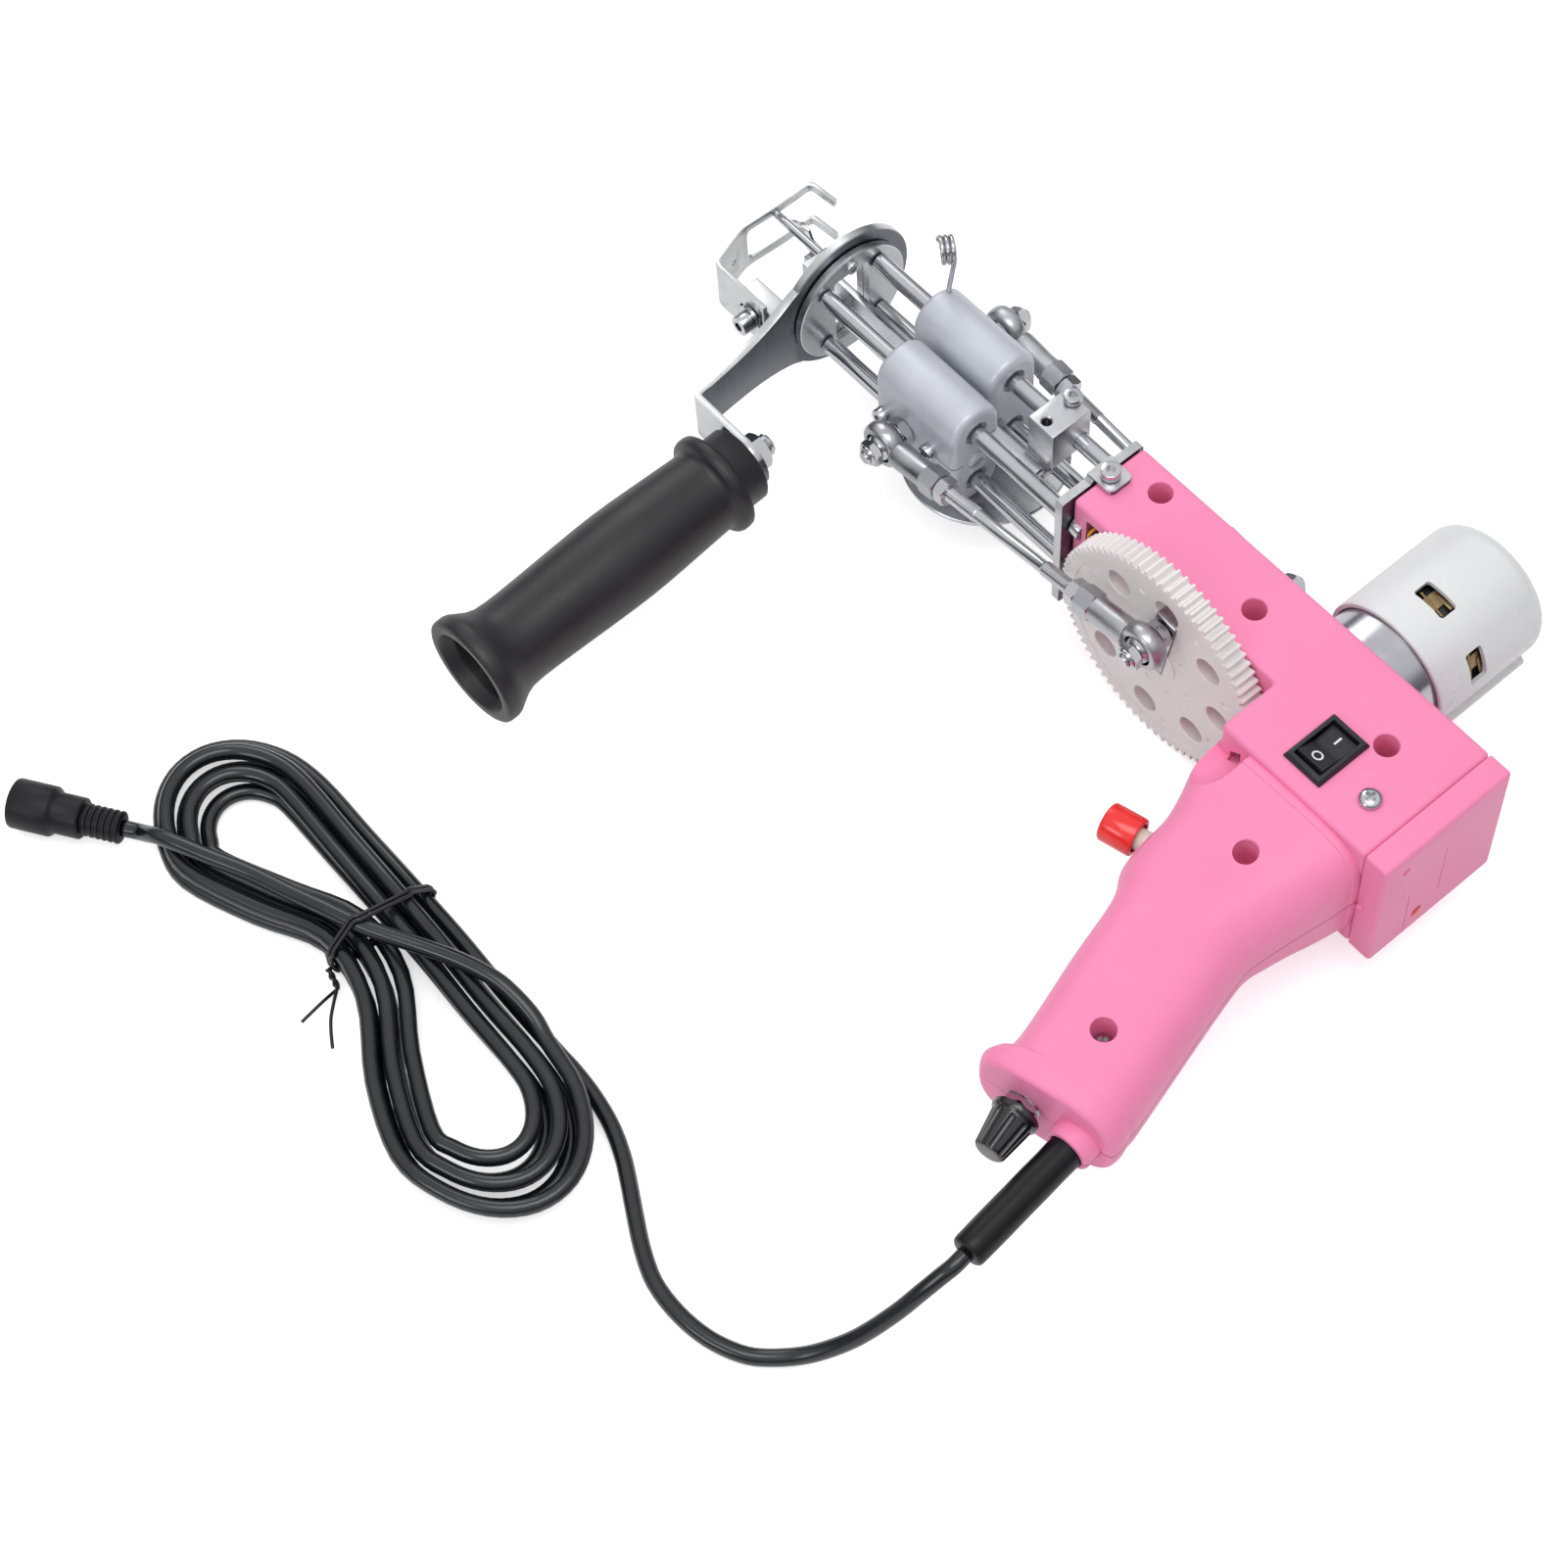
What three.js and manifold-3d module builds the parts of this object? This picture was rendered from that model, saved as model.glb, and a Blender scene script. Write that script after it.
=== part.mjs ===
// Handheld tufting machine, in millimetres.
// X runs forward to the needle, Y from the motor side to the handle side, Z up.
// The tool lies on its side. Its own axes meet where the gear's axis leaves the motor side of the housing,
// and the whole is set down with the middle of its underside at the origin.
import * as THREE from 'three';
import { mergeVertices } from 'three/addons/utils/BufferGeometryUtils.js';
import Module from 'manifold-3d';

const wasm = await Module();
wasm.setup();

// Shared clearances and counts
const seat = 0.3;
const runningFit = 0.35;
const overrun = 2;
const facets = { large: 28, medium: 18, small: 10, hole: 8, handle: 18, rodEnd: 12, wire: 8, loop: 6, curl: 5 };

// Housing
const housing = {
  front: 46.2, step: -40.5, rear: -99, beamWidth: 29.2, blockWidth: 50.9, halfThickness: 26.5,
  wall: 3, bevel: 1.3, splitGap: 0.3,
};
const shellScrews = {
  places: [[30.4, 7.9], [-18.4, 16.1], [-77.2, 20.4], [-73.8, 72.9], [-87, 140.2]],
  columnRadius: 5.1, headHoleRadius: 3.9, headSeat: 8, shankHoleRadius: 1.7, columnInset: 1.5, pilotDepth: 12,
};
const sideWindow = { rear: 22, front: 40, bottom: -14, top: 22 };
const latchSlot = { rear: -49.2, front: -45, bottom: 15.4, top: 19.4 };
const scoop = { x: -41.5, z: 24.5, radius: 11.3, straight: 8, wall: 3, steps: 2 };
const gearSlot = { halfHeight: 11, near: 28.4, far: 39 };

// Handle, as front edge, rear edge and half thickness of each section
const handle = {
  sections: [
    { front: [-41.5, 44], rear: [-97.5, 44], half: 21 },
    { front: [-39.6, 49], rear: [-98.6, 48.6], half: 23 },
    { front: [-39.2, 52.5], rear: [-98.8, 52], half: 24.6 },
    { front: [-39.5, 60], rear: [-98.5, 58], half: 24 },
    { front: [-43.4, 69.5], rear: [-97.5, 66], half: 22.5 },
    { front: [-46, 78], rear: [-96.5, 73], half: 21 },
    { front: [-46.8, 88], rear: [-95.5, 82], half: 20 },
    { front: [-48.5, 97], rear: [-95, 90], half: 19 },
    { front: [-54, 106], rear: [-96.5, 98], half: 18 },
    { front: [-60, 127], rear: [-101.5, 117], half: 18 },
    { front: [-69, 157], rear: [-109.5, 146], half: 18 },
    { front: [-66.5, 163], rear: [-110.5, 151], half: 18 },
    { front: [-65.5, 166.5], rear: [-111.8, 155.5], half: 17.5 },
    { front: [-68, 170], rear: [-111.8, 159.5], half: 16.5 },
  ],
  rootPowerShare: 5, gripPowerShare: 2.8, wall: 3,
};

// Rear cover and its light
const rearCover = { depth: 8.2, wall: 2.4, nubRadius: 1.2, nubHeight: 1.1, nubZ: -1.1 };
const led = { y: 32.1, z: -17.9, radius: 1.5, flangeRadius: 2.3, flangeDepth: 1, show: 0.9 };
const board = { thickness: 1.6, halfHeight: 20, chipDepth: 1.2, chipHalf: 4, chipStep: 13 };
const coverScrew = { x: -86.9, y: 36.9, headRadius: 3.6, headHeight: 2.1, shankRadius: 1.4, length: 12, bossRadius: 4 };

// Rocker switch
const rocker = {
  x: -67.1, y: 34.7, bezelLength: 21, bezelWidth: 15, bezelHeight: 1.8, bodyLength: 19, bodyWidth: 12.8,
  bodyDepth: 16, openingLength: 16.4, openingWidth: 10.8, openingDepth: 8, pivotDrop: 3.4,
  paddleGap: 0.4, paddleEndGap: 0.8, paddleRise: 2.9, valley: 1.2, paddleDrop: 2.4, tiltDegrees: 9,
};

// Trigger push button and its switch
const trigger = {
  front: [-31.2, 86.6], direction: [-0.966, -0.259], capRadius: 6.25, capLength: 11.5, stemRadius: 2,
  bushRadius: 3.5, travel: 3, bushLength: 7.4, bodyLength: 13, bodyHalfWidth: 6, bodyHalfHeight: 5,
  chamfer: 0.7, hollowRadius: 4.7, hollowFrom: 5,
};

// Speed control
const knob = {
  base: [-83.9, 169.6], direction: [-0.2525, 0.9676], skirtRadius: 7.5, skirtHeight: 2.4, footRadius: 6.6,
  tipRadius: 4.8, height: 15, bore: 11.5, shaftRadius: 3, flutes: 9, fluteRadius: 0.9,
};
const pot = { bodyRadius: 8, bodyLength: 8.5, bushRadius: 3.5, nutRadius: 5.6, nutHeight: 2.2, faceGap: 3.4 };

// Cord sleeve at the end of the handle
const sleeve = {
  start: [-101.7, 168], direction: [-0.107, 0.994], radius: 5.5, length: 41, buried: 13.4, flangeRadius: 7,
  flangeLength: 2.4, collarRadius: 7.5, collarDepth: 8, lip: 0.6,
};

// Drive
const gear = {
  module: 1, teeth: 80, near: 30, far: 37.6, addendumShare: 1, dedendumShare: 1.2,
  rootHalfShare: 0.33, tipHalfShare: 0.11,
  holeRadius: 4.75, holeRing: 27.3, holeCount: 8, holeTurnDegrees: 6, rimRadius: 38,
  slotFrom: -5, slotTo: 25, slotHalfWidth: 4.3, dimpleRadius: 1.5, dimpleDepth: 1,
};
const dimples = {
  ringShares: [0.83, 0.78, 0.84, 0.8, 0.82, 0.79, 0.33, 0.38, 0.4, 0.36],
  degrees: [26, 75, 120, 165, -145, -102, -81, -117, -161, 145],
};
const pinion = { teeth: 16, spread: 0.3, hubRadius: 5.4, hubLength: 1.4, shaftRadius: 2.5, shaftInside: 8 };
const shaft = { radius: 4, insertInset: 0.3 };
const bearing = { radius: 11, width: 7, seatWall: 3, lipRadius: 8, lip: 1.8, shieldRadius: 9.4, shieldDepth: 0.5 };
const needleCrank = { radius: 19.3, degrees: 98 };
const cutterCrank = { radius: 13.7, degrees: -107, halfWidth: 6.5, armNear: -5.3, armFar: -0.8 };

// Motor
const motor = {
  canRadius: 21, near: -45, far: 20, bossRadius: 8.5, bossLength: 2.4, tailRadius: 9, tailLength: 4,
  ribNear: 20.5, ribFar: 23, ribRear: -72, ribFront: -24, capRadius: 23, capMouth: -12, capEnd: -59,
  capWall: 1.7, capRound: 5, lugWidth: 7, lugHeight: 3, lugDegrees: -142, lugMouth: -12, lugEnd: -52,
};
const vents = {
  y: -28, length: 6.5, width: 12, degrees: [94, 158, -86, -22],
};

// Rods, bracket and carriages
const rods = { near: 5.3, far: 27.4, height: 12, radius: 3, front: 163.1 };
const bracket = {
  rear: 46.5, front: 49.5, low: -0.3, high: 33.3, tabRear: 39, tabLow: 10.9, tabHigh: 20.5, tabThickness: 1.8,
  corner: 1.2, tabScrewX: 44.1, tabScrewY: 15.8,
};
const rodScrew = { headRadius: 3.5, headHeight: 4, shankRadius: 1.5, holeRadius: 1.9, socketRadius: 1.7, socketDepth: 2 };
const tabScrew = { headRadius: 3.2, headHeight: 3, shankRadius: 1.4, length: 6.4, socketRadius: 1.5, socketDepth: 1.6 };
const carriage = { radius: 9.8, counterStep: 1.85, counterDepth: 2.2, chamfer: 0.8 };
const needleBlock = { rear: 91.4, front: 128.6, screws: [[123.9, -1.6], [101.9, 1.6]], screwHead: 3.4, screwRadius: 3 };
const cutterBlock = { rear: 98.5, front: 136 };
const keeperRing = { outer: 3.8, inner: 2, thickness: 1.3, z: -2, gapWidth: 2.2 };
const stopBlock = {
  rear: 68, front: 79.5, low: 1.2, high: 17.2, bottom: 7.6, top: 24, holeX: 74.2, holeY: 14.2,
  holeRadius: 1.6, screwX: 74.7, screwY: 2.9, headRadius: 3, headHeight: 2.6, shankRadius: 1.4, slit: 1,
};
const roundPlate = { x: 102, y: 14, radius: 27.6, thickness: 1.5, chamfer: 0.4 };

// Connecting rods
const rodEnd = {
  headRadius: 8, headWidth: 6, ballWidth: 8, ballFaceRadius: 4, boreRadius: 2.85, shankRadius: 4.5,
  shankFrom: 6.6, hexFrom: 20.5, length: 27, hexAcross: 9, studHole: 15,
};
const stud = { radius: 2.5, waistRadius: 2.1, thread: 17, inside: 14, nutAcross: 8, nutWidth: 4 };
const needleRod = { plane: 45.5, frontX: 114.3 };
const cutterRod = { plane: -13, frontX: 122 };
const pivotBolt = { radius: 2.5, nutAcross: 8, nutWidth: 3.2, lockNutWidth: 3.6, tail: 1, crankGap: 0.5 };
const pivotSpacer = { across: 9, buried: 7 };

// Front plates and auxiliary handle
const frontPlate = { rear: 163.4, thickness: 2.9, radius: 22, y: 16.3, windowLow: 9.3, windowHigh: 23.7, windowHalf: 15 };
const plateScrew = { headRadius: 2.4, headHeight: 1.7, y: 16.5, z: 18.2 };
const arm = {
  thickness: 3, radius: 26.4, halfWidth: 9.5, bend: 80.4, tabThickness: 2.5, lean: 5, leaveDegrees: 42,
  steps: 6, studHoleRadius: 4.3,
};
const gripStud = { x: 139, radius: 3.9, low: 72.5, nutAcross: 11, nutLow: 75.6, into: 14 };
const grip = {
  start: 83.9, lean: -0.042, length: 112, neckRadius: 13, neckLength: 8.6, ringRadius: 17.3, ringFrom: 9.2,
  ringTo: 14, bodyRadius: 14.2, bellyRadius: 15.6, bellyAt: 48, waistRadius: 14.8, waistAt: 84, flareRadius: 19,
  flareFrom: 101.5, flareLip: 107.5, boreRadius: 12.4, boreFloor: 19, mouthRadius: 14.6, mouthDepth: 4,
};

// Front end
const foot = {
  points: [[174.3, 43.7], [199.2, 43.4], [204.4, 28], [203.5, 11.5], [203.7, -0.6], [192.5, -1.6]],
  thickness: 1.6, halfWidth: 10, forkHalf: 7, forkTop: 27, slotRear: 176.5, slotFront: 186.5, slotHalf: 2.3,
};
const footMount = { front: 188, high: 42.6, low: 35.6, halfWidth: 6, holeX: 180.4 };
const footScrew = { washerRadius: 5, washer: 1.2, headRadius: 3.6, headHeight: 4.4, shankRadius: 1.7, length: 5, socketRadius: 1.6 };
const needleBar = {
  rear: 70.8, front: 182, low: 18, high: 21.8, bottom: 2.9, top: 6.7, blockRear: 172, blockLow: 11.2,
  blockBottom: 1.4,
};
const needle = { y: 13.4, z: 4.2, radius: 1.5, tip: 207.8, bevel: 9, boreRadius: 0.8, buried: 7 };
const cutterBar = { rear: 74, front: 190, low: 10.9, high: 14.7, bottom: -6.7, top: -2.9 };
const blades = {
  thickness: 1.2, gap: 0.3, pivotX: 185, pivotZ: -4.8, pinRadius: 1.2, pinHeadRadius: 1.9, pinHead: 0.9,
  fixed: [[180.2, -6.7], [190, -6.7], [196, -4.6], [203, -1], [199, 3.2], [192, 4.6], [188, -1.4], [180.2, -2.9]],
  moving: [[181, -6.4], [188, -6.7], [193, -5.6], [198.2, -4.8], [200, -1.2], [197.6, 2.6], [194.4, 3.4],
    [196.4, 0.4], [196.2, -2.2], [191.6, -2.2], [187.6, -2.8], [181.6, -3]],
};
const eyelet = {
  x: 133.4, y: 1.5, wireRadius: 0.75, holeDepth: 5, stemTop: 32, lean: 1.85, coilRadius: 4.1, coilTurn: 54,
  coilZ: 36.8, pitch: 1.75, loops: 2.5, steps: 8,
};

// Yellow jumper wire seen in the side window
const jumper = {
  radius: 0.6, steps: 10, route: [[37.2, 5, 11], [37.2, 14, 11], [37.6, 23, 10.4], [38.6, 27.9, 11.6], [38.9, 28.9, 14],
    [38.6, 27.9, 16.6], [37.6, 23, 17.4], [37.2, 14, 17], [37.2, 5, 17]],
};

// Cord, its hank, tie and plug. The route's points are chosen by hand.
const cord = { radius: 2.65, leadSteps: 26 };
const leadRoute = [
  [-106.135, 209.1, 0], [-106.5, 213.6, -0.4], [-105.9, 217.2, -2.2], [-104.3, 223.6, -7.2], [-101.8, 230.9, -15],
  [-97.4, 240, -25], [-92.7, 247, -32], [-87.5, 253.8, -36.6], [-81, 261.3, -38.2], [-75, 266.3, -38.29],
  [-65.2, 270.4, -38.29], [-53.9, 272, -38.29], [-42.1, 271.1, -38.29], [-31.5, 267.1, -38.29],
  [-21.9, 262, -38.29], [-12.2, 256.6, -38.29],
];
const hankStart = [
  [-11.9, 256.45, -38.29], [-5.2, 253, -38.29], [4.2, 249.5, -38.29], [14.5, 247.4, -38.29], [25, 246.5, -38.29],
];
const hankTail = [
  [44, 246.3, -30.8], [52, 246.6, -28.4], [60, 248, -26.6], [71, 252, -26], [82, 257.6, -25.6],
  [92, 263.4, -24.9], [101, 268, -24.6], [111, 271.8, -24.9], [124, 276.6, -26], [138, 281.6, -26.5],
  [150, 287.4, -26.4], [158, 291, -26.4], [164.5, 293.9, -26.5], [168.6, 295.5, -27.7], [172.3, 296.6, -30.3],
  [175.9, 297.66, -32.6], [180.3, 300.6, -32.7],
];
const hank = {
  loops: 5, steps: 24, runSteps: 5, foldSteps: 7, pitch: 6.16, foldDraw: 1.5,
  rightX: 36, rightY: 276.5, rightRadius: 30, rightReach: 43.3,
  leftX: 155, leftY: 270.9, leftRadius: 27.9, leftReach: 37.8,
  waistX: 101, waistY: 262, waistHalf: 17.7, waistLift: 1.9, waistReach: 34, climb: 5.9,
};
const tie = { radius: 0.7, gap: 0.35, hullSteps: 10, knotRadius: 1.5, tails: [[80, 296, 1], [92.5, 298, 2.4]] };
const plug = {
  start: [180.3, 300.6], direction: [0.832, 0.555], axisHeight: 8.3, sleeveRadius: 5.2, sleeveLength: 13,
  ribs: 4, ribDepth: 0.9, neckRadius: 6.6, neckLength: 9, bodyRadius: 8, length: 36.5, mouthRadius: 4.6,
  mouthDepth: 9, pinRadius: 1.2,
};

// Solids from three.js geometry
function signedVolume(positions, index) {
  const a = new THREE.Vector3();
  const b = new THREE.Vector3();
  const c = new THREE.Vector3();
  let sum = 0;
  for (let i = 0; i < index.length; i += 3) {
    a.fromArray(positions, 3 * index[i]);
    b.fromArray(positions, 3 * index[i + 1]);
    c.fromArray(positions, 3 * index[i + 2]);
    sum += a.dot(b.cross(c));
  }
  return sum;
}

function solidFrom(source) {
  const bare = source.clone();
  bare.deleteAttribute('normal');
  bare.deleteAttribute('uv');
  const merged = mergeVertices(bare, 1e-4);
  const positions = merged.attributes.position.array;
  const index = [];
  const all = merged.index.array;
  for (let i = 0; i < all.length; i += 3) {
    const [a, b, c] = [all[i], all[i + 1], all[i + 2]];
    if (a !== b && b !== c && c !== a) index.push(a, b, c);
  }
  if (signedVolume(positions, index) < 0) index.reverse();
  return new wasm.Manifold(new wasm.Mesh({
    numProp: 3, vertProperties: new Float32Array(positions), triVerts: new Uint32Array(index),
  }));
}

function geometryFrom(solid) {
  const mesh = solid.getMesh();
  const geometry = new THREE.BufferGeometry();
  const count = mesh.vertProperties.length / mesh.numProp;
  const positions = new Float32Array(count * 3);
  for (let i = 0; i < count; i += 1) {
    for (let k = 0; k < 3; k += 1) positions[3 * i + k] = mesh.vertProperties[mesh.numProp * i + k];
  }
  geometry.setAttribute('position', new THREE.BufferAttribute(positions, 3));
  geometry.setIndex(new THREE.BufferAttribute(new Uint32Array(mesh.triVerts), 1));
  geometry.computeVertexNormals();
  return geometry;
}

const joined = (...solids) => solids.reduce((sum, solid) => sum.add(solid));
const cut = (solid, ...tools) => tools.reduce((rest, tool) => rest.subtract(tool), solid);

function block(x, y, z) {
  const spans = [x, y, z];
  const geometry = new THREE.BoxGeometry(...spans.map(([from, to]) => to - from));
  geometry.translate(...spans.map(([from, to]) => (from + to) / 2));
  return solidFrom(geometry);
}

// A turned solid: profile of [radius, distance] along an axis from a start point
function turned(profile, start, direction, count = facets.medium, turn = 0) {
  const geometry = new THREE.LatheGeometry(profile.map(([r, s]) => new THREE.Vector2(r, s)), count);
  geometry.rotateY(turn);
  const axis = new THREE.Vector3(...direction).normalize();
  geometry.applyQuaternion(new THREE.Quaternion().setFromUnitVectors(new THREE.Vector3(0, 1, 0), axis));
  geometry.translate(...start);
  return solidFrom(geometry);
}

const pinProfile = (radius, from, to) => [[0, from], [radius, from], [radius, to], [0, to]];
const alongX = [1, 0, 0];
const alongY = [0, 1, 0];
const alongZ = [0, 0, 1];
const rodX = (radius, [from, to], y, z, count = facets.small) => (
  turned(pinProfile(radius, from, to), [0, y, z], alongX, count));
const rodY = (radius, [from, to], x, z, count = facets.small) => (
  turned(pinProfile(radius, from, to), [x, 0, z], alongY, count));
const rodZ = (radius, [from, to], x, y, count = facets.small) => (
  turned(pinProfile(radius, from, to), [x, y, 0], alongZ, count));
const hexAlong = (across, from, to, start, direction) => (
  turned(pinProfile(across / Math.sqrt(3), from, to), start, direction, 6));

// A flat piece: an outline in the plane across the axis, between two places along it
function slab(axis, points, [from, to], bevel = 0) {
  const shape = new THREE.Shape(points.map(([a, b]) => new THREE.Vector2(a, b)));
  const geometry = new THREE.ExtrudeGeometry(shape, {
    depth: to - from - 2 * bevel, bevelEnabled: bevel > 0, bevelSize: bevel, bevelThickness: bevel,
    bevelOffset: -bevel, bevelSegments: 1, curveSegments: 1,
  });
  geometry.translate(0, 0, from + bevel);
  if (axis === 'x') geometry.applyMatrix4(new THREE.Matrix4().makeBasis(
    new THREE.Vector3(0, 1, 0), new THREE.Vector3(0, 0, 1), new THREE.Vector3(1, 0, 0)));
  if (axis === 'y') geometry.applyMatrix4(new THREE.Matrix4().makeBasis(
    new THREE.Vector3(1, 0, 0), new THREE.Vector3(0, 0, 1), new THREE.Vector3(0, 1, 0)));
  return solidFrom(geometry);
}

const rectangle = (a0, a1, b0, b1) => [[a0, b0], [a1, b0], [a1, b1], [a0, b1]];

function arc(centreA, centreB, radius, fromDegrees, toDegrees, steps) {
  return Array.from({ length: steps + 1 }, (_, i) => {
    const angle = THREE.MathUtils.degToRad(fromDegrees + (toDegrees - fromDegrees) * i / steps);
    return [centreA + radius * Math.cos(angle), centreB + radius * Math.sin(angle)];
  });
}

const circle = (a, b, radius, count = facets.hole) => arc(a, b, radius, 0, 360 - 360 / count, count - 1);

// A stadium: two half circles of one radius round two centres that differ along the second coordinate
const stadium = (a, low, high, radius, steps) => [
  ...arc(a, high, radius, 0, 180, steps), ...arc(a, low, radius, 180, 360, steps),
];

// The outline of a strip of even thickness that follows a line of points
function stripOutline(line, thickness) {
  const points = line.map(([a, b]) => new THREE.Vector2(a, b));
  const left = [];
  const right = [];
  points.forEach((point, i) => {
    const before = points[Math.max(i - 1, 0)];
    const after = points[Math.min(i + 1, points.length - 1)];
    const come = (i === 0 ? after.clone().sub(point) : point.clone().sub(before)).normalize();
    const go = (i === points.length - 1 ? come.clone() : after.clone().sub(point).normalize());
    const mean = come.clone().add(go).normalize();
    const reach = thickness / 2 / mean.dot(come);
    left.push([point.x - mean.y * reach, point.y + mean.x * reach]);
    right.unshift([point.x + mean.y * reach, point.y - mean.x * reach]);
  });
  return [...left, ...right];
}

// A skin over rings of points that all have the same count, closed or capped at its ends
function skinned(rings, closed = false) {
  const count = rings[0].length;
  const positions = rings.flat().flatMap((p) => [p.x, p.y, p.z]);
  const index = [];
  const last = closed ? rings.length : rings.length - 1;
  for (let i = 0; i < last; i += 1) {
    for (let k = 0; k < count; k += 1) {
      const a = i * count + k;
      const b = i * count + (k + 1) % count;
      const c = ((i + 1) % rings.length) * count + k;
      const d = ((i + 1) % rings.length) * count + (k + 1) % count;
      index.push(a, b, c, b, d, c);
    }
  }
  if (!closed) {
    const end = (rings.length - 1) * count;
    for (let k = 1; k < count - 1; k += 1) index.push(0, k + 1, k, end, end + k, end + k + 1);
  }
  const geometry = new THREE.BufferGeometry();
  geometry.setAttribute('position', new THREE.BufferAttribute(new Float32Array(positions), 3));
  geometry.setIndex(index);
  return geometry;
}

// A wound tube: a section at each point of a line, kept upright to one reference direction
function woundTube(points, radius, count, reference, closed = false, turn = 0) {
  const up = new THREE.Vector3(...reference);
  const rings = points.map((point, i) => {
    const size = points.length;
    const before = closed ? points[(i + size - 1) % size] : points[Math.max(i - 1, 0)];
    const after = closed ? points[(i + 1) % size] : points[Math.min(i + 1, size - 1)];
    const tangent = after.clone().sub(before).normalize();
    const side = tangent.clone().cross(up).normalize();
    const rise = side.clone().cross(tangent);
    return Array.from({ length: count }, (_, k) => {
      const angle = turn + 2 * Math.PI * k / count;
      return point.clone().addScaledVector(side, radius * Math.cos(angle))
        .addScaledVector(rise, radius * Math.sin(angle));
    });
  });
  return solidFrom(skinned(rings, closed));
}

// A plain tube along a smooth curve through points
function curvedTube(points, radius, count, steps) {
  const curve = new THREE.CatmullRomCurve3(points.map((p) => new THREE.Vector3(...p)));
  const shape = new THREE.Shape(circle(0, 0, radius, count).map(([a, b]) => new THREE.Vector2(a, b)));
  return solidFrom(new THREE.ExtrudeGeometry(shape, { steps, extrudePath: curve, bevelEnabled: false }));
}

// A cap head screw with a hexagon socket, head on the far side of its shank
function socketScrew(head, start, direction, shankLength) {
  const body = turned([
    [0, -shankLength], [head.shankRadius, -shankLength], [head.shankRadius, 0], [head.headRadius, 0],
    [head.headRadius, head.headHeight], [0, head.headHeight],
  ], start, direction, facets.small);
  const socket = turned(
    pinProfile(head.socketRadius, head.headHeight - head.socketDepth, head.headHeight + overrun),
    start, direction, 6);
  return cut(body, socket);
}

// Pieces and their looks
const looks = {
  pink: { color: 0xf77fae, roughness: 0.38, metalness: 0 },
  white: { color: 0xefe8e2, roughness: 0.5, metalness: 0 },
  clear: { color: 0xe9ecf0, roughness: 0.35, metalness: 0 },
  black: { color: 0x17181c, roughness: 0.45, metalness: 0 },
  rubber: { color: 0x121317, roughness: 0.7, metalness: 0 },
  cordSkin: { color: 0x15161a, roughness: 0.4, metalness: 0 },
  red: { color: 0xdd2a26, roughness: 0.3, metalness: 0 },
  steel: { color: 0xb9bcc2, roughness: 0.3, metalness: 1 },
  zinc: { color: 0xc4c7cc, roughness: 0.42, metalness: 1 },
  grey: { color: 0xbdc0c9, roughness: 0.5, metalness: 0.2 },
  aluminium: { color: 0xc9cbd0, roughness: 0.4, metalness: 1 },
  yellow: { color: 0xf2a515, roughness: 0.4, metalness: 0 },
  green: { color: 0x2f6a45, roughness: 0.5, metalness: 0 },
};

const tool = new THREE.Group();

function add(name, solid, look, group = tool) {
  const mesh = new THREE.Mesh(geometryFrom(solid), new THREE.MeshStandardMaterial(looks[look]));
  mesh.name = name;
  group.add(mesh);
  return mesh;
}

// Housing shells
const bodyOutline = (inset) => {
  const stepX = housing.step - inset;
  return [
    [housing.front - inset, inset], [housing.front - inset, housing.beamWidth - inset],
    [stepX, housing.beamWidth - inset], [stepX, housing.blockWidth - inset],
    [housing.rear + inset, housing.blockWidth - inset], [housing.rear + inset, inset],
  ];
};

function handleRing(section, inset, power) {
  const [fx, fy] = section.front;
  const [rx, ry] = section.rear;
  const centre = new THREE.Vector2((fx + rx) / 2, (fy + ry) / 2);
  const across = new THREE.Vector2(fx - rx, fy - ry);
  const halfLength = across.length() / 2 - inset;
  across.normalize();
  const halfHeight = section.half - inset;
  return Array.from({ length: facets.handle }, (_, k) => {
    const angle = 2 * Math.PI * k / facets.handle;
    const a = Math.sign(Math.cos(angle)) * Math.abs(Math.cos(angle)) ** (2 / power) * halfLength;
    const z = Math.sign(Math.sin(angle)) * Math.abs(Math.sin(angle)) ** (2 / power) * halfHeight;
    return new THREE.Vector3(centre.x + across.x * a, centre.y + across.y * a, z);
  });
}

function handleBody(inset) {
  const last = handle.sections.length - 1;
  const rings = handle.sections.map((section, i) => {
    const power = handle.rootPowerShare + (handle.gripPowerShare - handle.rootPowerShare) * Math.min(2 * i / last, 1);
    return handleRing(section, inset, power);
  });
  return solidFrom(skinned(rings));
}

const endSection = handle.sections[handle.sections.length - 1];
const wallInner = housing.halfThickness - housing.wall;
const bodyOuter = slab('z', bodyOutline(0), [-housing.halfThickness, housing.halfThickness], housing.bevel);
const collar = turned(
  pinProfile(sleeve.collarRadius, -sleeve.collarDepth, -sleeve.lip),
  [...sleeve.start, 0], [...sleeve.direction, 0], facets.small);

// The hollow for a finger tip beside the block, a straight trough with a round end
const scoopCut = turned([
  [0, 0], [scoop.radius, 0],
  ...arc(scoop.straight, 0, scoop.radius, 0, 90, scoop.steps).map(([a, b]) => [b, a]).reverse(),
], [scoop.x, housing.blockWidth, scoop.z], alongY, facets.small);
const scoopReach = scoop.radius + scoop.wall;
const scoopFill = block([scoop.x - scoopReach, housing.front],
  [housing.blockWidth - housing.wall, housing.blockWidth + scoop.straight + scoopReach],
  [scoop.z - scoopReach, 2 * housing.halfThickness]);
const outer = joined(bodyOuter, cut(handleBody(0), cut(scoopCut, bodyOuter)), collar);

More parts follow.
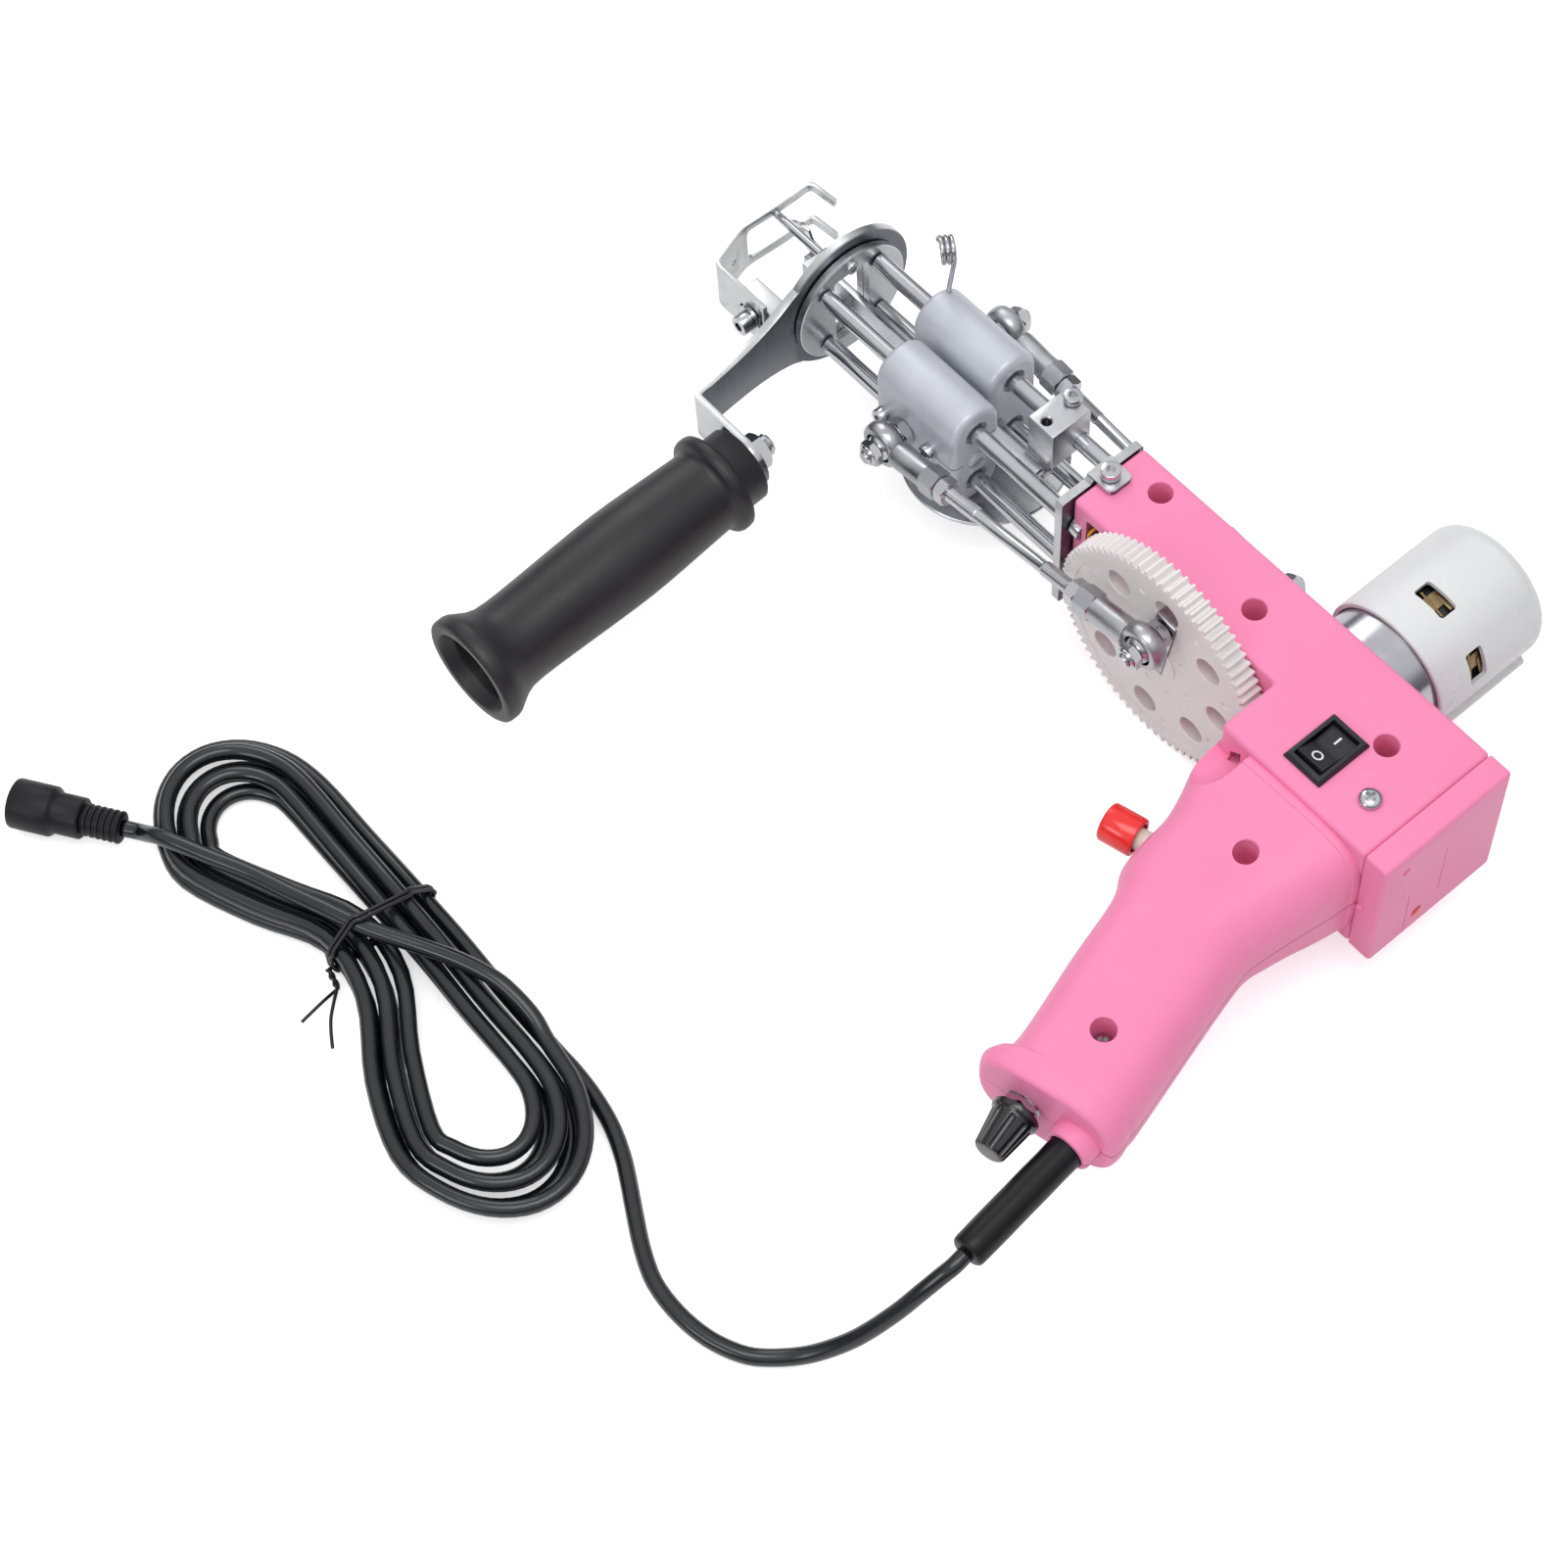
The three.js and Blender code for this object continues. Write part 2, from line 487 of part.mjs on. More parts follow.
const handleEndCut = (() => {
  const [fx, fy] = endSection.front;
  const [rx, ry] = endSection.rear;
  const normal = new THREE.Vector2(-(fy - ry), fx - rx).normalize().multiplyScalar(handle.wall);
  const far = normal.clone().multiplyScalar(housing.blockWidth / handle.wall);
  const side = new THREE.Vector2(fx - rx, fy - ry);
  const line = [
    [fx + side.x - normal.x, fy + side.y - normal.y], [fx + side.x + far.x, fy + side.y + far.y],
    [rx - side.x + far.x, ry - side.y + far.y], [rx - side.x - normal.x, ry - side.y - normal.y],
  ];
  return slab('z', line, [-housing.halfThickness, housing.halfThickness]);
})();

const cavity = joined(
  slab('z', bodyOutline(housing.wall), [-wallInner, wallInner]),
  cut(handleBody(handle.wall), handleEndCut, scoopFill));

const bearingSeat = (near, far) => rodY(bearing.radius + bearing.seatWall, [near, far], 0, 0, facets.medium);
const bearingDepth = bearing.width + seat + bearing.lip;
const motorRib = block(
  [motor.ribRear, motor.ribFront], [motor.ribNear, motor.ribFar], [-wallInner - seat, wallInner + seat]);
const columnHalf = housing.halfThickness - shellScrews.columnInset;
const inside = joined(
  ...shellScrews.places.map(([x, y]) => (
    rodZ(shellScrews.columnRadius, [-columnHalf, columnHalf], x, y))),
  bearingSeat(housing.wall - seat, bearingDepth),
  bearingSeat(housing.beamWidth - bearingDepth, housing.beamWidth - housing.wall + seat),
  motorRib,
  rodZ(coverScrew.bossRadius, [housing.halfThickness - coverScrew.length - housing.wall,
    housing.halfThickness - seat], coverScrew.x, coverScrew.y));

const bearingBore = (near, far) => rodY(bearing.radius + seat, [near, far], 0, 0, facets.medium);
const motorX = -(gear.module * (gear.teeth + pinion.teeth) / 2 + pinion.spread);
const screwPocket = (y, z) => block(
  [bracket.rear - seat - rodScrew.headHeight - seat, housing.front + overrun],
  y < housing.beamWidth / 2
    ? [-overrun, y + rodScrew.headRadius + seat]
    : [y - rodScrew.headRadius - seat, housing.beamWidth + overrun],
  [z - rodScrew.headRadius - seat, z + rodScrew.headRadius + seat]);
const rodPlaces = [
  [rods.near, rods.height], [rods.far, rods.height], [rods.near, -rods.height], [rods.far, -rods.height],
];
const triggerStart = [...trigger.front, 0];
const triggerAxis = [...trigger.direction, 0];
const knobStart = [...knob.base, 0];
const knobAxis = [...knob.direction, 0];
const sleeveStart = [...sleeve.start, 0];
const sleeveAxis = [...sleeve.direction, 0];

const openings = joined(
  bearingBore(-overrun, bearing.width + seat),
  rodY(bearing.lipRadius, [0, bearingDepth + overrun], 0, 0, facets.small),
  bearingBore(housing.beamWidth - bearing.width - seat, housing.beamWidth + overrun),
  rodY(bearing.lipRadius, [housing.beamWidth - bearingDepth - overrun, housing.beamWidth], 0, 0, facets.small),
  rodY(motor.canRadius + runningFit, [-overrun, motor.far + seat], motorX, 0, facets.large),
  rodY(motor.bossRadius + runningFit, [motor.far, motor.ribFar + overrun], motorX, 0, facets.large),
  block([sideWindow.rear, sideWindow.front], [housing.beamWidth - housing.wall - overrun,
    housing.beamWidth + overrun], [sideWindow.bottom, sideWindow.top]),
  block([housing.step - housing.wall - overrun, housing.step + overrun], [gearSlot.near, gearSlot.far],
    [-gearSlot.halfHeight, gearSlot.halfHeight]),
  block([latchSlot.rear, latchSlot.front], [housing.blockWidth - housing.wall - overrun, housing.blockWidth + seat],
    [latchSlot.bottom, latchSlot.top]),
  block([rocker.x - rocker.bodyWidth / 2 - seat, rocker.x + rocker.bodyWidth / 2 + seat],
    [rocker.y - rocker.bodyLength / 2 - seat, rocker.y + rocker.bodyLength / 2 + seat],
    [wallInner - overrun, housing.halfThickness + overrun]),
  turned(pinProfile(trigger.bushRadius + seat, 0, trigger.capLength + trigger.travel + trigger.bushLength + overrun),
    triggerStart, triggerAxis),
  turned(pinProfile(pot.bushRadius + seat, -pot.faceGap - handle.wall - overrun, 0), knobStart, knobAxis),
  turned(pinProfile(sleeve.radius + seat, -sleeve.buried, overrun), sleeveStart, sleeveAxis),
  rodZ(tabScrew.shankRadius + seat, [housing.halfThickness - tabScrew.length, housing.halfThickness + overrun],
    bracket.tabScrewX, bracket.tabScrewY),
  rodZ(coverScrew.shankRadius + seat, [housing.halfThickness - coverScrew.length - seat,
    housing.halfThickness + overrun], coverScrew.x, coverScrew.y),
  ...rodPlaces.map(([y, z]) => screwPocket(y, z)),
  ...shellScrews.places.map(([x, y]) => joined(
    rodZ(shellScrews.headHoleRadius, [shellScrews.headSeat, housing.halfThickness + overrun], x, y),
    rodZ(shellScrews.shankHoleRadius, [-shellScrews.pilotDepth, housing.halfThickness], x, y))));

const tabShape = block([bracket.tabRear - seat, housing.front + overrun], [bracket.tabLow, bracket.tabHigh],
  [housing.halfThickness, housing.halfThickness + overrun]);
const wholeShell = cut(joined(cut(outer, cavity), inside.intersect(outer)), openings, tabShape);
const reachX = [housing.rear - housing.blockWidth, housing.front + overrun];
const reachY = [-overrun, endSection.front[1] + housing.blockWidth];
const aboveSplit = block(reachX, reachY, [housing.splitGap / 2, housing.halfThickness + overrun]);
const belowSplit = block(reachX, reachY, [-housing.halfThickness - overrun, -housing.splitGap / 2]);
add('housing_upper_shell', wholeShell.intersect(aboveSplit), 'pink');
add('housing_lower_shell', wholeShell.intersect(belowSplit), 'pink');

// Rear cover, light and board
const coverFront = housing.rear - seat;
const coverRear = coverFront - rearCover.depth;
const coverBody = slab('x', rectangle(0, housing.blockWidth, -housing.halfThickness, housing.halfThickness),
  [coverRear, coverFront + overrun + housing.bevel], housing.bevel)
  .intersect(block([coverRear - overrun, coverFront], [-overrun, housing.blockWidth + overrun],
    [-housing.halfThickness - overrun, housing.halfThickness + overrun]));
const coverInside = {
  low: rearCover.wall, high: housing.blockWidth - rearCover.wall, half: housing.halfThickness - rearCover.wall,
};
add('rear_cover', cut(
  joined(coverBody, rodY(rearCover.nubRadius, [housing.blockWidth - rearCover.wall,
    housing.blockWidth + rearCover.nubHeight], coverFront - rearCover.nubRadius - seat, rearCover.nubZ, facets.hole)),
  block([coverRear + rearCover.wall, coverFront + overrun], [coverInside.low, coverInside.high],
    [-coverInside.half, coverInside.half]),
  rodX(led.radius + seat, [coverRear - overrun, coverFront], led.y, led.z, facets.hole)), 'pink');

const boardRear = coverRear + rearCover.wall + seat + led.flangeDepth + seat;
add('led_lens', turned([
  [0, 0], [led.flangeRadius, 0], [led.flangeRadius, led.flangeDepth], [led.radius, led.flangeDepth],
  [led.radius, led.flangeDepth + seat + rearCover.wall + led.show / 2],
  [led.radius / 2, led.flangeDepth + seat + rearCover.wall + led.show],
  [0, led.flangeDepth + seat + rearCover.wall + led.show],
], [boardRear - seat, led.y, led.z], [-1, 0, 0], facets.hole), 'red');

const boardMiddle = (coverInside.low + coverInside.high) / 2;
const chips = [-1, 0, 1].map((step) => block(
  [boardRear, boardRear + board.thickness + board.chipDepth],
  [boardMiddle + step * board.chipStep - board.chipHalf, boardMiddle + step * board.chipStep + board.chipHalf],
  [-board.chipHalf, board.chipHalf]));
add('circuit_board', joined(
  block([boardRear, boardRear + board.thickness], [coverInside.low + seat, coverInside.high - seat],
    [-board.halfHeight, board.halfHeight]), ...chips), 'green');

const coverScrewHead = housing.halfThickness + seat;
const crossHalf = coverScrew.headRadius / 2;
const crossWidth = coverScrew.headRadius / 7;
const crossFloor = coverScrewHead + coverScrew.headHeight / 3;
add('cover_screw', cut(turned([
  [0, -coverScrew.length], [coverScrew.shankRadius, -coverScrew.length], [coverScrew.shankRadius, 0],
  [coverScrew.headRadius, 0], [coverScrew.headRadius, coverScrew.headHeight / 2],
  [crossHalf, coverScrew.headHeight], [0, coverScrew.headHeight],
], [coverScrew.x, coverScrew.y, coverScrewHead], alongZ, facets.small),
block([coverScrew.x - crossHalf, coverScrew.x + crossHalf], [coverScrew.y - crossWidth, coverScrew.y + crossWidth],
  [crossFloor, crossFloor + overrun]),
block([coverScrew.x - crossWidth, coverScrew.x + crossWidth], [coverScrew.y - crossHalf, coverScrew.y + crossHalf],
  [crossFloor, crossFloor + overrun])), 'steel');

const handleScrewPlace = shellScrews.places[shellScrews.places.length - 1];
add('handle_shell_screw', turned([
  [0, -shellScrews.headSeat - shellScrews.pilotDepth + seat + overrun],
  [shellScrews.shankHoleRadius - seat, -shellScrews.headSeat - shellScrews.pilotDepth + seat + overrun],
  [shellScrews.shankHoleRadius - seat, seat], [shellScrews.headHoleRadius - 2 * seat, seat],
  [shellScrews.headHoleRadius - 2 * seat, seat + coverScrew.headHeight / 2],
  [crossHalf, seat + coverScrew.headHeight], [0, seat + coverScrew.headHeight],
], [...handleScrewPlace, shellScrews.headSeat], alongZ, facets.small), 'steel');

// Rocker switch
const bezelFoot = housing.halfThickness + seat;
const bezelTop = bezelFoot + rocker.bezelHeight;
const around = (centre, size) => [centre - size / 2, centre + size / 2];
add('rocker_switch_body', cut(
  joined(
    slab('z', rectangle(...around(rocker.x, rocker.bezelWidth), ...around(rocker.y, rocker.bezelLength)),
      [bezelFoot, bezelTop]),
    block(around(rocker.x, rocker.bodyWidth), around(rocker.y, rocker.bodyLength),
      [bezelFoot - rocker.bodyDepth, bezelFoot + seat])),
  block(around(rocker.x, rocker.openingWidth), around(rocker.y, rocker.openingLength),
    [bezelTop - rocker.openingDepth, bezelTop + overrun])), 'black');

const halfPaddle = rocker.openingLength / 2 - rocker.paddleEndGap;
const halfPaddleWidth = rocker.openingWidth / 2 - rocker.paddleGap;
const paddleSide = [
  [-halfPaddle, -rocker.paddleDrop / 2], [0, -rocker.paddleDrop], [halfPaddle, -rocker.paddleDrop / 2],
  [halfPaddle, rocker.paddleRise], [0, rocker.paddleRise - rocker.valley], [-halfPaddle, rocker.paddleRise],
];
const paddleGroup = new THREE.Group();
paddleGroup.position.set(rocker.x, rocker.y, bezelTop - rocker.pivotDrop);
paddleGroup.rotation.x = THREE.MathUtils.degToRad(rocker.tiltDegrees);
tool.add(paddleGroup);
add('rocker_paddle', slab('x', paddleSide, [-halfPaddleWidth, halfPaddleWidth]), 'black', paddleGroup);

// Trigger
const bushFrom = trigger.hollowFrom + trigger.travel + seat;
const bodyFrom = trigger.capLength + trigger.travel + seat + trigger.bushLength;
const bodyTo = bodyFrom + trigger.bodyLength;
const triggerTurn = Math.atan2(trigger.direction[1], trigger.direction[0]);
const switchBox = new THREE.BoxGeometry(trigger.bodyLength, 2 * trigger.bodyHalfWidth, 2 * trigger.bodyHalfHeight);
switchBox.rotateZ(triggerTurn);
switchBox.translate(
  trigger.front[0] + trigger.direction[0] * (bodyFrom + bodyTo) / 2,
  trigger.front[1] + trigger.direction[1] * (bodyFrom + bodyTo) / 2, 0);
const stemEnd = bodyFrom + trigger.bodyLength / 2;
add('trigger_switch', cut(
  joined(solidFrom(switchBox),
    turned(pinProfile(trigger.bushRadius, bushFrom, bodyFrom + seat), triggerStart, triggerAxis, facets.small)),
  turned(pinProfile(trigger.stemRadius + seat, 0, stemEnd + trigger.travel + seat), triggerStart, triggerAxis,
    facets.hole)), 'white');
add('trigger_cap', turned([
  [0, 0], [trigger.capRadius - trigger.chamfer, 0], [trigger.capRadius, trigger.chamfer],
  [trigger.capRadius, trigger.capLength], [trigger.hollowRadius, trigger.capLength],
  [trigger.hollowRadius, trigger.hollowFrom], [trigger.stemRadius, trigger.hollowFrom],
  [trigger.stemRadius, stemEnd], [0, stemEnd],
], triggerStart, triggerAxis, facets.medium), 'red');

// Speed control
const flutes = Array.from({ length: knob.flutes }, (_, i) => {
  const angle = 2 * Math.PI * i / knob.flutes;
  const axis = new THREE.Vector3(...knobAxis);
  const side = new THREE.Vector3().crossVectors(axis, new THREE.Vector3(0, 0, 1)).normalize();
  const out = side.multiplyScalar(Math.cos(angle)).add(new THREE.Vector3(0, 0, Math.sin(angle)));
  const foot = new THREE.Vector3(...knobStart).addScaledVector(axis, knob.skirtHeight + seat)
    .addScaledVector(out, knob.footRadius + knob.fluteRadius / 3);
  const lean = axis.clone().multiplyScalar(knob.height - knob.skirtHeight)
    .addScaledVector(out, knob.tipRadius - knob.footRadius);
  return turned(pinProfile(knob.fluteRadius, 0, knob.height), foot.toArray(), lean.toArray(), facets.curl);
});
add('speed_knob', cut(turned([
  [0, 0], [knob.skirtRadius, 0], [knob.skirtRadius, knob.skirtHeight], [knob.footRadius, knob.skirtHeight],
  [knob.tipRadius, knob.height - trigger.chamfer], [knob.tipRadius - trigger.chamfer, knob.height],
  [0, knob.height],
], knobStart, knobAxis, facets.medium),
...flutes,
turned(pinProfile(knob.shaftRadius + seat, -overrun, knob.bore), knobStart, knobAxis, facets.small)), 'black');

const potFace = -pot.faceGap - handle.wall - seat;
const potNutFoot = -pot.faceGap + seat;
add('potentiometer', turned([
  [0, potFace - pot.bodyLength], [pot.bodyRadius, potFace - pot.bodyLength], [pot.bodyRadius, potFace],
  [pot.bushRadius, potFace], [pot.bushRadius, potNutFoot], [pot.nutRadius, potNutFoot],
  [pot.nutRadius, potNutFoot + pot.nutHeight], [knob.shaftRadius, potNutFoot + pot.nutHeight],
  [knob.shaftRadius, knob.bore - seat], [0, knob.bore - seat],
], knobStart, knobAxis, facets.medium), 'zinc');

add('strain_relief', turned([
  [0, -sleeve.buried], [sleeve.flangeRadius, -sleeve.buried],
  [sleeve.flangeRadius, -sleeve.buried + sleeve.flangeLength],
  [sleeve.radius, -sleeve.buried + sleeve.flangeLength], [sleeve.radius, sleeve.length - sleeve.lip],
  [sleeve.radius - sleeve.lip, sleeve.length], [0, sleeve.length],
], sleeveStart, sleeveAxis, facets.medium), 'rubber');

// Drive gear, pinion, shaft and bearings
function toothedOutline(teeth, phase) {
  const pitchRadius = gear.module * teeth / 2;
  const root = pitchRadius - gear.module * gear.dedendumShare;
  const tip = pitchRadius + gear.module * gear.addendumShare;
  const step = 2 * Math.PI / teeth;
  const points = [];
  for (let i = 0; i < teeth; i += 1) {
    const middle = (i + phase) * step;
    const at = (radius, share) => points.push([
      radius * Math.cos(middle + share * step), radius * Math.sin(middle + share * step)]);
    at(root, -gear.rootHalfShare);
    at(tip, -gear.tipHalfShare);
    at(tip, gear.tipHalfShare);
    at(root, gear.rootHalfShare);
  }
  return points;
}

const polar = (radius, degrees) => {
  const angle = THREE.MathUtils.degToRad(degrees);
  return [radius * Math.cos(angle), radius * Math.sin(angle)];
};
const slotTurn = THREE.MathUtils.degToRad(needleCrank.degrees);
const radialBar = (from, to, halfWidth, span) => {
  const [c, s] = [Math.cos(slotTurn), Math.sin(slotTurn)];
  const corner = (r, w) => [r * c - w * s, r * s + w * c];
  return slab('y', [corner(from, -halfWidth), corner(to, -halfWidth), corner(to, halfWidth), corner(from, halfWidth)],
    span);
};
const gearHoles = Array.from({ length: gear.holeCount }, (_, i) => {
  const [x, z] = polar(gear.holeRing, gear.holeTurnDegrees + 360 * i / gear.holeCount);
  return rodY(gear.holeRadius, [gear.near - overrun, gear.far + overrun], x, z, facets.hole);
});
const gearDimples = dimples.degrees.map((degrees, i) => {
  const [x, z] = polar(gear.rimRadius * dimples.ringShares[i], degrees);
  return rodY(gear.dimpleRadius, [gear.far - gear.dimpleDepth, gear.far + overrun], x, z, facets.curl);
});
add('drive_gear', cut(
  slab('y', toothedOutline(gear.teeth, 0), [gear.near, gear.far]),
  ...gearHoles, ...gearDimples,
  radialBar(gear.slotFrom, gear.slotTo, gear.slotHalfWidth, [gear.near - overrun, gear.far + overrun])), 'white');

const insertSpan = [gear.near, gear.far];
const [cutterPinX, cutterPinZ] = polar(cutterCrank.radius, cutterCrank.degrees);
const crankArm = (() => {
  const turn = THREE.MathUtils.degToRad(cutterCrank.degrees) - Math.PI / 2;
  const [c, s] = [Math.cos(turn), Math.sin(turn)];
  const outline = stadium(0, 0, cutterCrank.radius, cutterCrank.halfWidth, 10)
    .map(([a, b]) => [a * c - b * s, a * s + b * c]);
  return slab('y', outline, [cutterCrank.armNear, cutterCrank.armFar]);
})();
add('crank_shaft', joined(
  rodY(shaft.radius, [cutterCrank.armNear, gear.far], 0, 0, facets.medium),
  radialBar(gear.slotFrom + shaft.insertInset, gear.slotTo - shaft.insertInset,
    gear.slotHalfWidth - shaft.insertInset, insertSpan),
  crankArm), 'steel');

function bearingSolid(near, far) {
  const bore = shaft.radius + seat;
  const shieldInner = bore + (bearing.radius - bearing.shieldRadius);
  const high = bearing.width - bearing.shieldDepth;
  return turned([
    [bore, 0], [bearing.radius, 0], [bearing.radius, bearing.width], [bearing.shieldRadius, bearing.width],
    [bearing.shieldRadius, high], [shieldInner, high], [shieldInner, bearing.width], [bore, bearing.width],
    [bore, 0],
  ], [0, near, 0], [0, Math.sign(far - near), 0], facets.medium);
}
add('gear_bearing', bearingSolid(housing.beamWidth - bearing.width, housing.beamWidth), 'steel');
add('crank_bearing', bearingSolid(bearing.width, 0), 'steel');

add('motor_pinion', joined(
  slab('y', toothedOutline(pinion.teeth, 1 / 2).map(([x, z]) => [x + motorX, z]), [gear.near, gear.far]),
  rodY(pinion.hubRadius, [gear.near - pinion.hubLength, gear.near], motorX, 0),
  rodY(pinion.shaftRadius, [motor.far - pinion.shaftInside, gear.far + seat], motorX, 0, facets.hole)), 'white');

// Motor and its cap
add('motor_can', cut(turned([
  [0, motor.near - motor.tailLength], [motor.tailRadius, motor.near - motor.tailLength],
  [motor.tailRadius, motor.near], [motor.canRadius - housing.bevel, motor.near],
  [motor.canRadius, motor.near + housing.bevel], [motor.canRadius, motor.far - housing.bevel],
  [motor.canRadius - housing.bevel, motor.far], [motor.bossRadius, motor.far],
  [motor.bossRadius, motor.far + motor.bossLength], [0, motor.far + motor.bossLength],
], [motorX, 0, 0], alongY, facets.large),
rodY(pinion.shaftRadius + seat, [motor.far - pinion.shaftInside - seat, motor.far + motor.bossLength + overrun],
  motorX, 0, facets.hole)), 'steel');

const capInner = motor.canRadius + seat;
const roundDrop = motor.capRound * (1 - Math.SQRT1_2);
const ventCuts = vents.degrees.map((degrees) => {
  const geometry = new THREE.BoxGeometry(motor.capRadius, vents.length, vents.width);
  geometry.translate(motor.capRadius, vents.y, 0);
  geometry.rotateY(-THREE.MathUtils.degToRad(degrees));
  geometry.translate(motorX, 0, 0);
  return solidFrom(geometry);
});
const lug = (() => {
  const geometry = new THREE.BoxGeometry(
    motor.lugHeight + motor.capWall, motor.lugMouth - motor.lugEnd, motor.lugWidth);
  geometry.translate(capInner + seat + (motor.lugHeight + motor.capWall) / 2,
    (motor.lugMouth + motor.lugEnd) / 2, 0);
  geometry.rotateY(-THREE.MathUtils.degToRad(motor.lugDegrees));
  geometry.translate(motorX, 0, 0);
  return solidFrom(geometry);
})();
add('motor_cap', cut(joined(turned([
  [0, motor.capEnd], [motor.capRadius - motor.capRound, motor.capEnd],
  [motor.capRadius - roundDrop, motor.capEnd + roundDrop], [motor.capRadius, motor.capEnd + motor.capRound],
  [motor.capRadius, motor.capMouth], [capInner, motor.capMouth],
  [capInner, motor.capEnd + motor.capRound], [capInner - motor.capRound / 2, motor.capEnd + motor.capWall],
  [0, motor.capEnd + motor.capWall],
], [motorX, 0, 0], alongY, facets.large), lug), ...ventCuts), 'clear');

// Guide rods, each with the screw that draws it against the bracket
rodPlaces.forEach(([y, z], i) => {
  const rodRear = bracket.front + seat;
  const headFront = bracket.rear - seat;
  const headRear = headFront - rodScrew.headHeight;
  const body = turned([
    [0, headRear], [rodScrew.headRadius, headRear], [rodScrew.headRadius, headFront],
    [rodScrew.shankRadius, headFront], [rodScrew.shankRadius, rodRear], [rods.radius, rodRear],
    [rods.radius, rods.front], [0, rods.front],
  ], [0, y, z], alongX, facets.small);
  const socket = turned(pinProfile(rodScrew.socketRadius, headRear - overrun, headRear + rodScrew.socketDepth),
    [0, y, z], alongX, 6);
  add(`guide_rod_${i + 1}`, cut(body, socket), 'steel');
});

// Rear bracket with the tab on top of the housing
const tabFoot = housing.halfThickness + seat;
const tabTop = tabFoot + bracket.tabThickness;
add('rear_bracket', cut(
  joined(
    slab('x', [
      [bracket.low + bracket.corner, -housing.halfThickness], [bracket.high - bracket.corner, -housing.halfThickness],
      [bracket.high, -housing.halfThickness + bracket.corner], [bracket.high, housing.halfThickness - bracket.corner],
      [bracket.high - bracket.corner, housing.halfThickness], [bracket.tabHigh, housing.halfThickness],
      [bracket.tabHigh, tabTop], [bracket.tabLow, tabTop], [bracket.tabLow, housing.halfThickness],
      [bracket.low + bracket.corner, housing.halfThickness],
      [bracket.low, housing.halfThickness - bracket.corner], [bracket.low, -housing.halfThickness + bracket.corner],
    ], [bracket.rear, bracket.front]),
    slab('z', [
      [bracket.tabRear, bracket.tabLow + bracket.corner], [bracket.tabRear + bracket.corner, bracket.tabLow],
      [bracket.front, bracket.tabLow], [bracket.front, bracket.tabHigh],
      [bracket.tabRear + bracket.corner, bracket.tabHigh], [bracket.tabRear, bracket.tabHigh - bracket.corner],
    ], [tabFoot, tabTop])),
  ...rodPlaces.map(([y, z]) => (
    rodX(rodScrew.holeRadius, [bracket.rear - overrun, bracket.front + overrun], y, z, facets.hole))),
  rodZ(tabScrew.shankRadius + seat, [tabFoot - overrun, tabTop + overrun], bracket.tabScrewX, bracket.tabScrewY,
    facets.hole)), 'zinc');
add('bracket_tab_screw', socketScrew(tabScrew, [bracket.tabScrewX, bracket.tabScrewY, tabTop + seat], alongZ,
  tabScrew.length), 'steel');

// Carriages
function carriageBody(y, rear, front) {
  const outline = (inset) => stadium(y, -rods.height, rods.height, carriage.radius - inset, facets.wire);
  const core = slab('x', outline(0), [rear + carriage.chamfer, front - carriage.chamfer]);
  const long = slab('x', outline(carriage.chamfer), [rear, front]);
  const boreRadius = rods.radius + runningFit;
  const bores = [rods.height, -rods.height].map((z) => joined(
    rodX(boreRadius, [rear - overrun, front + overrun], y, z, facets.small),
    rodX(boreRadius + carriage.counterStep, [rear - overrun, rear + carriage.counterDepth], y, z, facets.small),
    rodX(boreRadius + carriage.counterStep, [front - carriage.counterDepth, front + overrun], y, z, facets.small)));
  return cut(joined(core, long), ...bores);
}

const needleFace = rods.far + carriage.radius;
const cutterFace = rods.near - carriage.radius;
const keeper = (() => {
  const span = [needleBlock.rear - keeperRing.thickness, needleBlock.rear + seat];
  const hole = [needleBlock.rear - keeperRing.thickness - overrun, needleBlock.rear - seat];
  return cut(rodX(keeperRing.outer, span, rods.far, keeperRing.z),
    rodX(keeperRing.inner, hole, rods.far, keeperRing.z, facets.hole),
    block(hole, [rods.far, rods.far + 2 * keeperRing.outer], around(keeperRing.z, keeperRing.gapWidth)));
})();
const carriageScrews = needleBlock.screws.map(([x, z]) => cut(
  rodY(needleBlock.screwRadius, [needleFace - seat, needleFace + needleBlock.screwHead], x, z),
  hexAlong(needleBlock.screwRadius, needleFace + needleBlock.screwHead / 2, needleFace + 2 * needleBlock.screwHead,
    [x, 0, z], alongY)));
add('needle_carriage', cut(
  joined(carriageBody(rods.far, needleBlock.rear, needleBlock.front), keeper, ...carriageScrews),
  block([needleBlock.rear - overrun, needleBlock.front + overrun],
    [rods.far - carriage.radius - overrun, needleBar.high + seat], [needleBar.bottom - seat, needleBar.top + seat]),
  rodY(pivotBolt.radius + seat, [needleFace - pivotSpacer.buried - seat, needleFace + overrun],
    needleRod.frontX, 0, facets.hole)), 'grey');
add('cutter_carriage', cut(
  carriageBody(rods.near, cutterBlock.rear, cutterBlock.front),
  block([cutterBlock.rear - overrun, cutterBlock.front + overrun],
    [cutterBar.low - seat, rods.near + carriage.radius + overrun], [cutterBar.bottom - seat, cutterBar.top + seat]),
  rodY(pivotBolt.radius + seat, [cutterFace - overrun, cutterFace + pivotSpacer.buried + seat],
    cutterRod.frontX, 0, facets.hole),
  rodZ(eyelet.wireRadius + seat, [rods.height + carriage.radius - eyelet.holeDepth, rods.height + 2 * carriage.radius],
    eyelet.x, eyelet.y, facets.hole)), 'grey');

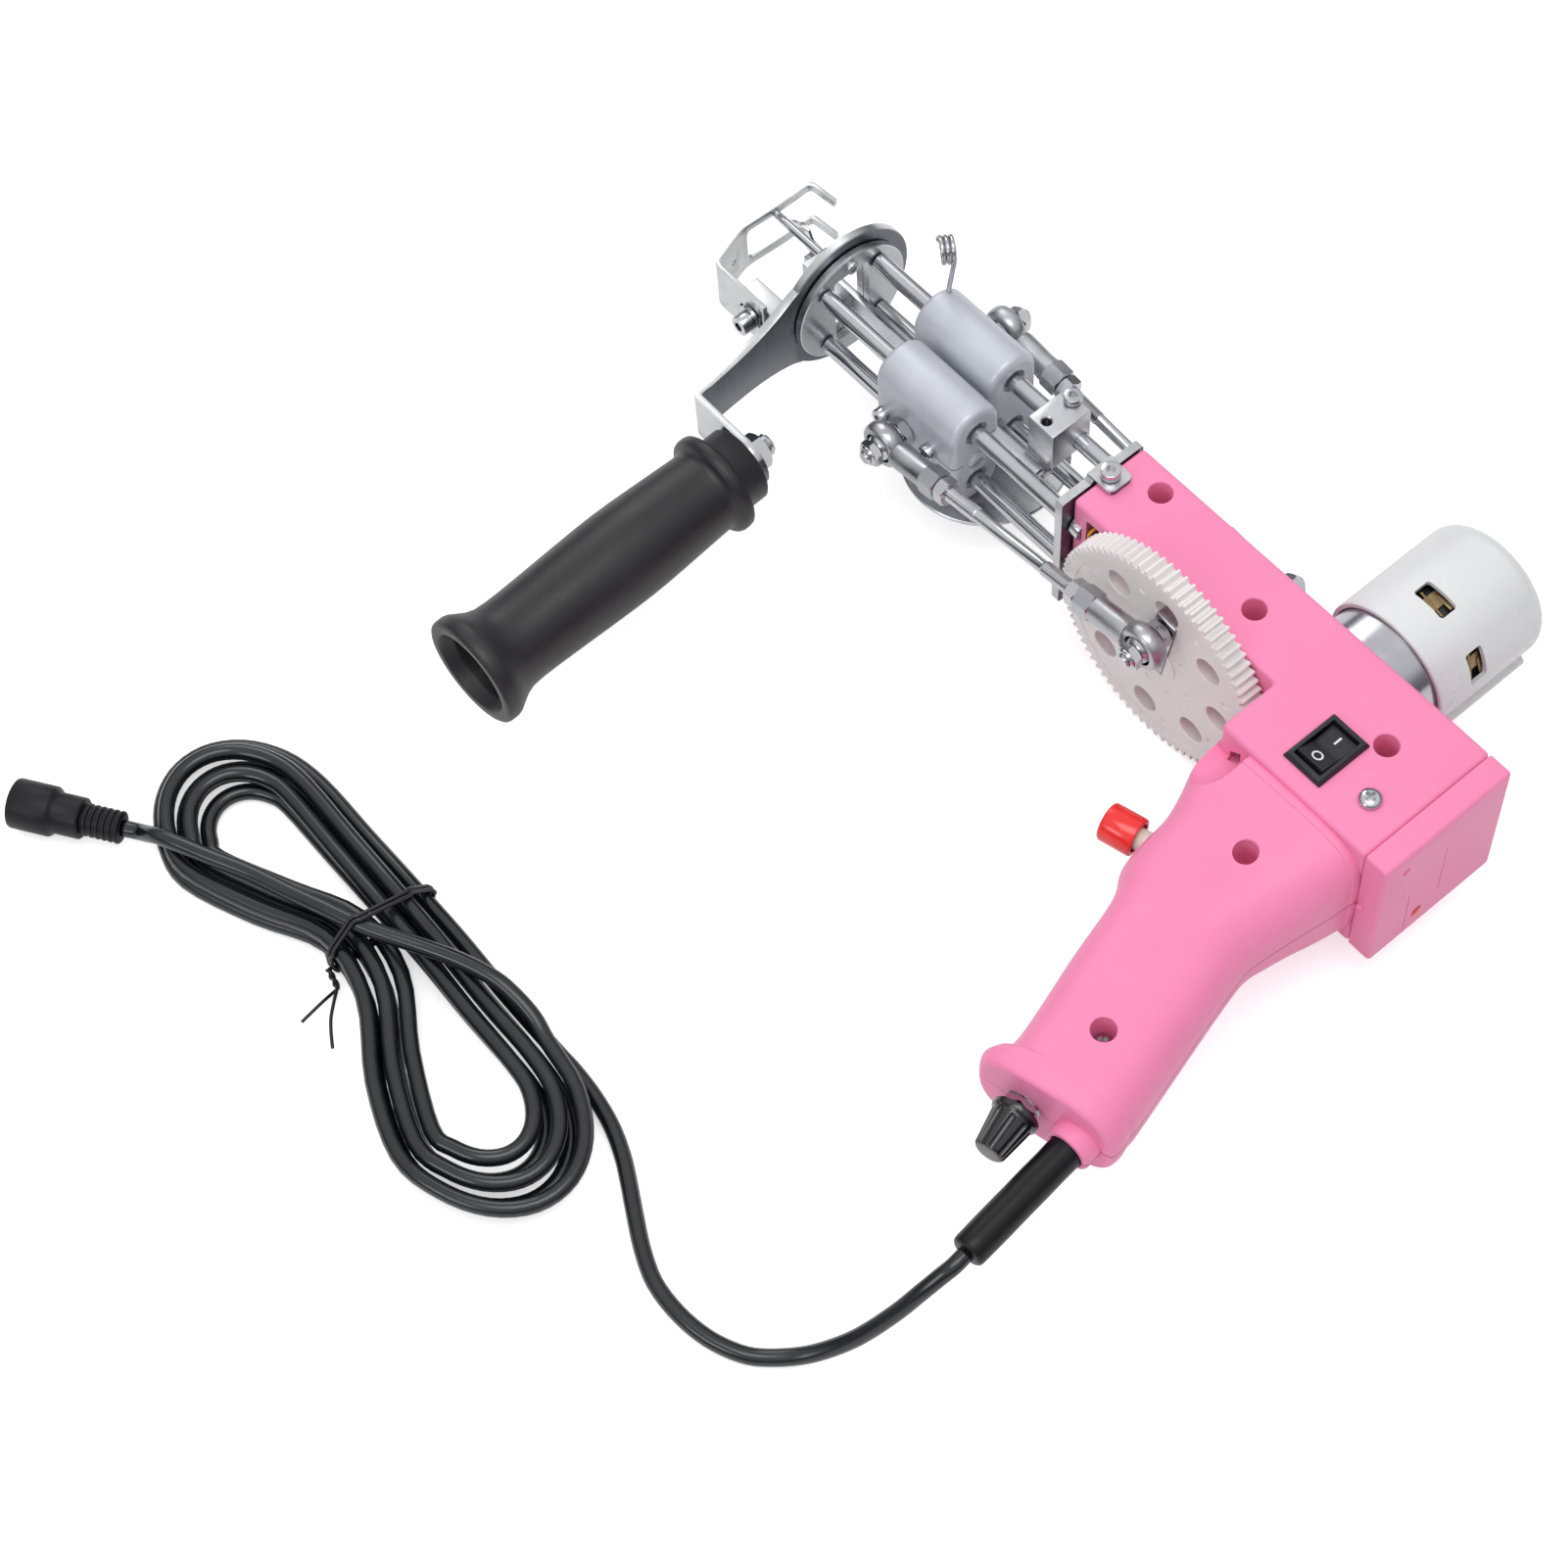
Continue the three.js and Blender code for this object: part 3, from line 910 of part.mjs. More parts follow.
// The bolt on a carriage: a buried thread, a hexagon spacer, the plain shank in the eye and a lock nut
function carriageBolt(x, face, plane) {
  const side = Math.sign(plane - face);
  const start = [x, face, 0];
  const direction = [0, side, 0];
  const reach = Math.abs(plane - face);
  const eyeNear = reach - rodEnd.ballWidth / 2 - seat;
  const eyeFar = reach + rodEnd.ballWidth / 2 + seat;
  return joined(
    turned(pinProfile(pivotBolt.radius, -pivotSpacer.buried, eyeFar + pivotBolt.lockNutWidth + pivotBolt.tail),
      start, direction, facets.small),
    hexAlong(pivotSpacer.across, seat, eyeNear, start, direction),
    hexAlong(pivotBolt.nutAcross, eyeFar, eyeFar + pivotBolt.lockNutWidth, start, direction));
}
add('needle_carriage_bolt', carriageBolt(needleRod.frontX, needleFace, needleRod.plane), 'steel');
add('cutter_carriage_bolt', carriageBolt(cutterRod.frontX, cutterFace, cutterRod.plane), 'steel');

// The bolt at a crank: a nut next to the crank, the plain shank in the eye and a lock nut
function crankBolt(x, z, face, plane) {
  const side = Math.sign(plane - face);
  const start = [x, face, z];
  const direction = [0, side, 0];
  const reach = Math.abs(plane - face);
  const eyeNear = reach - rodEnd.ballWidth / 2 - seat;
  const eyeFar = reach + rodEnd.ballWidth / 2 + seat;
  return joined(
    turned(pinProfile(pivotBolt.radius, pivotBolt.crankGap, eyeFar + pivotBolt.lockNutWidth + pivotBolt.tail),
      start, direction, facets.small),
    hexAlong(pivotBolt.nutAcross, pivotBolt.crankGap, eyeNear, start, direction),
    hexAlong(pivotBolt.nutAcross, eyeFar, eyeFar + pivotBolt.lockNutWidth, start, direction));
}
const [needlePinX, needlePinZ] = polar(needleCrank.radius, needleCrank.degrees);
add('needle_crank_bolt', crankBolt(needlePinX, needlePinZ, gear.far, needleRod.plane), 'steel');
add('cutter_crank_bolt', crankBolt(cutterPinX, cutterPinZ, cutterCrank.armNear, cutterRod.plane), 'steel');

// Connecting rods, built along X from the crank eye and turned to reach the carriage eye
function rodEndSolid() {
  const halfHead = rodEnd.headWidth / 2;
  const halfBall = rodEnd.ballWidth / 2;
  const neck = rodEnd.headRadius - housing.bevel;
  const head = turned([
    [0, -halfBall], [rodEnd.ballFaceRadius, -halfBall], [rodEnd.ballFaceRadius, -halfHead], [neck, -halfHead],
    [rodEnd.headRadius, 0], [neck, halfHead], [rodEnd.ballFaceRadius, halfHead],
    [rodEnd.ballFaceRadius, halfBall], [0, halfBall],
  ], [0, 0, 0], alongY, facets.rodEnd);
  return cut(
    joined(head,
      rodX(rodEnd.shankRadius, [rodEnd.shankFrom, rodEnd.hexFrom + seat], 0, 0),
      hexAlong(rodEnd.hexAcross, rodEnd.hexFrom, rodEnd.length, [0, 0, 0], alongX)),
    rodY(rodEnd.boreRadius, [-rodEnd.ballWidth, rodEnd.ballWidth], 0, 0, facets.hole),
    rodX(stud.radius + seat, [rodEnd.length - rodEnd.studHole, rodEnd.length + overrun], 0, 0, facets.hole));
}

function studSolid(length) {
  const from = rodEnd.length - stud.inside;
  const to = length - from;
  const shank = turned([
    [0, from], [stud.radius, from], [stud.radius, rodEnd.length + stud.thread],
    [stud.waistRadius, rodEnd.length + stud.thread], [stud.waistRadius, length - rodEnd.length - stud.thread],
    [stud.radius, length - rodEnd.length - stud.thread], [stud.radius, to], [0, to],
  ], [0, 0, 0], alongX, facets.hole);
  const nutFrom = rodEnd.length + seat;
  return joined(shank,
    hexAlong(stud.nutAcross, nutFrom, nutFrom + stud.nutWidth, [0, 0, 0], alongX),
    hexAlong(stud.nutAcross, length - nutFrom - stud.nutWidth, length - nutFrom, [0, 0, 0], alongX));
}

function connectingRod(name, pinX, pinZ, frontX, plane) {
  const length = Math.hypot(frontX - pinX, pinZ);
  const group = new THREE.Group();
  group.position.set(pinX, plane, pinZ);
  group.rotation.y = Math.atan2(pinZ, frontX - pinX);
  tool.add(group);
  add(`${name}_stud`, studSolid(length), 'steel', group);
  add(`${name}_rear_end`, rodEndSolid(), 'zinc', group);
  const frontGroup = new THREE.Group();
  frontGroup.position.x = length;
  frontGroup.rotation.z = Math.PI;
  group.add(frontGroup);
  add(`${name}_front_end`, rodEndSolid(), 'zinc', frontGroup);
}
connectingRod('needle_rod', needlePinX, needlePinZ, needleRod.frontX, needleRod.plane);
connectingRod('cutter_rod', cutterPinX, cutterPinZ, cutterRod.frontX, cutterRod.plane);

// Stop block on the upper rod of the motor side
add('stop_block', cut(
  block([stopBlock.rear, stopBlock.front], [stopBlock.low, stopBlock.high], [stopBlock.bottom, stopBlock.top]),
  rodX(rods.radius + seat, [stopBlock.rear - overrun, stopBlock.front + overrun], rods.near, rods.height),
  block([stopBlock.rear - overrun, stopBlock.front + overrun], around(rods.near, stopBlock.slit),
    [stopBlock.bottom - overrun, rods.height]),
  rodZ(stopBlock.holeRadius, [rods.height, stopBlock.top + overrun], stopBlock.holeX, stopBlock.holeY, facets.hole)),
'aluminium');
add('stop_block_screw', socketScrew({
  headRadius: stopBlock.headRadius, headHeight: stopBlock.headHeight, shankRadius: stopBlock.shankRadius,
  socketRadius: tabScrew.socketRadius, socketDepth: tabScrew.socketDepth,
}, [stopBlock.screwX, stopBlock.screwY, stopBlock.top + seat], alongZ, 0), 'steel');

// Round plate under the carriages
const plateTop = -rods.height - carriage.radius - seat;
add('round_plate', turned([
  [0, 0], [roundPlate.radius - roundPlate.chamfer, 0], [roundPlate.radius, roundPlate.chamfer],
  [roundPlate.radius, roundPlate.thickness - roundPlate.chamfer],
  [roundPlate.radius - roundPlate.chamfer, roundPlate.thickness], [0, roundPlate.thickness],
], [roundPlate.x, roundPlate.y, plateTop], [0, 0, -1], facets.medium), 'zinc');

// Front plates
const windowCut = (span) => block(span, [frontPlate.windowLow, frontPlate.windowHigh],
  [-frontPlate.windowHalf, frontPlate.windowHalf]);
const innerFront = frontPlate.rear + frontPlate.thickness;
add('front_inner_plate', cut(joined(
  rodX(frontPlate.radius, [frontPlate.rear, innerFront], frontPlate.y, 0, facets.large),
  rodX(plateScrew.headRadius, [frontPlate.rear - plateScrew.headHeight, frontPlate.rear + seat],
    plateScrew.y, plateScrew.z, facets.hole)),
windowCut([frontPlate.rear - overrun, innerFront + overrun])), 'zinc');

const outerRear = innerFront + seat;
const outerFront = outerRear + arm.thickness;
const [leaveRise, leaveZ] = polar(arm.radius, arm.leaveDegrees);
const leaveY = frontPlate.y + leaveRise;
const bendTop = arm.bend + arm.tabThickness;
const leanFrom = frontPlate.y + frontPlate.radius + 2 * seat;
const armRing = (y, halfWidth) => {
  const drop = arm.lean * Math.max(y - leanFrom, 0) / (bendTop - leanFrom);
  const [rear, front] = [outerRear - drop, outerFront - drop];
  return [[rear, -halfWidth], [rear, halfWidth], [front, halfWidth], [front, -halfWidth]]
    .map(([x, z]) => new THREE.Vector3(x, y, z));
};
const armBody = solidFrom(skinned([
  armRing(frontPlate.y + leaveRise / 2, leaveZ),
  ...Array.from({ length: arm.steps + 1 }, (_, i) => {
    const share = i / arm.steps;
    const halfWidth = arm.halfWidth + (leaveZ - arm.halfWidth) * (1 - share) ** 3;
    return armRing(leaveY + (bendTop - leaveY) * share, halfWidth);
  }),
]));
const bendFront = outerFront - arm.lean;
const tabOutline = [
  [bendFront, -arm.halfWidth], [bendFront, arm.halfWidth],
  ...arc(gripStud.x, 0, arm.halfWidth, 90, 270, facets.hole),
];
add('handle_bracket', cut(
  joined(
    rodX(arm.radius, [outerRear, outerFront], frontPlate.y, 0, facets.large),
    armBody,
    slab('y', tabOutline, [arm.bend, bendTop])),
  windowCut([outerRear - overrun, outerFront + overrun]),
  rodY(arm.studHoleRadius, [arm.bend - overrun, bendTop + overrun], gripStud.x, 0, facets.hole)), 'zinc');

// Auxiliary handle
const gripAxis = new THREE.Vector3(grip.lean, 1, 0).normalize().toArray();
const studFrom = gripStud.low - grip.start;
add('grip_stud', joined(
  rodY(gripStud.radius, [gripStud.low, grip.start + gripStud.into], gripStud.x, 0),
  hexAlong(gripStud.nutAcross, gripStud.nutLow, arm.bend - seat, [gripStud.x, 0, 0], alongY)), 'steel');
add('front_grip', cut(turned([
  [0, 0], [grip.neckRadius, 0], [grip.neckRadius, grip.neckLength],
  [grip.ringRadius, grip.ringFrom + housing.bevel], [grip.ringRadius, grip.ringTo - housing.bevel],
  [grip.bodyRadius, grip.ringTo + housing.bevel],
  [grip.bellyRadius, grip.bellyAt], [grip.waistRadius, grip.waistAt], [grip.bodyRadius + seat, grip.flareFrom],
  [grip.flareRadius, grip.flareLip],
  [grip.flareRadius, grip.length - housing.bevel], [grip.flareRadius - housing.bevel, grip.length],
  [grip.mouthRadius, grip.length], [grip.boreRadius, grip.length - grip.mouthDepth],
  [grip.boreRadius, grip.boreFloor], [0, grip.boreFloor],
], [gripStud.x, grip.start, 0], gripAxis, facets.medium),
rodY(gripStud.radius + 3 * seat, [grip.start + studFrom, grip.start + gripStud.into + seat], gripStud.x, 0,
  facets.hole)), 'black');

// Presser foot, its mount and screw
const footShape = slab('z', stripOutline(foot.points, foot.thickness), [-foot.halfWidth, foot.halfWidth]);
const footFront = Math.max(...foot.points.map(([x]) => x));
const legTop = foot.points[0][1] + foot.thickness / 2;
add('presser_foot', cut(footShape,
  block([foot.slotFront + overrun, footFront + 2 * overrun], [foot.points[5][1] - 2 * overrun, foot.forkTop],
    [-foot.forkHalf, foot.forkHalf]),
  block([foot.slotRear, foot.slotFront], [foot.points[1][1] - 2 * overrun, legTop + overrun],
    [-foot.slotHalf, foot.slotHalf])), 'zinc');
const footScrewFloor = footMount.high - footScrew.length - seat;
add('foot_mount', cut(
  block([outerFront + seat, footMount.front], [footMount.low, footMount.high],
    [-footMount.halfWidth, footMount.halfWidth]),
  rodY(footScrew.shankRadius + seat, [footScrewFloor, footMount.high + overrun], footMount.holeX, 0, facets.hole)),
'aluminium');
add('foot_screw', cut(turned([
  [0, footMount.high - footScrew.length], [footScrew.shankRadius, footMount.high - footScrew.length],
  [footScrew.shankRadius, legTop + seat], [footScrew.washerRadius, legTop + seat],
  [footScrew.washerRadius, legTop + seat + footScrew.washer], [footScrew.headRadius, legTop + seat + footScrew.washer],
  [footScrew.headRadius, legTop + seat + footScrew.washer + footScrew.headHeight],
  [0, legTop + seat + footScrew.washer + footScrew.headHeight],
], [footMount.holeX, 0, 0], alongY, facets.small),
hexAlong(footScrew.socketRadius * 2, legTop + footScrew.washer + footScrew.headHeight / 2,
  legTop + 2 * footScrew.headHeight + overrun, [footMount.holeX, 0, 0], alongY)), 'steel');

// Needle and its bar
const needleHole = rodX(needle.radius + seat, [needleBar.front - needle.buried - seat, needleBar.front + overrun],
  needle.y, needle.z, facets.hole);
add('needle_bar', cut(joined(
  block([needleBar.rear, needleBar.front], [needleBar.low, needleBar.high], [needleBar.bottom, needleBar.top]),
  block([needleBar.blockRear, needleBar.front], [needleBar.blockLow, needleBar.high],
    [needleBar.blockBottom, needleBar.top])), needleHole), 'steel');
const needleTube = rodX(needle.radius, [needleBar.front - needle.buried, needle.tip], needle.y, needle.z, facets.small);
const needleBevel = slab('y', [
  [needle.tip - needle.bevel, needle.z - needle.radius - overrun / 2],
  [needle.tip + overrun, needle.z - needle.radius - overrun / 2],
  [needle.tip + overrun, needle.z + needle.radius], [needle.tip - seat, needle.z + needle.radius],
  [needle.tip - needle.bevel, needle.z - needle.radius],
], [needle.y - 2 * needle.radius, needle.y + 2 * needle.radius]);
add('needle', cut(needleTube, needleBevel,
  rodX(needle.boreRadius, [needle.tip - 2 * needle.bevel, needle.tip + overrun], needle.y, needle.z, facets.wire)),
'steel');

// Cutter bar with the pin that carries the moving blade, and the two blades
const fixedSpan = [cutterBar.low - blades.gap - blades.thickness, cutterBar.low - blades.gap];
const movingSpan = [fixedSpan[0] - blades.gap - blades.thickness, fixedSpan[0] - blades.gap];
add('cutter_bar', joined(
  block([cutterBar.rear, cutterBar.front], [cutterBar.low, cutterBar.high], [cutterBar.bottom, cutterBar.top]),
  rodY(blades.pinRadius, [movingSpan[0] - blades.gap - blades.pinHead, cutterBar.low + seat],
    blades.pivotX, blades.pivotZ, facets.hole),
  rodY(blades.pinHeadRadius, [movingSpan[0] - blades.gap - blades.pinHead, movingSpan[0] - blades.gap],
    blades.pivotX, blades.pivotZ, facets.hole)), 'steel');
const pinHole = rodY(blades.pinRadius + seat, [movingSpan[0] - overrun, cutterBar.low], blades.pivotX, blades.pivotZ,
  facets.hole);
add('fixed_blade', cut(slab('y', blades.fixed, fixedSpan), pinHole), 'steel');
add('moving_blade', cut(slab('y', blades.moving, movingSpan), pinHole), 'steel');

// Yarn eyelet: one wire, its stem in the cutter carriage and its coil above
const eyeletFoot = rods.height + carriage.radius - eyelet.holeDepth + seat;
const coilAxis = new THREE.Vector3(1, 0, 0).applyAxisAngle(
  new THREE.Vector3(...alongZ), THREE.MathUtils.degToRad(eyelet.coilTurn));
const coilSide = coilAxis.clone().cross(new THREE.Vector3(...alongZ));
const stemAt = (z, lean) => new THREE.Vector3(eyelet.x, eyelet.y, z).addScaledVector(coilAxis, -lean);
const coilLine = [
  stemAt(eyeletFoot, 0), stemAt(rods.height + carriage.radius + eyelet.wireRadius, 0),
  stemAt(eyelet.stemTop, eyelet.lean),
  ...Array.from({ length: Math.round(eyelet.loops * eyelet.steps) + 1 }, (_, i) => {
    const turn = i / eyelet.steps;
    const angle = 2 * Math.PI * turn;
    return stemAt(eyelet.coilZ + eyelet.coilRadius * Math.sin(angle), eyelet.lean - eyelet.pitch * turn)
      .addScaledVector(coilSide, eyelet.coilRadius * (1 - Math.cos(angle)));
  }),
];
add('yarn_eyelet', woundTube(coilLine, eyelet.wireRadius, facets.curl, coilAxis.toArray()), 'steel');

// Jumper wire: both ends stand square on the inner face of the motor side wall
const jumperRoute = jumper.route.map(([x, y, z], i) => (
  [x, i === 0 || i === jumper.route.length - 1 ? housing.wall + seat : y, z]));
add('jumper_wire', curvedTube(jumperRoute, jumper.radius, facets.curl, jumper.steps), 'yellow');

// Cord lead from the sleeve to the hank
add('cord_lead', curvedTube(leadRoute, cord.radius, facets.wire, cord.leadSteps), 'cordSkin');

// Hank: flat loops in two layers, spiralling in below and out above, drawn in at the waist
const layerLow = hankStart[0][2];
const ease = (t) => (1 - Math.cos(Math.PI * t)) / 2;
const easeSlope = (t) => Math.PI / 2 * Math.sin(Math.PI * t);

// A run's place across the hank, its inset widened where the run slants so the strands stay a pitch apart
function runY(x, side, inset) {
  const rightSide = x < hank.waistX;
  const from = rightSide ? hank.rightX : hank.leftX;
  const spread = (rightSide ? hank.rightRadius : hank.leftRadius) - hank.waistHalf;
  const shift = (rightSide ? hank.rightY : hank.leftY) - hank.waistY;
  const share = (x - hank.waistX) / (from - hank.waistX);
  const slope = easeSlope(share) * (shift + side * spread) / (from - hank.waistX);
  const middle = hank.waistY + shift * ease(share);
  return middle + side * (hank.waistHalf + spread * ease(share) - inset * Math.hypot(1, slope));
}
const reversal = hank.loops / 2 + hank.runSteps / hank.steps / 2;
function hankPoint(turn) {
  const step = (turn - Math.floor(turn)) * hank.steps;
  const inset = hank.pitch * (reversal - Math.abs(turn - reversal));
  const run = hank.runSteps;
  const fold = hank.foldSteps;
  let x;
  let y;
  if (step < run || (step >= run + fold && step < 2 * run + fold)) {
    const lowSide = step < run;
    const along = lowSide ? step / run : 1 - (step - run - fold) / run;
    x = hank.rightX + (hank.leftX - hank.rightX) * along;
    y = runY(x, lowSide ? -1 : 1, inset);
  } else {
    const leftFold = step < run + fold;
    const along = leftFold ? (step - run) / fold : (step - 2 * run - fold) / fold;
    const angle = leftFold ? -Math.PI / 2 + Math.PI * along : Math.PI / 2 + Math.PI * along;
    const reach = (leftFold ? hank.leftReach : hank.rightReach) - hank.foldDraw * inset;
    x = (leftFold ? hank.leftX : hank.rightX) + reach * Math.cos(angle);
    y = (leftFold ? hank.leftY : hank.rightY)
      + ((leftFold ? hank.leftRadius : hank.rightRadius) - inset) * Math.sin(angle);
  }
  const climbFrom = hank.loops / 2;
  const climbTurns = hank.runSteps / hank.steps;
  const climbed = ease(Math.min(Math.max((turn - climbFrom) / climbTurns, 0), 1));
  const near = Math.max(1 - Math.abs(x - hank.waistX) / hank.waistReach, 0);
  return new THREE.Vector3(x, y, layerLow + hank.climb * climbed + hank.waistLift * ease(near));
}
const loopLine = Array.from({ length: hank.loops * hank.steps + 1 }, (_, i) => hankPoint(i / hank.steps));
const hankLine = [
  ...hankStart.map((p) => new THREE.Vector3(...p)), ...loopLine, ...hankTail.map((p) => new THREE.Vector3(...p)),
];
add('cord_hank', woundTube(hankLine, cord.radius, facets.loop, alongZ, false, Math.PI / 2), 'cordSkin');

// The least gap of the hank's tube to itself, on points along its middle line
function leastGap(line, radius) {
  const fine = [];
  let run = 0;
  line.forEach((point, i) => {
    if (i === 0) return;
    const from = line[i - 1];
    const length = point.distanceTo(from);
    const parts = Math.ceil(length / radius);
    for (let k = 0; k < parts; k += 1) fine.push([from.clone().lerp(point, k / parts), run + length * k / parts]);
    run += length;
  });
  let least = Infinity;
  fine.forEach(([a, sa], i) => {
    for (let k = i + 1; k < fine.length; k += 1) {
      const [b, sb] = fine[k];
      if (sb - sa > 8 * radius) least = Math.min(least, a.distanceTo(b) - 2 * radius);
    }
  });
  return { least, length: run };
}
const { least, length: hankLength } = leastGap(hankLine, cord.radius);
console.log(`hank: least gap ${least.toFixed(2)} mm, length ${hankLength.toFixed(0)} mm`);

// Tie round the waist: the outline that wraps the strands there, with a knot and two tails
function wrapOutline(centres, radius) {
  const cloud = centres.flatMap(([y, z]) => circle(y, z, radius, tie.hullSteps));
  cloud.sort((a, b) => a[0] - b[0] || a[1] - b[1]);
  const turnOf = (o, a, b) => (a[0] - o[0]) * (b[1] - o[1]) - (a[1] - o[1]) * (b[0] - o[0]);
  const half = (points) => points.reduce((hull, point) => {
    while (hull.length > 1 && turnOf(hull[hull.length - 2], hull[hull.length - 1], point) <= 0) hull.pop();
    hull.push(point);
    return hull;
  }, []);
  const lower = half(cloud);
  const upper = half([...cloud].reverse());
  return [...lower.slice(0, -1), ...upper.slice(0, -1)];
}
const strandCentres = [];
hankLine.forEach((point, i) => {
  if (i === 0) return;
  const from = hankLine[i - 1];
  if ((from.x - hank.waistX) * (point.x - hank.waistX) > 0) return;
  const at = from.clone().lerp(point, (hank.waistX - from.x) / (point.x - from.x));
  strandCentres.push([at.y, at.z]);
});
const wrapLine = wrapOutline(strandCentres, cord.radius + tie.gap + tie.radius)
  .map(([y, z]) => new THREE.Vector3(hank.waistX, y, z));
const knotSide = wrapLine.reduce((best, p) => (p.y > best.y ? p : best));
const knotPlace = [hank.waistX, knotSide.y + tie.knotRadius, knotSide.z];
const tieTails = tie.tails.map(([x, y, height]) => {
  const to = new THREE.Vector3(x, y, layerLow - cord.radius + tie.radius + height);
  const way = to.clone().sub(new THREE.Vector3(...knotPlace));
  return turned(pinProfile(tie.radius, 0, way.length()), knotPlace, way.toArray(), facets.curl);
});
add('cord_tie', joined(
  woundTube(wrapLine, tie.radius, facets.curl, alongX, true),
  turned([[0, -tie.knotRadius], [tie.knotRadius, -tie.knotRadius / 2], [tie.knotRadius, tie.knotRadius / 2],
    [0, tie.knotRadius]], knotPlace, alongX, facets.wire),
  ...tieTails), 'black');

// Barrel plug on the end of the cord
const plugZ = -(gear.module * gear.teeth / 2 + gear.module * gear.addendumShare) + plug.axisHeight;
const ribProfile = Array.from({ length: plug.ribs }, (_, i) => {
  const step = plug.sleeveLength / plug.ribs;
  const from = seat + i * step;
  return [
    [plug.sleeveRadius, from], [plug.sleeveRadius, from + step / 2],
    [plug.sleeveRadius - plug.ribDepth, from + step / 2], [plug.sleeveRadius - plug.ribDepth, from + step],
  ];
}).flat();
const neckEnd = plug.sleeveLength + plug.neckLength;
add('dc_plug', joined(cut(turned([
  [0, seat], ...ribProfile, [plug.neckRadius, plug.sleeveLength + seat], [plug.neckRadius, neckEnd],
  [plug.bodyRadius, neckEnd + housing.bevel], [plug.bodyRadius, plug.length - trigger.chamfer],
  [plug.bodyRadius - trigger.chamfer, plug.length], [0, plug.length],
], [...plug.start, plugZ], [...plug.direction, 0], facets.small),
turned(pinProfile(plug.mouthRadius, plug.length - plug.mouthDepth, plug.length + overrun),
  [...plug.start, plugZ], [...plug.direction, 0], facets.small)),
turned(pinProfile(plug.pinRadius, plug.length - plug.mouthDepth - seat, plug.length - overrun),
  [...plug.start, plugZ], [...plug.direction, 0], facets.wire)), 'black');

// Set the tool down with the middle of its underside at the origin
const cordPieces = ['strain_relief', 'cord_lead', 'cord_hank', 'cord_tie', 'dc_plug'];
tool.updateMatrixWorld(true);
const bounds = new THREE.Box3();
tool.traverse((piece) => {
  if (piece.isMesh && !cordPieces.includes(piece.name)) bounds.expandByObject(piece, true);
});
tool.position.set(
  -(bounds.min.x + bounds.max.x) / 2, -(bounds.min.y + bounds.max.y) / 2, -bounds.min.z);
const machine = new THREE.Group();
machine.add(tool);

export default machine;
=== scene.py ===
import math

import bpy
from mathutils import Matrix, Vector


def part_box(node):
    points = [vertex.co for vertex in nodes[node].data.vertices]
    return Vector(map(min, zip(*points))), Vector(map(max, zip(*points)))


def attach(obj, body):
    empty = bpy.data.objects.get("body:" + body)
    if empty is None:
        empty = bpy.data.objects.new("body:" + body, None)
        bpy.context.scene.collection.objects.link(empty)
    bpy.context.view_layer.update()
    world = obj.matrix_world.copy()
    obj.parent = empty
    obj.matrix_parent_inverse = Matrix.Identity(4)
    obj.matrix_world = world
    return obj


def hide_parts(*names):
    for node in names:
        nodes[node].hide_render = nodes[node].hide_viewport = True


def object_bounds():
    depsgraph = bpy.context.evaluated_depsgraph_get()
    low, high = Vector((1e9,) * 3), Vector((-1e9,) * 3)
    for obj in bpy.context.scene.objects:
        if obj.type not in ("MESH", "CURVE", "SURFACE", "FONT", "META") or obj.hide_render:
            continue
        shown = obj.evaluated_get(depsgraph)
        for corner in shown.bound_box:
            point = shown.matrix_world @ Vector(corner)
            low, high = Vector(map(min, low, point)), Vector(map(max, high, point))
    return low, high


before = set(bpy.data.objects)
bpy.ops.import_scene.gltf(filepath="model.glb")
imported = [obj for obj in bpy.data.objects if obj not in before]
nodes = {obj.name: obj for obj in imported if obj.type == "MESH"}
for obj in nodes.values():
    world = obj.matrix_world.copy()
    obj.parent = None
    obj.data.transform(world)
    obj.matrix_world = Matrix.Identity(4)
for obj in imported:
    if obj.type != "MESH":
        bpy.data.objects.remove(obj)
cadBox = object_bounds()
for name in ("Cube", "Light", "Camera"):  # what a new file starts with
    if name in bpy.data.objects:
        bpy.data.objects.remove(bpy.data.objects[name])
print("frame loaded,", len(nodes), "nodes")

# Pieces are modelled in millimetres round the crank shaft's axis, then brought into the frame
mm = 0.001
gearNear = 30  # the gear's near face stands this far from the motor side
gearLow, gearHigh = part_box("drive_gear")
toolOrigin = Vector((
    (gearLow.x + gearHigh.x) / 2, gearLow.y - gearNear * mm, (gearLow.z + gearHigh.z) / 2))
toFrame = Matrix.Translation(toolOrigin) @ Matrix.Scale(mm, 4)
xAxis = Vector((1, 0, 0))
yAxis = Vector((0, 1, 0))
zAxis = Vector((0, 0, 1))


# Camera at the photograph's angle
camera = {
    "place": (-383.103, 460.538, 906.754), "azimuth": -36.2507, "elevation": 59.8756,
    "roll": -4.7617, "lens": 80.919, "sensor": 36,
}


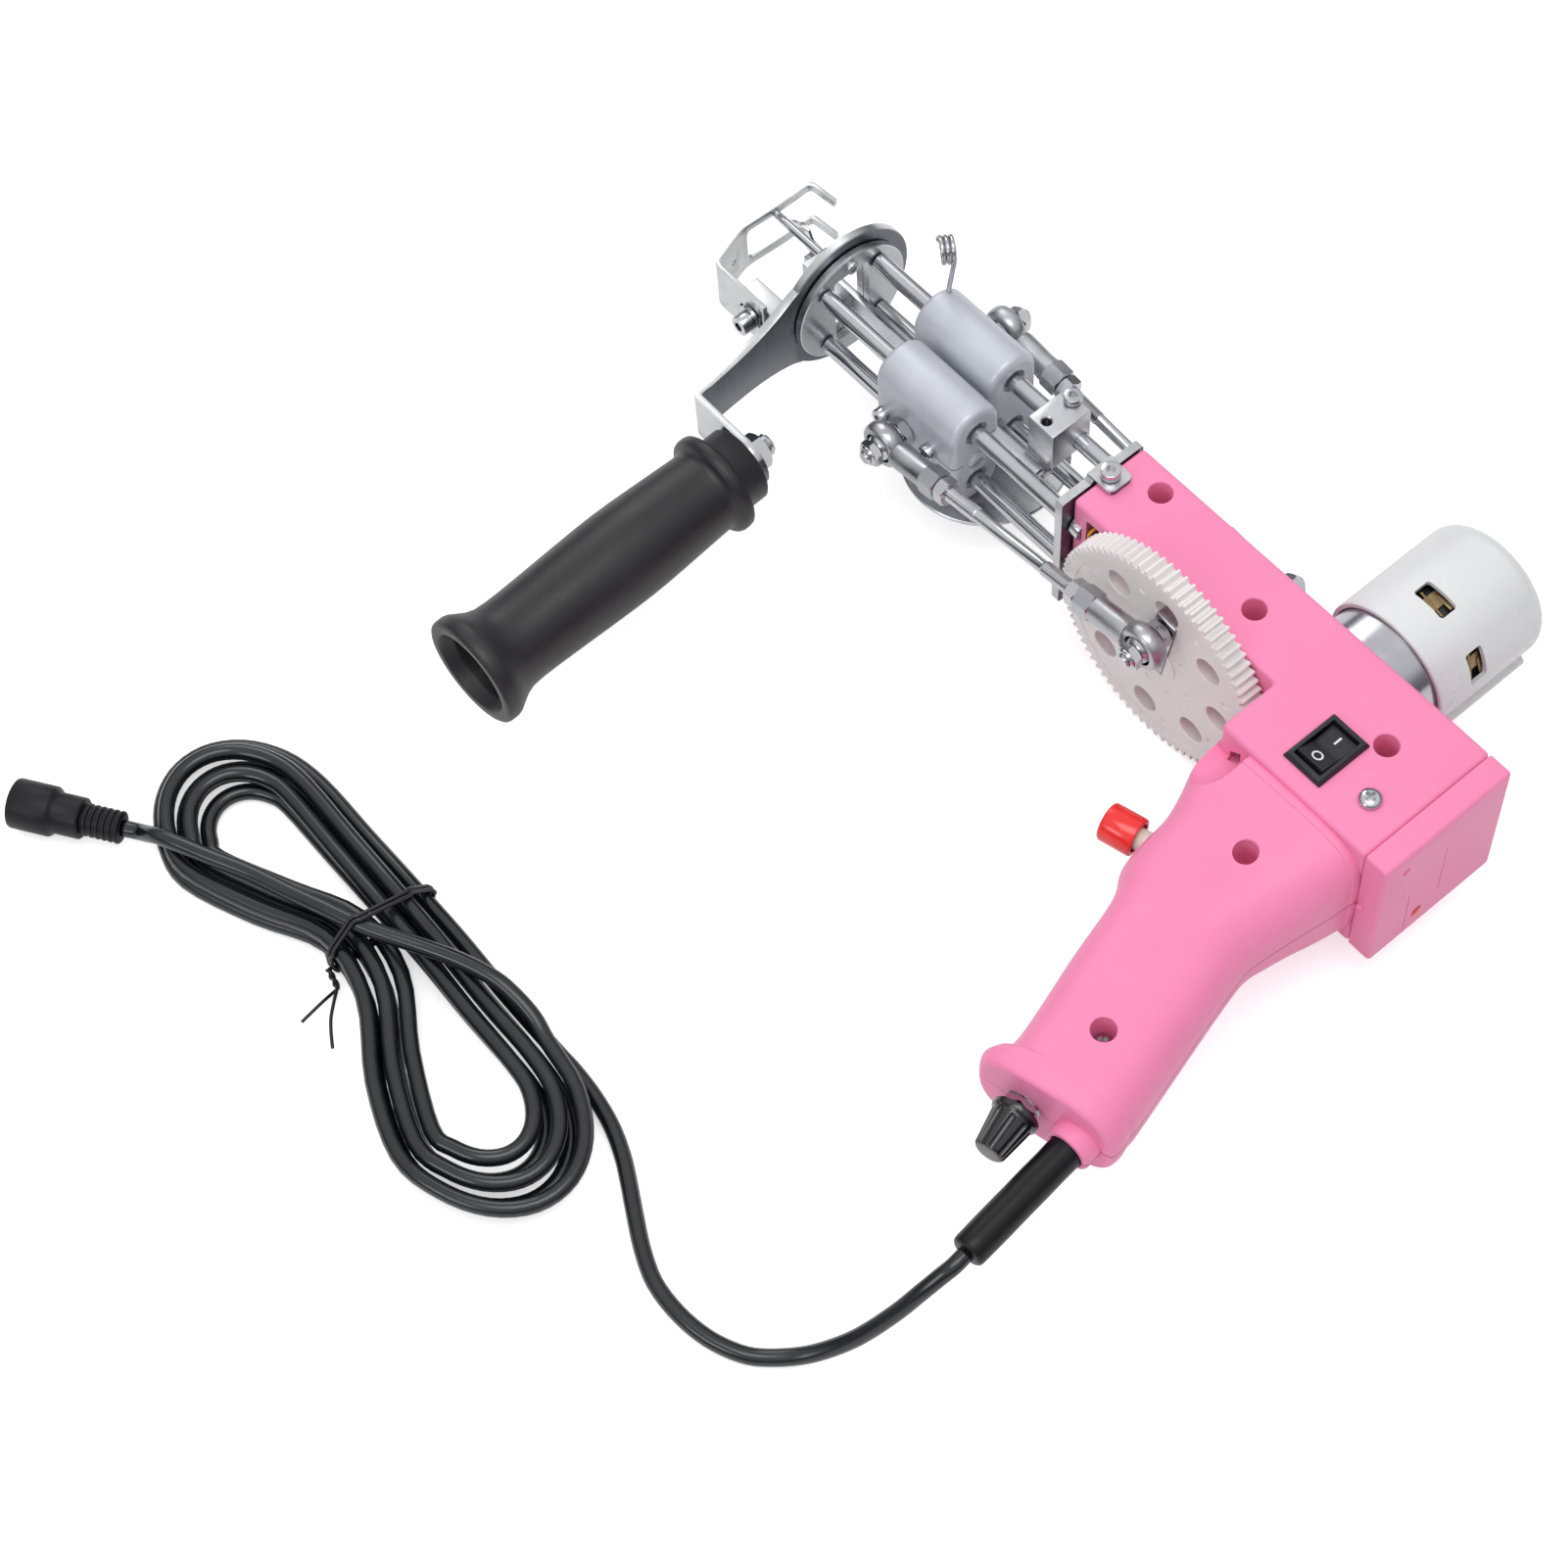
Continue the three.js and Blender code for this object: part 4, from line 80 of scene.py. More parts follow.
def makeCamera():
    azimuth = math.radians(camera["azimuth"])
    elevation = math.radians(camera["elevation"])
    roll = math.radians(camera["roll"])
    flat = math.cos(elevation)
    ahead = Vector((math.cos(azimuth) * flat, math.sin(azimuth) * flat, -math.sin(elevation)))
    level = Vector((math.sin(azimuth), -math.cos(azimuth), 0))
    above = level.cross(ahead)
    right = level * math.cos(roll) + above * math.sin(roll)
    up = above * math.cos(roll) - level * math.sin(roll)
    bpy.ops.object.camera_add(location=toFrame @ Vector(camera["place"]))
    view = bpy.context.object
    view.name = "photoCamera"
    view.data.sensor_width = camera["sensor"]
    view.data.lens = camera["lens"]
    view.data.clip_start = 0.05
    view.data.clip_end = 20
    view.rotation_euler = Matrix((right, up, -ahead)).transposed().to_euler()
    bpy.context.scene.camera = view


makeCamera()
print("camera set")


# Helpers that make and cut shapes
def letGo():
    if bpy.context.mode != "OBJECT":
        bpy.ops.object.mode_set(mode="OBJECT")
    bpy.ops.object.select_all(action="DESELECT")


def pick(obj):
    letGo()
    obj.select_set(True)
    bpy.context.view_layer.objects.active = obj


def newObject(name, data):
    obj = bpy.data.objects.new(name, data)
    bpy.context.scene.collection.objects.link(obj)
    return obj


def meshObject(name, points, edges=(), faces=()):
    mesh = bpy.data.meshes.new(name)
    mesh.from_pydata(points, edges, faces)
    return newObject(name, mesh)


def setDown(obj):  # puts the object's place into its mesh
    bpy.context.view_layer.update()
    obj.data.transform(obj.matrix_world)
    obj.matrix_world = Matrix.Identity(4)
    return obj


def spread(obj, matrix):  # moves the mesh itself
    obj.data.transform(matrix)
    obj.data.update()
    return obj


def aim(direction):  # turns +Z to a direction
    return Vector(direction).to_track_quat("Z", "Y").to_matrix().to_4x4()


def openMesh(obj):  # edit mode with the whole mesh selected
    pick(obj)
    bpy.ops.object.mode_set(mode="EDIT")
    bpy.ops.mesh.select_all(action="SELECT")


def cleanMesh(obj, distance=0.001):
    openMesh(obj)
    bpy.ops.mesh.remove_doubles(threshold=distance)
    bpy.ops.mesh.normals_make_consistent(inside=False)
    bpy.ops.object.mode_set(mode="OBJECT")


def turned(name, profile, start=(0, 0, 0), direction=(0, 0, 1), steps=48, ring=False):
    # profile is (radius, distance along the axis); a ring's profile closes on itself
    points = [(radius, 0, along) for radius, along in profile]
    edges = [(i, i + 1) for i in range(len(points) - 1)]
    if ring:
        edges.append((len(points) - 1, 0))
    obj = meshObject(name, points, edges)
    openMesh(obj)
    bpy.ops.mesh.spin(steps=steps, angle=2 * math.pi, center=(0, 0, 0), axis=(0, 0, 1))
    bpy.ops.object.mode_set(mode="OBJECT")
    cleanMesh(obj)
    return spread(obj, Matrix.Translation(Vector(start)) @ aim(direction))


def rod(name, radius, low, high, start=(0, 0, 0), direction=(0, 0, 1), steps=48):
    letGo()
    bpy.ops.mesh.primitive_cylinder_add(
        vertices=steps, radius=radius, depth=high - low, location=(0, 0, (low + high) / 2))
    obj = setDown(bpy.context.object)
    obj.name = name
    return spread(obj, Matrix.Translation(Vector(start)) @ aim(direction))


def box(name, x, y, z):
    letGo()
    bpy.ops.mesh.primitive_cube_add(size=1, location=[(a + b) / 2 for a, b in (x, y, z)])
    obj = bpy.context.object
    obj.scale = [b - a for a, b in (x, y, z)]
    obj.name = name
    return setDown(obj)


def softenEdges(obj, width, angle=40, segments=2):
    modifier = obj.modifiers.new("edges", "BEVEL")
    modifier.width = width
    modifier.segments = segments
    modifier.limit_method = "ANGLE"
    modifier.angle_limit = math.radians(angle)
    modifier.use_clamp_overlap = True
    pick(obj)
    bpy.ops.object.modifier_apply(modifier=modifier.name)
    return obj


def combine(obj, other, operation="DIFFERENCE"):
    modifier = obj.modifiers.new("combine", "BOOLEAN")
    modifier.operation = operation
    modifier.solver = "EXACT"
    modifier.object = other
    pick(obj)
    bpy.ops.object.modifier_apply(modifier=modifier.name)
    bpy.data.objects.remove(other)
    return obj


def carve(obj, *cutters):
    for cutter in cutters:
        combine(obj, cutter)
    return obj


def joinUp(name, pieces):  # separate shells kept in one object
    letGo()
    for piece in pieces:
        piece.select_set(True)
    bpy.context.view_layer.objects.active = pieces[0]
    if len(pieces) > 1:
        bpy.ops.object.join()
    pieces[0].name = name
    return pieces[0]


def slab(name, outline, low, high, normal="z"):
    # an outline drawn flat, then extruded between two heights
    points = [(a, b, low) for a, b in outline]
    obj = meshObject(name, points, faces=[list(range(len(points)))])
    openMesh(obj)
    bpy.ops.mesh.extrude_region_move(TRANSFORM_OT_translate={"value": (0, 0, high - low)})
    bpy.ops.mesh.select_all(action="SELECT")
    bpy.ops.mesh.normals_make_consistent(inside=False)
    bpy.ops.object.mode_set(mode="OBJECT")
    if normal == "x":  # the outline's pair is (y, z)
        spread(obj, Matrix(((0, 0, 1, 0), (1, 0, 0, 0), (0, 1, 0, 0), (0, 0, 0, 1))))
    if normal == "y":  # the outline's pair is (x, z)
        spread(obj, Matrix(((1, 0, 0, 0), (0, 0, 1, 0), (0, 1, 0, 0), (0, 0, 0, 1))))
        cleanMesh(obj)
    return obj


def arc(a, b, radius, start, end, steps):
    angles = [math.radians(start + (end - start) * i / steps) for i in range(steps + 1)]
    return [(a + radius * math.cos(t), b + radius * math.sin(t)) for t in angles]


def mergedCopy(node, name, soften):
    # a CAD node's solid, its triangles merged to flat faces and its edges softened, in millimetres
    obj = newObject(name, nodes[node].data.copy())
    spread(obj, toFrame.inverted())
    obj.data.materials.clear()
    openMesh(obj)
    bpy.ops.mesh.remove_doubles(threshold=0.002)
    bpy.ops.mesh.dissolve_limited(angle_limit=math.radians(1))
    bpy.ops.object.mode_set(mode="OBJECT")
    return softenEdges(obj, soften)


def finish(obj, name, body, look, replaced=(), angle=35):
    obj.name = name
    obj.data.name = name
    obj.data.transform(toFrame)
    for one in look if isinstance(look, list) else [look]:
        obj.data.materials.append(one)
    pick(obj)
    bpy.ops.object.shade_smooth_by_angle(angle=math.radians(angle))
    if replaced:
        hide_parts(*replaced)
    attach(obj, body)
    return obj


def sheetPaintedShade(obj):  # faces that face along X take the first, darker look as painted shade; the sheared edges and turned-up faces take the second, bright look, the zinc's own colour
    for face in obj.data.polygons:
        face.material_index = 1 if abs(face.normal.x) < 0.75 else 0
    return obj


# Cord: one length from the sleeve through the lead, the hank and its crossing end to the plug
cord = {
    "radius": 0.00265, "sides": 4, "parts": 4,
    "lead": [
        (-0.106135, 0.2091, 0), (-0.1065, 0.2136, -0.0004), (-0.1059, 0.2172, -0.0022),
        (-0.1043, 0.2236, -0.0072), (-0.1018, 0.2309, -0.015), (-0.0974, 0.24, -0.025),
        (-0.0927, 0.247, -0.032), (-0.0875, 0.2538, -0.0366), (-0.081, 0.2613, -0.0382),
        (-0.075, 0.2663, -0.03829), (-0.0652, 0.2704, -0.03829), (-0.0539, 0.272, -0.03829),
        (-0.0421, 0.2711, -0.03829), (-0.0315, 0.2671, -0.03829), (-0.0219, 0.262, -0.03829),
        (-0.0122, 0.2566, -0.03829), (-0.0052, 0.253, -0.03829), (0.0042, 0.2495, -0.03829),
        (0.0145, 0.2474, -0.03829), (0.025, 0.2465, -0.03829),
    ],
    "tail": [
        (0.044, 0.2463, -0.0308), (0.052, 0.2466, -0.0284), (0.06, 0.248, -0.0266),
        (0.071, 0.252, -0.026), (0.082, 0.2576, -0.0256), (0.092, 0.2634, -0.0249),
        (0.101, 0.268, -0.0246), (0.111, 0.2718, -0.0249), (0.124, 0.2766, -0.026),
        (0.138, 0.2816, -0.0265), (0.15, 0.2874, -0.0264), (0.158, 0.291, -0.0264),
        (0.1645, 0.2939, -0.0265), (0.1686, 0.2955, -0.0277), (0.1723, 0.2966, -0.0303),
        (0.1759, 0.29766, -0.0326), (0.1803, 0.3006, -0.0327),
    ],
}
hank = {
    "loops": 5, "steps": 24, "runSteps": 5, "foldSteps": 7, "pitch": 0.00616, "foldDraw": 1.5,
    "rightX": 0.036, "rightY": 0.2765, "rightRadius": 0.03, "rightReach": 0.0433,
    "leftX": 0.155, "leftY": 0.2709, "leftRadius": 0.0279, "leftReach": 0.0378,
    "waistX": 0.101, "waistY": 0.262, "waistHalf": 0.0177, "waistLift": 0.0019, "waistReach": 0.034,
    "climb": 0.0059, "low": -0.03829,
}


def ease(t):
    return (1 - math.cos(math.pi * t)) / 2


def runPlace(x, side, inset):
    rightSide = x < hank["waistX"]
    end = hank["rightX"] if rightSide else hank["leftX"]
    widen = (hank["rightRadius"] if rightSide else hank["leftRadius"]) - hank["waistHalf"]
    shift = (hank["rightY"] if rightSide else hank["leftY"]) - hank["waistY"]
    share = (x - hank["waistX"]) / (end - hank["waistX"])
    slope = math.pi / 2 * math.sin(math.pi * share) * (shift + side * widen) / (end - hank["waistX"])
    middle = hank["waistY"] + shift * ease(share)
    return middle + side * (hank["waistHalf"] + widen * ease(share) - inset * math.hypot(1, slope))


def hankPoint(turn):
    run, fold = hank["runSteps"], hank["foldSteps"]
    reversal = hank["loops"] / 2 + run / hank["steps"] / 2
    step = (turn - math.floor(turn)) * hank["steps"]
    inset = hank["pitch"] * (reversal - abs(turn - reversal))
    if step < run or run + fold <= step < 2 * run + fold:
        lowSide = step < run
        along = step / run if lowSide else 1 - (step - run - fold) / run
        x = hank["rightX"] + (hank["leftX"] - hank["rightX"]) * along
        y = runPlace(x, -1 if lowSide else 1, inset)
    else:
        side = "left" if step < run + fold else "right"
        along = (step - run) / fold if side == "left" else (step - 2 * run - fold) / fold
        angle = math.pi * (along - 0.5 if side == "left" else along + 0.5)
        x = hank[side + "X"] + (hank[side + "Reach"] - hank["foldDraw"] * inset) * math.cos(angle)
        y = hank[side + "Y"] + (hank[side + "Radius"] - inset) * math.sin(angle)
    climbed = ease(min(max((turn - hank["loops"] / 2) / (run / hank["steps"]), 0), 1))
    near = max(1 - abs(x - hank["waistX"]) / hank["waistReach"], 0)
    return (x, y, hank["low"] + hank["climb"] * climbed + hank["waistLift"] * ease(near))


def smoothStep(values, i, t):  # a smooth value at share t between the listed values i and i + 1
    a, b = values[max(i - 1, 0)], values[i]
    c, d = values[i + 1], values[min(i + 2, len(values) - 1)]
    return (
        b + (c - a) * (t / 2) + (a - b * 2.5 + c * 2 - d / 2) * t ** 2
        + (b * 1.5 - a / 2 - c * 1.5 + d / 2) * t ** 3)


def smoothLine(points, parts):  # a smooth curve through the points
    points = [Vector(p) for p in points]
    line = [smoothStep(points, i, k / parts) for i in range(len(points) - 1) for k in range(parts)]
    return line + [points[-1]]


def tube(name, line, radius, sides, closed=False):
    curve = bpy.data.curves.new(name, "CURVE")
    curve.dimensions = "3D"
    curve.bevel_depth = radius
    curve.bevel_resolution = sides
    curve.use_fill_caps = True
    spline = curve.splines.new("POLY")
    spline.points.add(len(line) - 1)
    for point, place in zip(spline.points, line):
        point.co = (*place, 1)
    spline.use_cyclic_u = closed
    pick(newObject(name, curve))
    bpy.ops.object.convert(target="MESH")
    cleanMesh(bpy.context.object, 0.000001)
    return bpy.context.object


loopPoints = [hankPoint(i / hank["steps"]) for i in range(hank["loops"] * hank["steps"] + 1)]
cordPoints = [*cord["lead"], *loopPoints, *cord["tail"]]
cordLine = [p + toolOrigin for p in smoothLine(cordPoints, cord["parts"])]


# Looks: small helpers first, then shared effects as node groups
def feed(tree, node, values):  # a socket is linked, anything else is set
    for label, value in values.items():
        if isinstance(value, bpy.types.NodeSocket):
            tree.links.new(value, node.inputs[label])
        else:
            node.inputs[label].default_value = value


def addNode(tree, kind, values, operation=None):
    node = tree.nodes.new("ShaderNode" + kind)
    if operation:
        node.operation = operation
    feed(tree, node, values)
    return node.outputs


def newGroup(name, output, given):
    group = bpy.data.node_groups.new(name, "ShaderNodeTree")
    group.interface.new_socket(name="Vector", in_out="INPUT", socket_type="NodeSocketVector")
    for label, value in given.items():
        kind = "NodeSocketVector" if isinstance(value, tuple) else "NodeSocketFloat"
        group.interface.new_socket(name=label, in_out="INPUT", socket_type=kind).default_value = value
    group.interface.new_socket(name=output, in_out="OUTPUT", socket_type="NodeSocketFloat")
    return group, group.nodes.new("NodeGroupInput").outputs, group.nodes.new("NodeGroupOutput").inputs[output]


def makeGrain():  # fine moulded grain, as a height
    group, given, result = newGroup("fineGrain", "Height", {"Scale": 1500})
    fine = addNode(group, "TexNoise", {"Vector": given["Vector"], "Scale": given["Scale"], "Detail": 4})
    group.links.new(fine["Fac"], result)
    return group


def makePatches():  # slow uneven patches, as a mask
    group, given, result = newGroup("patches", "Mask", {"Scale": 40})
    slow = addNode(group, "TexNoise", {
        "Vector": given["Vector"], "Scale": given["Scale"], "Detail": 5, "Roughness": 0.6})
    wide = addNode(group, "MapRange", {"Value": slow["Fac"], "From Min": 0.35, "From Max": 0.68})
    group.links.new(wide["Result"], result)
    return group


def makeLines():  # brushed lines along one direction, as a mask
    group, given, result = newGroup("brushedLines", "Mask", {"Stretch": (1, 40, 40), "Scale": 60})
    stretch = addNode(group, "VectorMath", {0: given["Vector"], 1: given["Stretch"]}, "MULTIPLY")
    lines = addNode(group, "TexNoise", {"Vector": stretch["Vector"], "Scale": given["Scale"], "Detail": 3})
    group.links.new(lines["Fac"], result)
    return group


def makeScuffs():  # a few short handling marks, as a mask
    group, given, result = newGroup("scuffs", "Mask", {"Scale": 50})
    stretch = addNode(group, "VectorMath", {0: given["Vector"], 1: (1, 9, 3)}, "MULTIPLY")
    marks = addNode(group, "TexNoise", {
        "Vector": stretch["Vector"], "Scale": given["Scale"], "Detail": 8, "Roughness": 0.7})
    few = addNode(group, "MapRange", {"Value": marks["Fac"], "From Min": 0.64, "From Max": 0.72})
    group.links.new(few["Result"], result)
    return group


fineGrain, patches, brushedLines, scuffs = makeGrain(), makePatches(), makeLines(), makeScuffs()


def useGroup(tree, group, values):
    node = tree.nodes.new("ShaderNodeGroup")
    node.node_tree = group
    feed(tree, node, values)
    return node.outputs[0]


def mixColours(tree, mask, first, second):
    node = tree.nodes.new("ShaderNodeMix")
    node.data_type = "RGBA"
    first, second = [(*one, 1) if isinstance(one, tuple) else one for one in (first, second)]
    feed(tree, node, {"Factor": mask, "A": first, "B": second})
    return node.outputs["Result"]


def mapMask(tree, mask, low, high):
    return addNode(tree, "MapRange", {"Value": mask, "To Min": low, "To Max": high})["Result"]


def darker(colour, share):
    return tuple(c * share for c in colour)


def newLook(name, colour, roughness, metallic=0, deep=0.9, patchScale=40, uneven=0.06, grain=0,
            grainScale=1500, lines=None, scuffed=0, coat=0, inside=0, through=0, wornTo=None, shine=0.5):
    look = bpy.data.materials.new(name)
    look.use_nodes = True
    tree = look.node_tree
    shader = tree.nodes["Principled BSDF"]
    place = addNode(tree, "TexCoord", {})["Object"]
    patch = useGroup(tree, patches, {"Vector": place, "Scale": patchScale})
    shade = mixColours(tree, patch, darker(colour, deep), colour)
    rough = mapMask(tree, patch, roughness - uneven, roughness + uneven)
    height = None
    if lines:
        height = useGroup(tree, brushedLines, {"Vector": place, "Stretch": lines})
        shade = mixColours(tree, mapMask(tree, height, 0, 0.35), shade, darker(colour, 0.72))
        rough = addNode(tree, "Math", {0: rough, 1: mapMask(tree, height, -0.08, 0.12)})[0]
    if scuffed:
        marks = useGroup(tree, scuffs, {"Vector": place, "Scale": patchScale * 1.5})
        shade = mixColours(tree, mapMask(tree, marks, 0, scuffed), shade, wornTo or darker(colour, 0.6))
    if grain:
        height = useGroup(tree, fineGrain, {"Vector": place, "Scale": grainScale})
    if height:
        bump = addNode(tree, "Bump", {"Height": height, "Strength": grain or 0.08, "Distance": 0.0002})
        tree.links.new(bump["Normal"], shader.inputs["Normal"])
    feed(tree, shader, {
        "Base Color": shade, "Roughness": rough, "Metallic": metallic, "Specular IOR Level": shine,
        "Coat Weight": coat, "Coat Roughness": 0.08, "Subsurface Weight": inside, "Subsurface Scale": 0.003,
        "Transmission Weight": through})
    return look


pinkLook = newLook(
    "pinkPlastic", (0.9, 0.262, 0.462), 0.36, deep=0.95, patchScale=25, grain=0.06, grainScale=1100,
    scuffed=0.06, shine=0.2)
nylonLook = newLook(
    "nylon", (0.8, 0.765, 0.755), 0.42, deep=0.93, patchScale=30, grain=0.05, grainScale=700, inside=0.12)
milkyLook = newLook(
    "milkyPlastic", (0.8, 0.81, 0.82), 0.3, deep=0.93, patchScale=22, grain=0.05, grainScale=500, inside=0.1,
    through=0.12)
blackLook = newLook("blackPlastic", (0.014, 0.014, 0.016), 0.36, deep=0.7, patchScale=60, grain=0.12,
                    scuffed=0.3, wornTo=(0.04, 0.04, 0.042))
gripLook = newLook(
    "gripPlastic", (0.012, 0.012, 0.014), 0.42, deep=0.7, patchScale=30, grain=0.35, grainScale=1900)
knobLook = newLook("knobPlastic", (0.01, 0.01, 0.012), 0.2, deep=0.7, patchScale=90, coat=0.4, scuffed=0.25,
                   wornTo=(0.03, 0.03, 0.032))
rubberLook = newLook("blackRubber", (0.004, 0.004, 0.005), 0.36, deep=0.7, patchScale=70, grain=0.2,
                     grainScale=1300, shine=0.3)
plugLook = newLook("plugPlastic", (0.006, 0.006, 0.008), 0.42, deep=0.75, patchScale=70, grain=0.35,
                   grainScale=2200, shine=0.3)
cordLook = newLook(
    "cordSkin", (0.007, 0.008, 0.012), 0.27, deep=0.6, patchScale=35, uneven=0.08, grain=0.05, grainScale=500,
    coat=0.25)
redLook = newLook("redPlastic", (0.82, 0.017, 0.014), 0.2, deep=0.85, patchScale=80, coat=0.3, scuffed=0.1)
bushLook = newLook("bushPlastic", (0.74, 0.7, 0.6), 0.3, deep=0.85, patchScale=120, inside=0.2, grain=0.05)
markLook = newLook("whitePrint", (0.8, 0.8, 0.8), 0.45, deep=0.9, patchScale=300, grain=0.1)
chromeLook = newLook("chrome", (0.58, 0.585, 0.61), 0.14, 1, deep=0.9, patchScale=60, uneven=0.04,
                     scuffed=0.15)
steelLook = newLook("steel", (0.5, 0.505, 0.53), 0.25, 1, deep=0.85, patchScale=120, uneven=0.08, scuffed=0.3)
bladeLook = newLook("bladeSteel", (0.8, 0.8, 0.81), 0.16, 1, deep=0.85, patchScale=90, lines=(30, 30, 1))
# a darker copy of the zinc, laid on sheet faces that face along X as painted shade
shadedZincLook = newLook(
    "zincSheetPaintedShade", (0.165, 0.17, 0.19), 0.3, 1, deep=0.8, patchScale=85, uneven=0.1, scuffed=0.35,
    wornTo=(0.15, 0.15, 0.165))
# the zinc's own bright colour, on sheared edges and turned-up sheet faces beside the painted-shade copy, and
# on whole pieces
brightZincLook = newLook(
    "brightZinc", (0.62, 0.625, 0.64), 0.27, 1, deep=0.82, patchScale=85, uneven=0.08, scuffed=0.3,
    wornTo=(0.45, 0.45, 0.47))
# a darker copy of the plate's zinc, laid on its faces that face along X as painted shade
shadedPlateLook = newLook(
    "zincPlatePaintedShade", (0.56, 0.565, 0.59), 0.3, 1, deep=0.8, patchScale=85, uneven=0.1, scuffed=0.35,
    wornTo=(0.42, 0.42, 0.44))
rodEndLook = newLook("zincBody", (0.5, 0.505, 0.53), 0.34, 1, deep=0.82, patchScale=110, uneven=0.08,
                     grain=0.2)
motorLook = newLook("motorSteel", (0.56, 0.56, 0.6), 0.2, 1, deep=0.85, patchScale=45, lines=(1, 60, 1),
                    scuffed=0.2)
carriageLook = newLook(
    "carriageMetal", (0.57, 0.595, 0.655), 0.4, 0.25, deep=0.9, patchScale=55, grain=0.12, grainScale=1400,
    scuffed=0.12)
aluminiumLook = newLook("aluminium", (0.62, 0.625, 0.65), 0.32, 1, deep=0.88, patchScale=90,
                        lines=(1, 40, 40))
brassLook = newLook("brass", (0.3, 0.21, 0.11), 0.3, 1, deep=0.8, patchScale=150, scuffed=0.3)
yellowLook = newLook("yellowSkin", (0.85, 0.4, 0.01), 0.35, deep=0.88, patchScale=120, grain=0.05)
boardLook = newLook("boardGreen", (0.03, 0.14, 0.06), 0.4, deep=0.8, patchScale=150, grain=0.1, scuffed=0.2)
lampLook = newLook("lampRed", (0.75, 0.02, 0.02), 0.15, deep=0.85, patchScale=200, coat=0.4, inside=0.2)
print("looks made")


# Cord in one length
cordPiece = tube("cord", cordLine, cord["radius"], cord["sides"])
cordPiece.data.materials.append(cordLook)
pick(cordPiece)
bpy.ops.object.shade_smooth()
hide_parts("cord_lead", "cord_hank")
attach(cordPiece, "tool_body")

# Tie: a wire wrapped round all strands at the waist, its two ends twisted together
tie = {
    "radius": 0.7, "gap": 0.35, "knot": 1.5, "ends": [(80, 296, -39.2), (92.5, 298, -37.8)],
    "twist": 0.55, "twistTurns": 1.25, "twistSteps": 32, "twistStep": Vector((-0.16, 0.03, -0.12)),
}


def hullOf(cloud):
    cloud = sorted(cloud)

    def side(points):
        kept = []
        for point in points:
            while len(kept) > 1 and (
                    (kept[-1][0] - kept[-2][0]) * (point[1] - kept[-2][1])
                    - (kept[-1][1] - kept[-2][1]) * (point[0] - kept[-2][0])) <= 0:
                kept.pop()
            kept.append(point)
        return kept

    return side(cloud)[:-1] + side(cloud[::-1])[:-1]


def makeTie():
    waist = hank["waistX"] / mm
    line = [(p - toolOrigin) / mm for p in cordLine]
    strands = []
    for a, b in zip(line, line[1:]):
        if (a.x - waist) * (b.x - waist) <= 0 and a.x != b.x and a.y > 200:
            strands.append(a.lerp(b, (waist - a.x) / (b.x - a.x)))
    reach = cord["radius"] / mm + tie["gap"] + tie["radius"]
    cloud = [place for p in strands for place in arc(p.y, p.z, reach, 0, 345, 23)]
    hull = hullOf(cloud)
    loop = [Vector((waist + 0.5 * math.sin(i), y, z)) for i, (y, z) in enumerate(hull)]
    rings = [tube("tieLoop", [p + Vector((shift, 0, 0)) for p in loop], tie["radius"], 3, True)
             for shift in (-0.8, 0.8)]
    far = max(loop, key=lambda p: p.y)
    knot = Vector((waist, far.y + tie["knot"], far.z))
    twisted = []
    for k in range(2):
        strand = []
        for i in range(tie["twistSteps"] + 1):
            angle = math.pi * (k + i / tie["twistSteps"] * 2 * tie["twistTurns"])
            across = Vector((0, math.cos(angle), math.sin(angle))) * tie["twist"]
            strand.append(knot + tie["twistStep"] * i + across)
        end = Vector(tie["ends"][k])
        start = strand[-1]
        bend = start.lerp(end, 0.5) + Vector((0, 1.4 - 2.8 * k, 0.8))
        strand += smoothLine([start, bend, end], 10)[1:]
        twisted.append(tube("tieEnd", strand, tie["radius"] * 0.8, 3))
    return joinUp("cordTie", [*rings, *twisted])


tiePiece = finish(makeTie(), "cordTie", "tool_body", blackLook, ["cord_tie"], angle=60)
print("cord and tie done")


# Fastenings
def threadProfile(radius, start, end, pitch=0.8, depth=0.26):
    points = []
    turns = max(int((end - start) / pitch), 1)
    for i in range(turns):
        from_ = start + (end - start) * i / turns
        points += [(radius - depth, from_), (radius, from_ + (end - start) / turns * 0.45)]
    return points + [(radius - depth, end)]


def nut(name, across, low, high, start, direction):
    corner, turn = across / math.sqrt(3), across / 2
    body = rod(name, corner, low, high, start, direction, 6)
    shape = turned("chamfer", [
        (0, low), (turn, low), (corner + 0.05, low + 0.5), (corner + 0.05, high - 0.5), (turn, high),
        (0, high)], start, direction, 48)
    return combine(body, shape, "INTERSECT")


def capScrew(name, radius, height, socket, depth, start, direction, shank=0, shankRadius=1.4):
    head = turned(name, [
        (0, 0), (radius - 0.2, 0), (radius, 0.2), (radius, height - 0.45), (radius - 0.15, height - 0.12),
        (radius - 0.45, height), (0, height)], start, direction, 56)
    carve(head, rod("socket", socket * 2 / math.sqrt(3), height - depth, height + 1, start, direction, 6))
    if shank:
        head = joinUp(name, [head, rod("shank", shankRadius, -shank, 0.1, start, direction, 24)])
    return head


def panScrew(name, radius, height, start, shank, shankRadius):
    head = turned(name, [
        (0, 0), (radius - 0.25, 0), (radius, 0.3), (radius * 0.97, height * 0.45),
        (radius * 0.82, height * 0.75), (radius * 0.55, height * 0.94), (radius * 0.25, height), (0, height)],
        start, steps=56)
    x, y, z = start
    arm, half = radius * 0.5, radius * 0.15
    slots = []
    for long, short in (((x - arm, x + arm), (y - half, y + half)),
                        ((x - half, x + half), (y - arm, y + arm))):
        slots.append(box("slot", long, short, (z + height * 0.35, z + height + 1)))
    slots.append(turned("middle", [
        (0, height * 0.2), (half * 1.7, height), (half * 1.7, height + 1), (0, height + 1)], start, steps=16))
    carve(head, *slots)
    return joinUp(name, [head, rod("shank", shankRadius, -shank, 0.1, start, steps=24)])


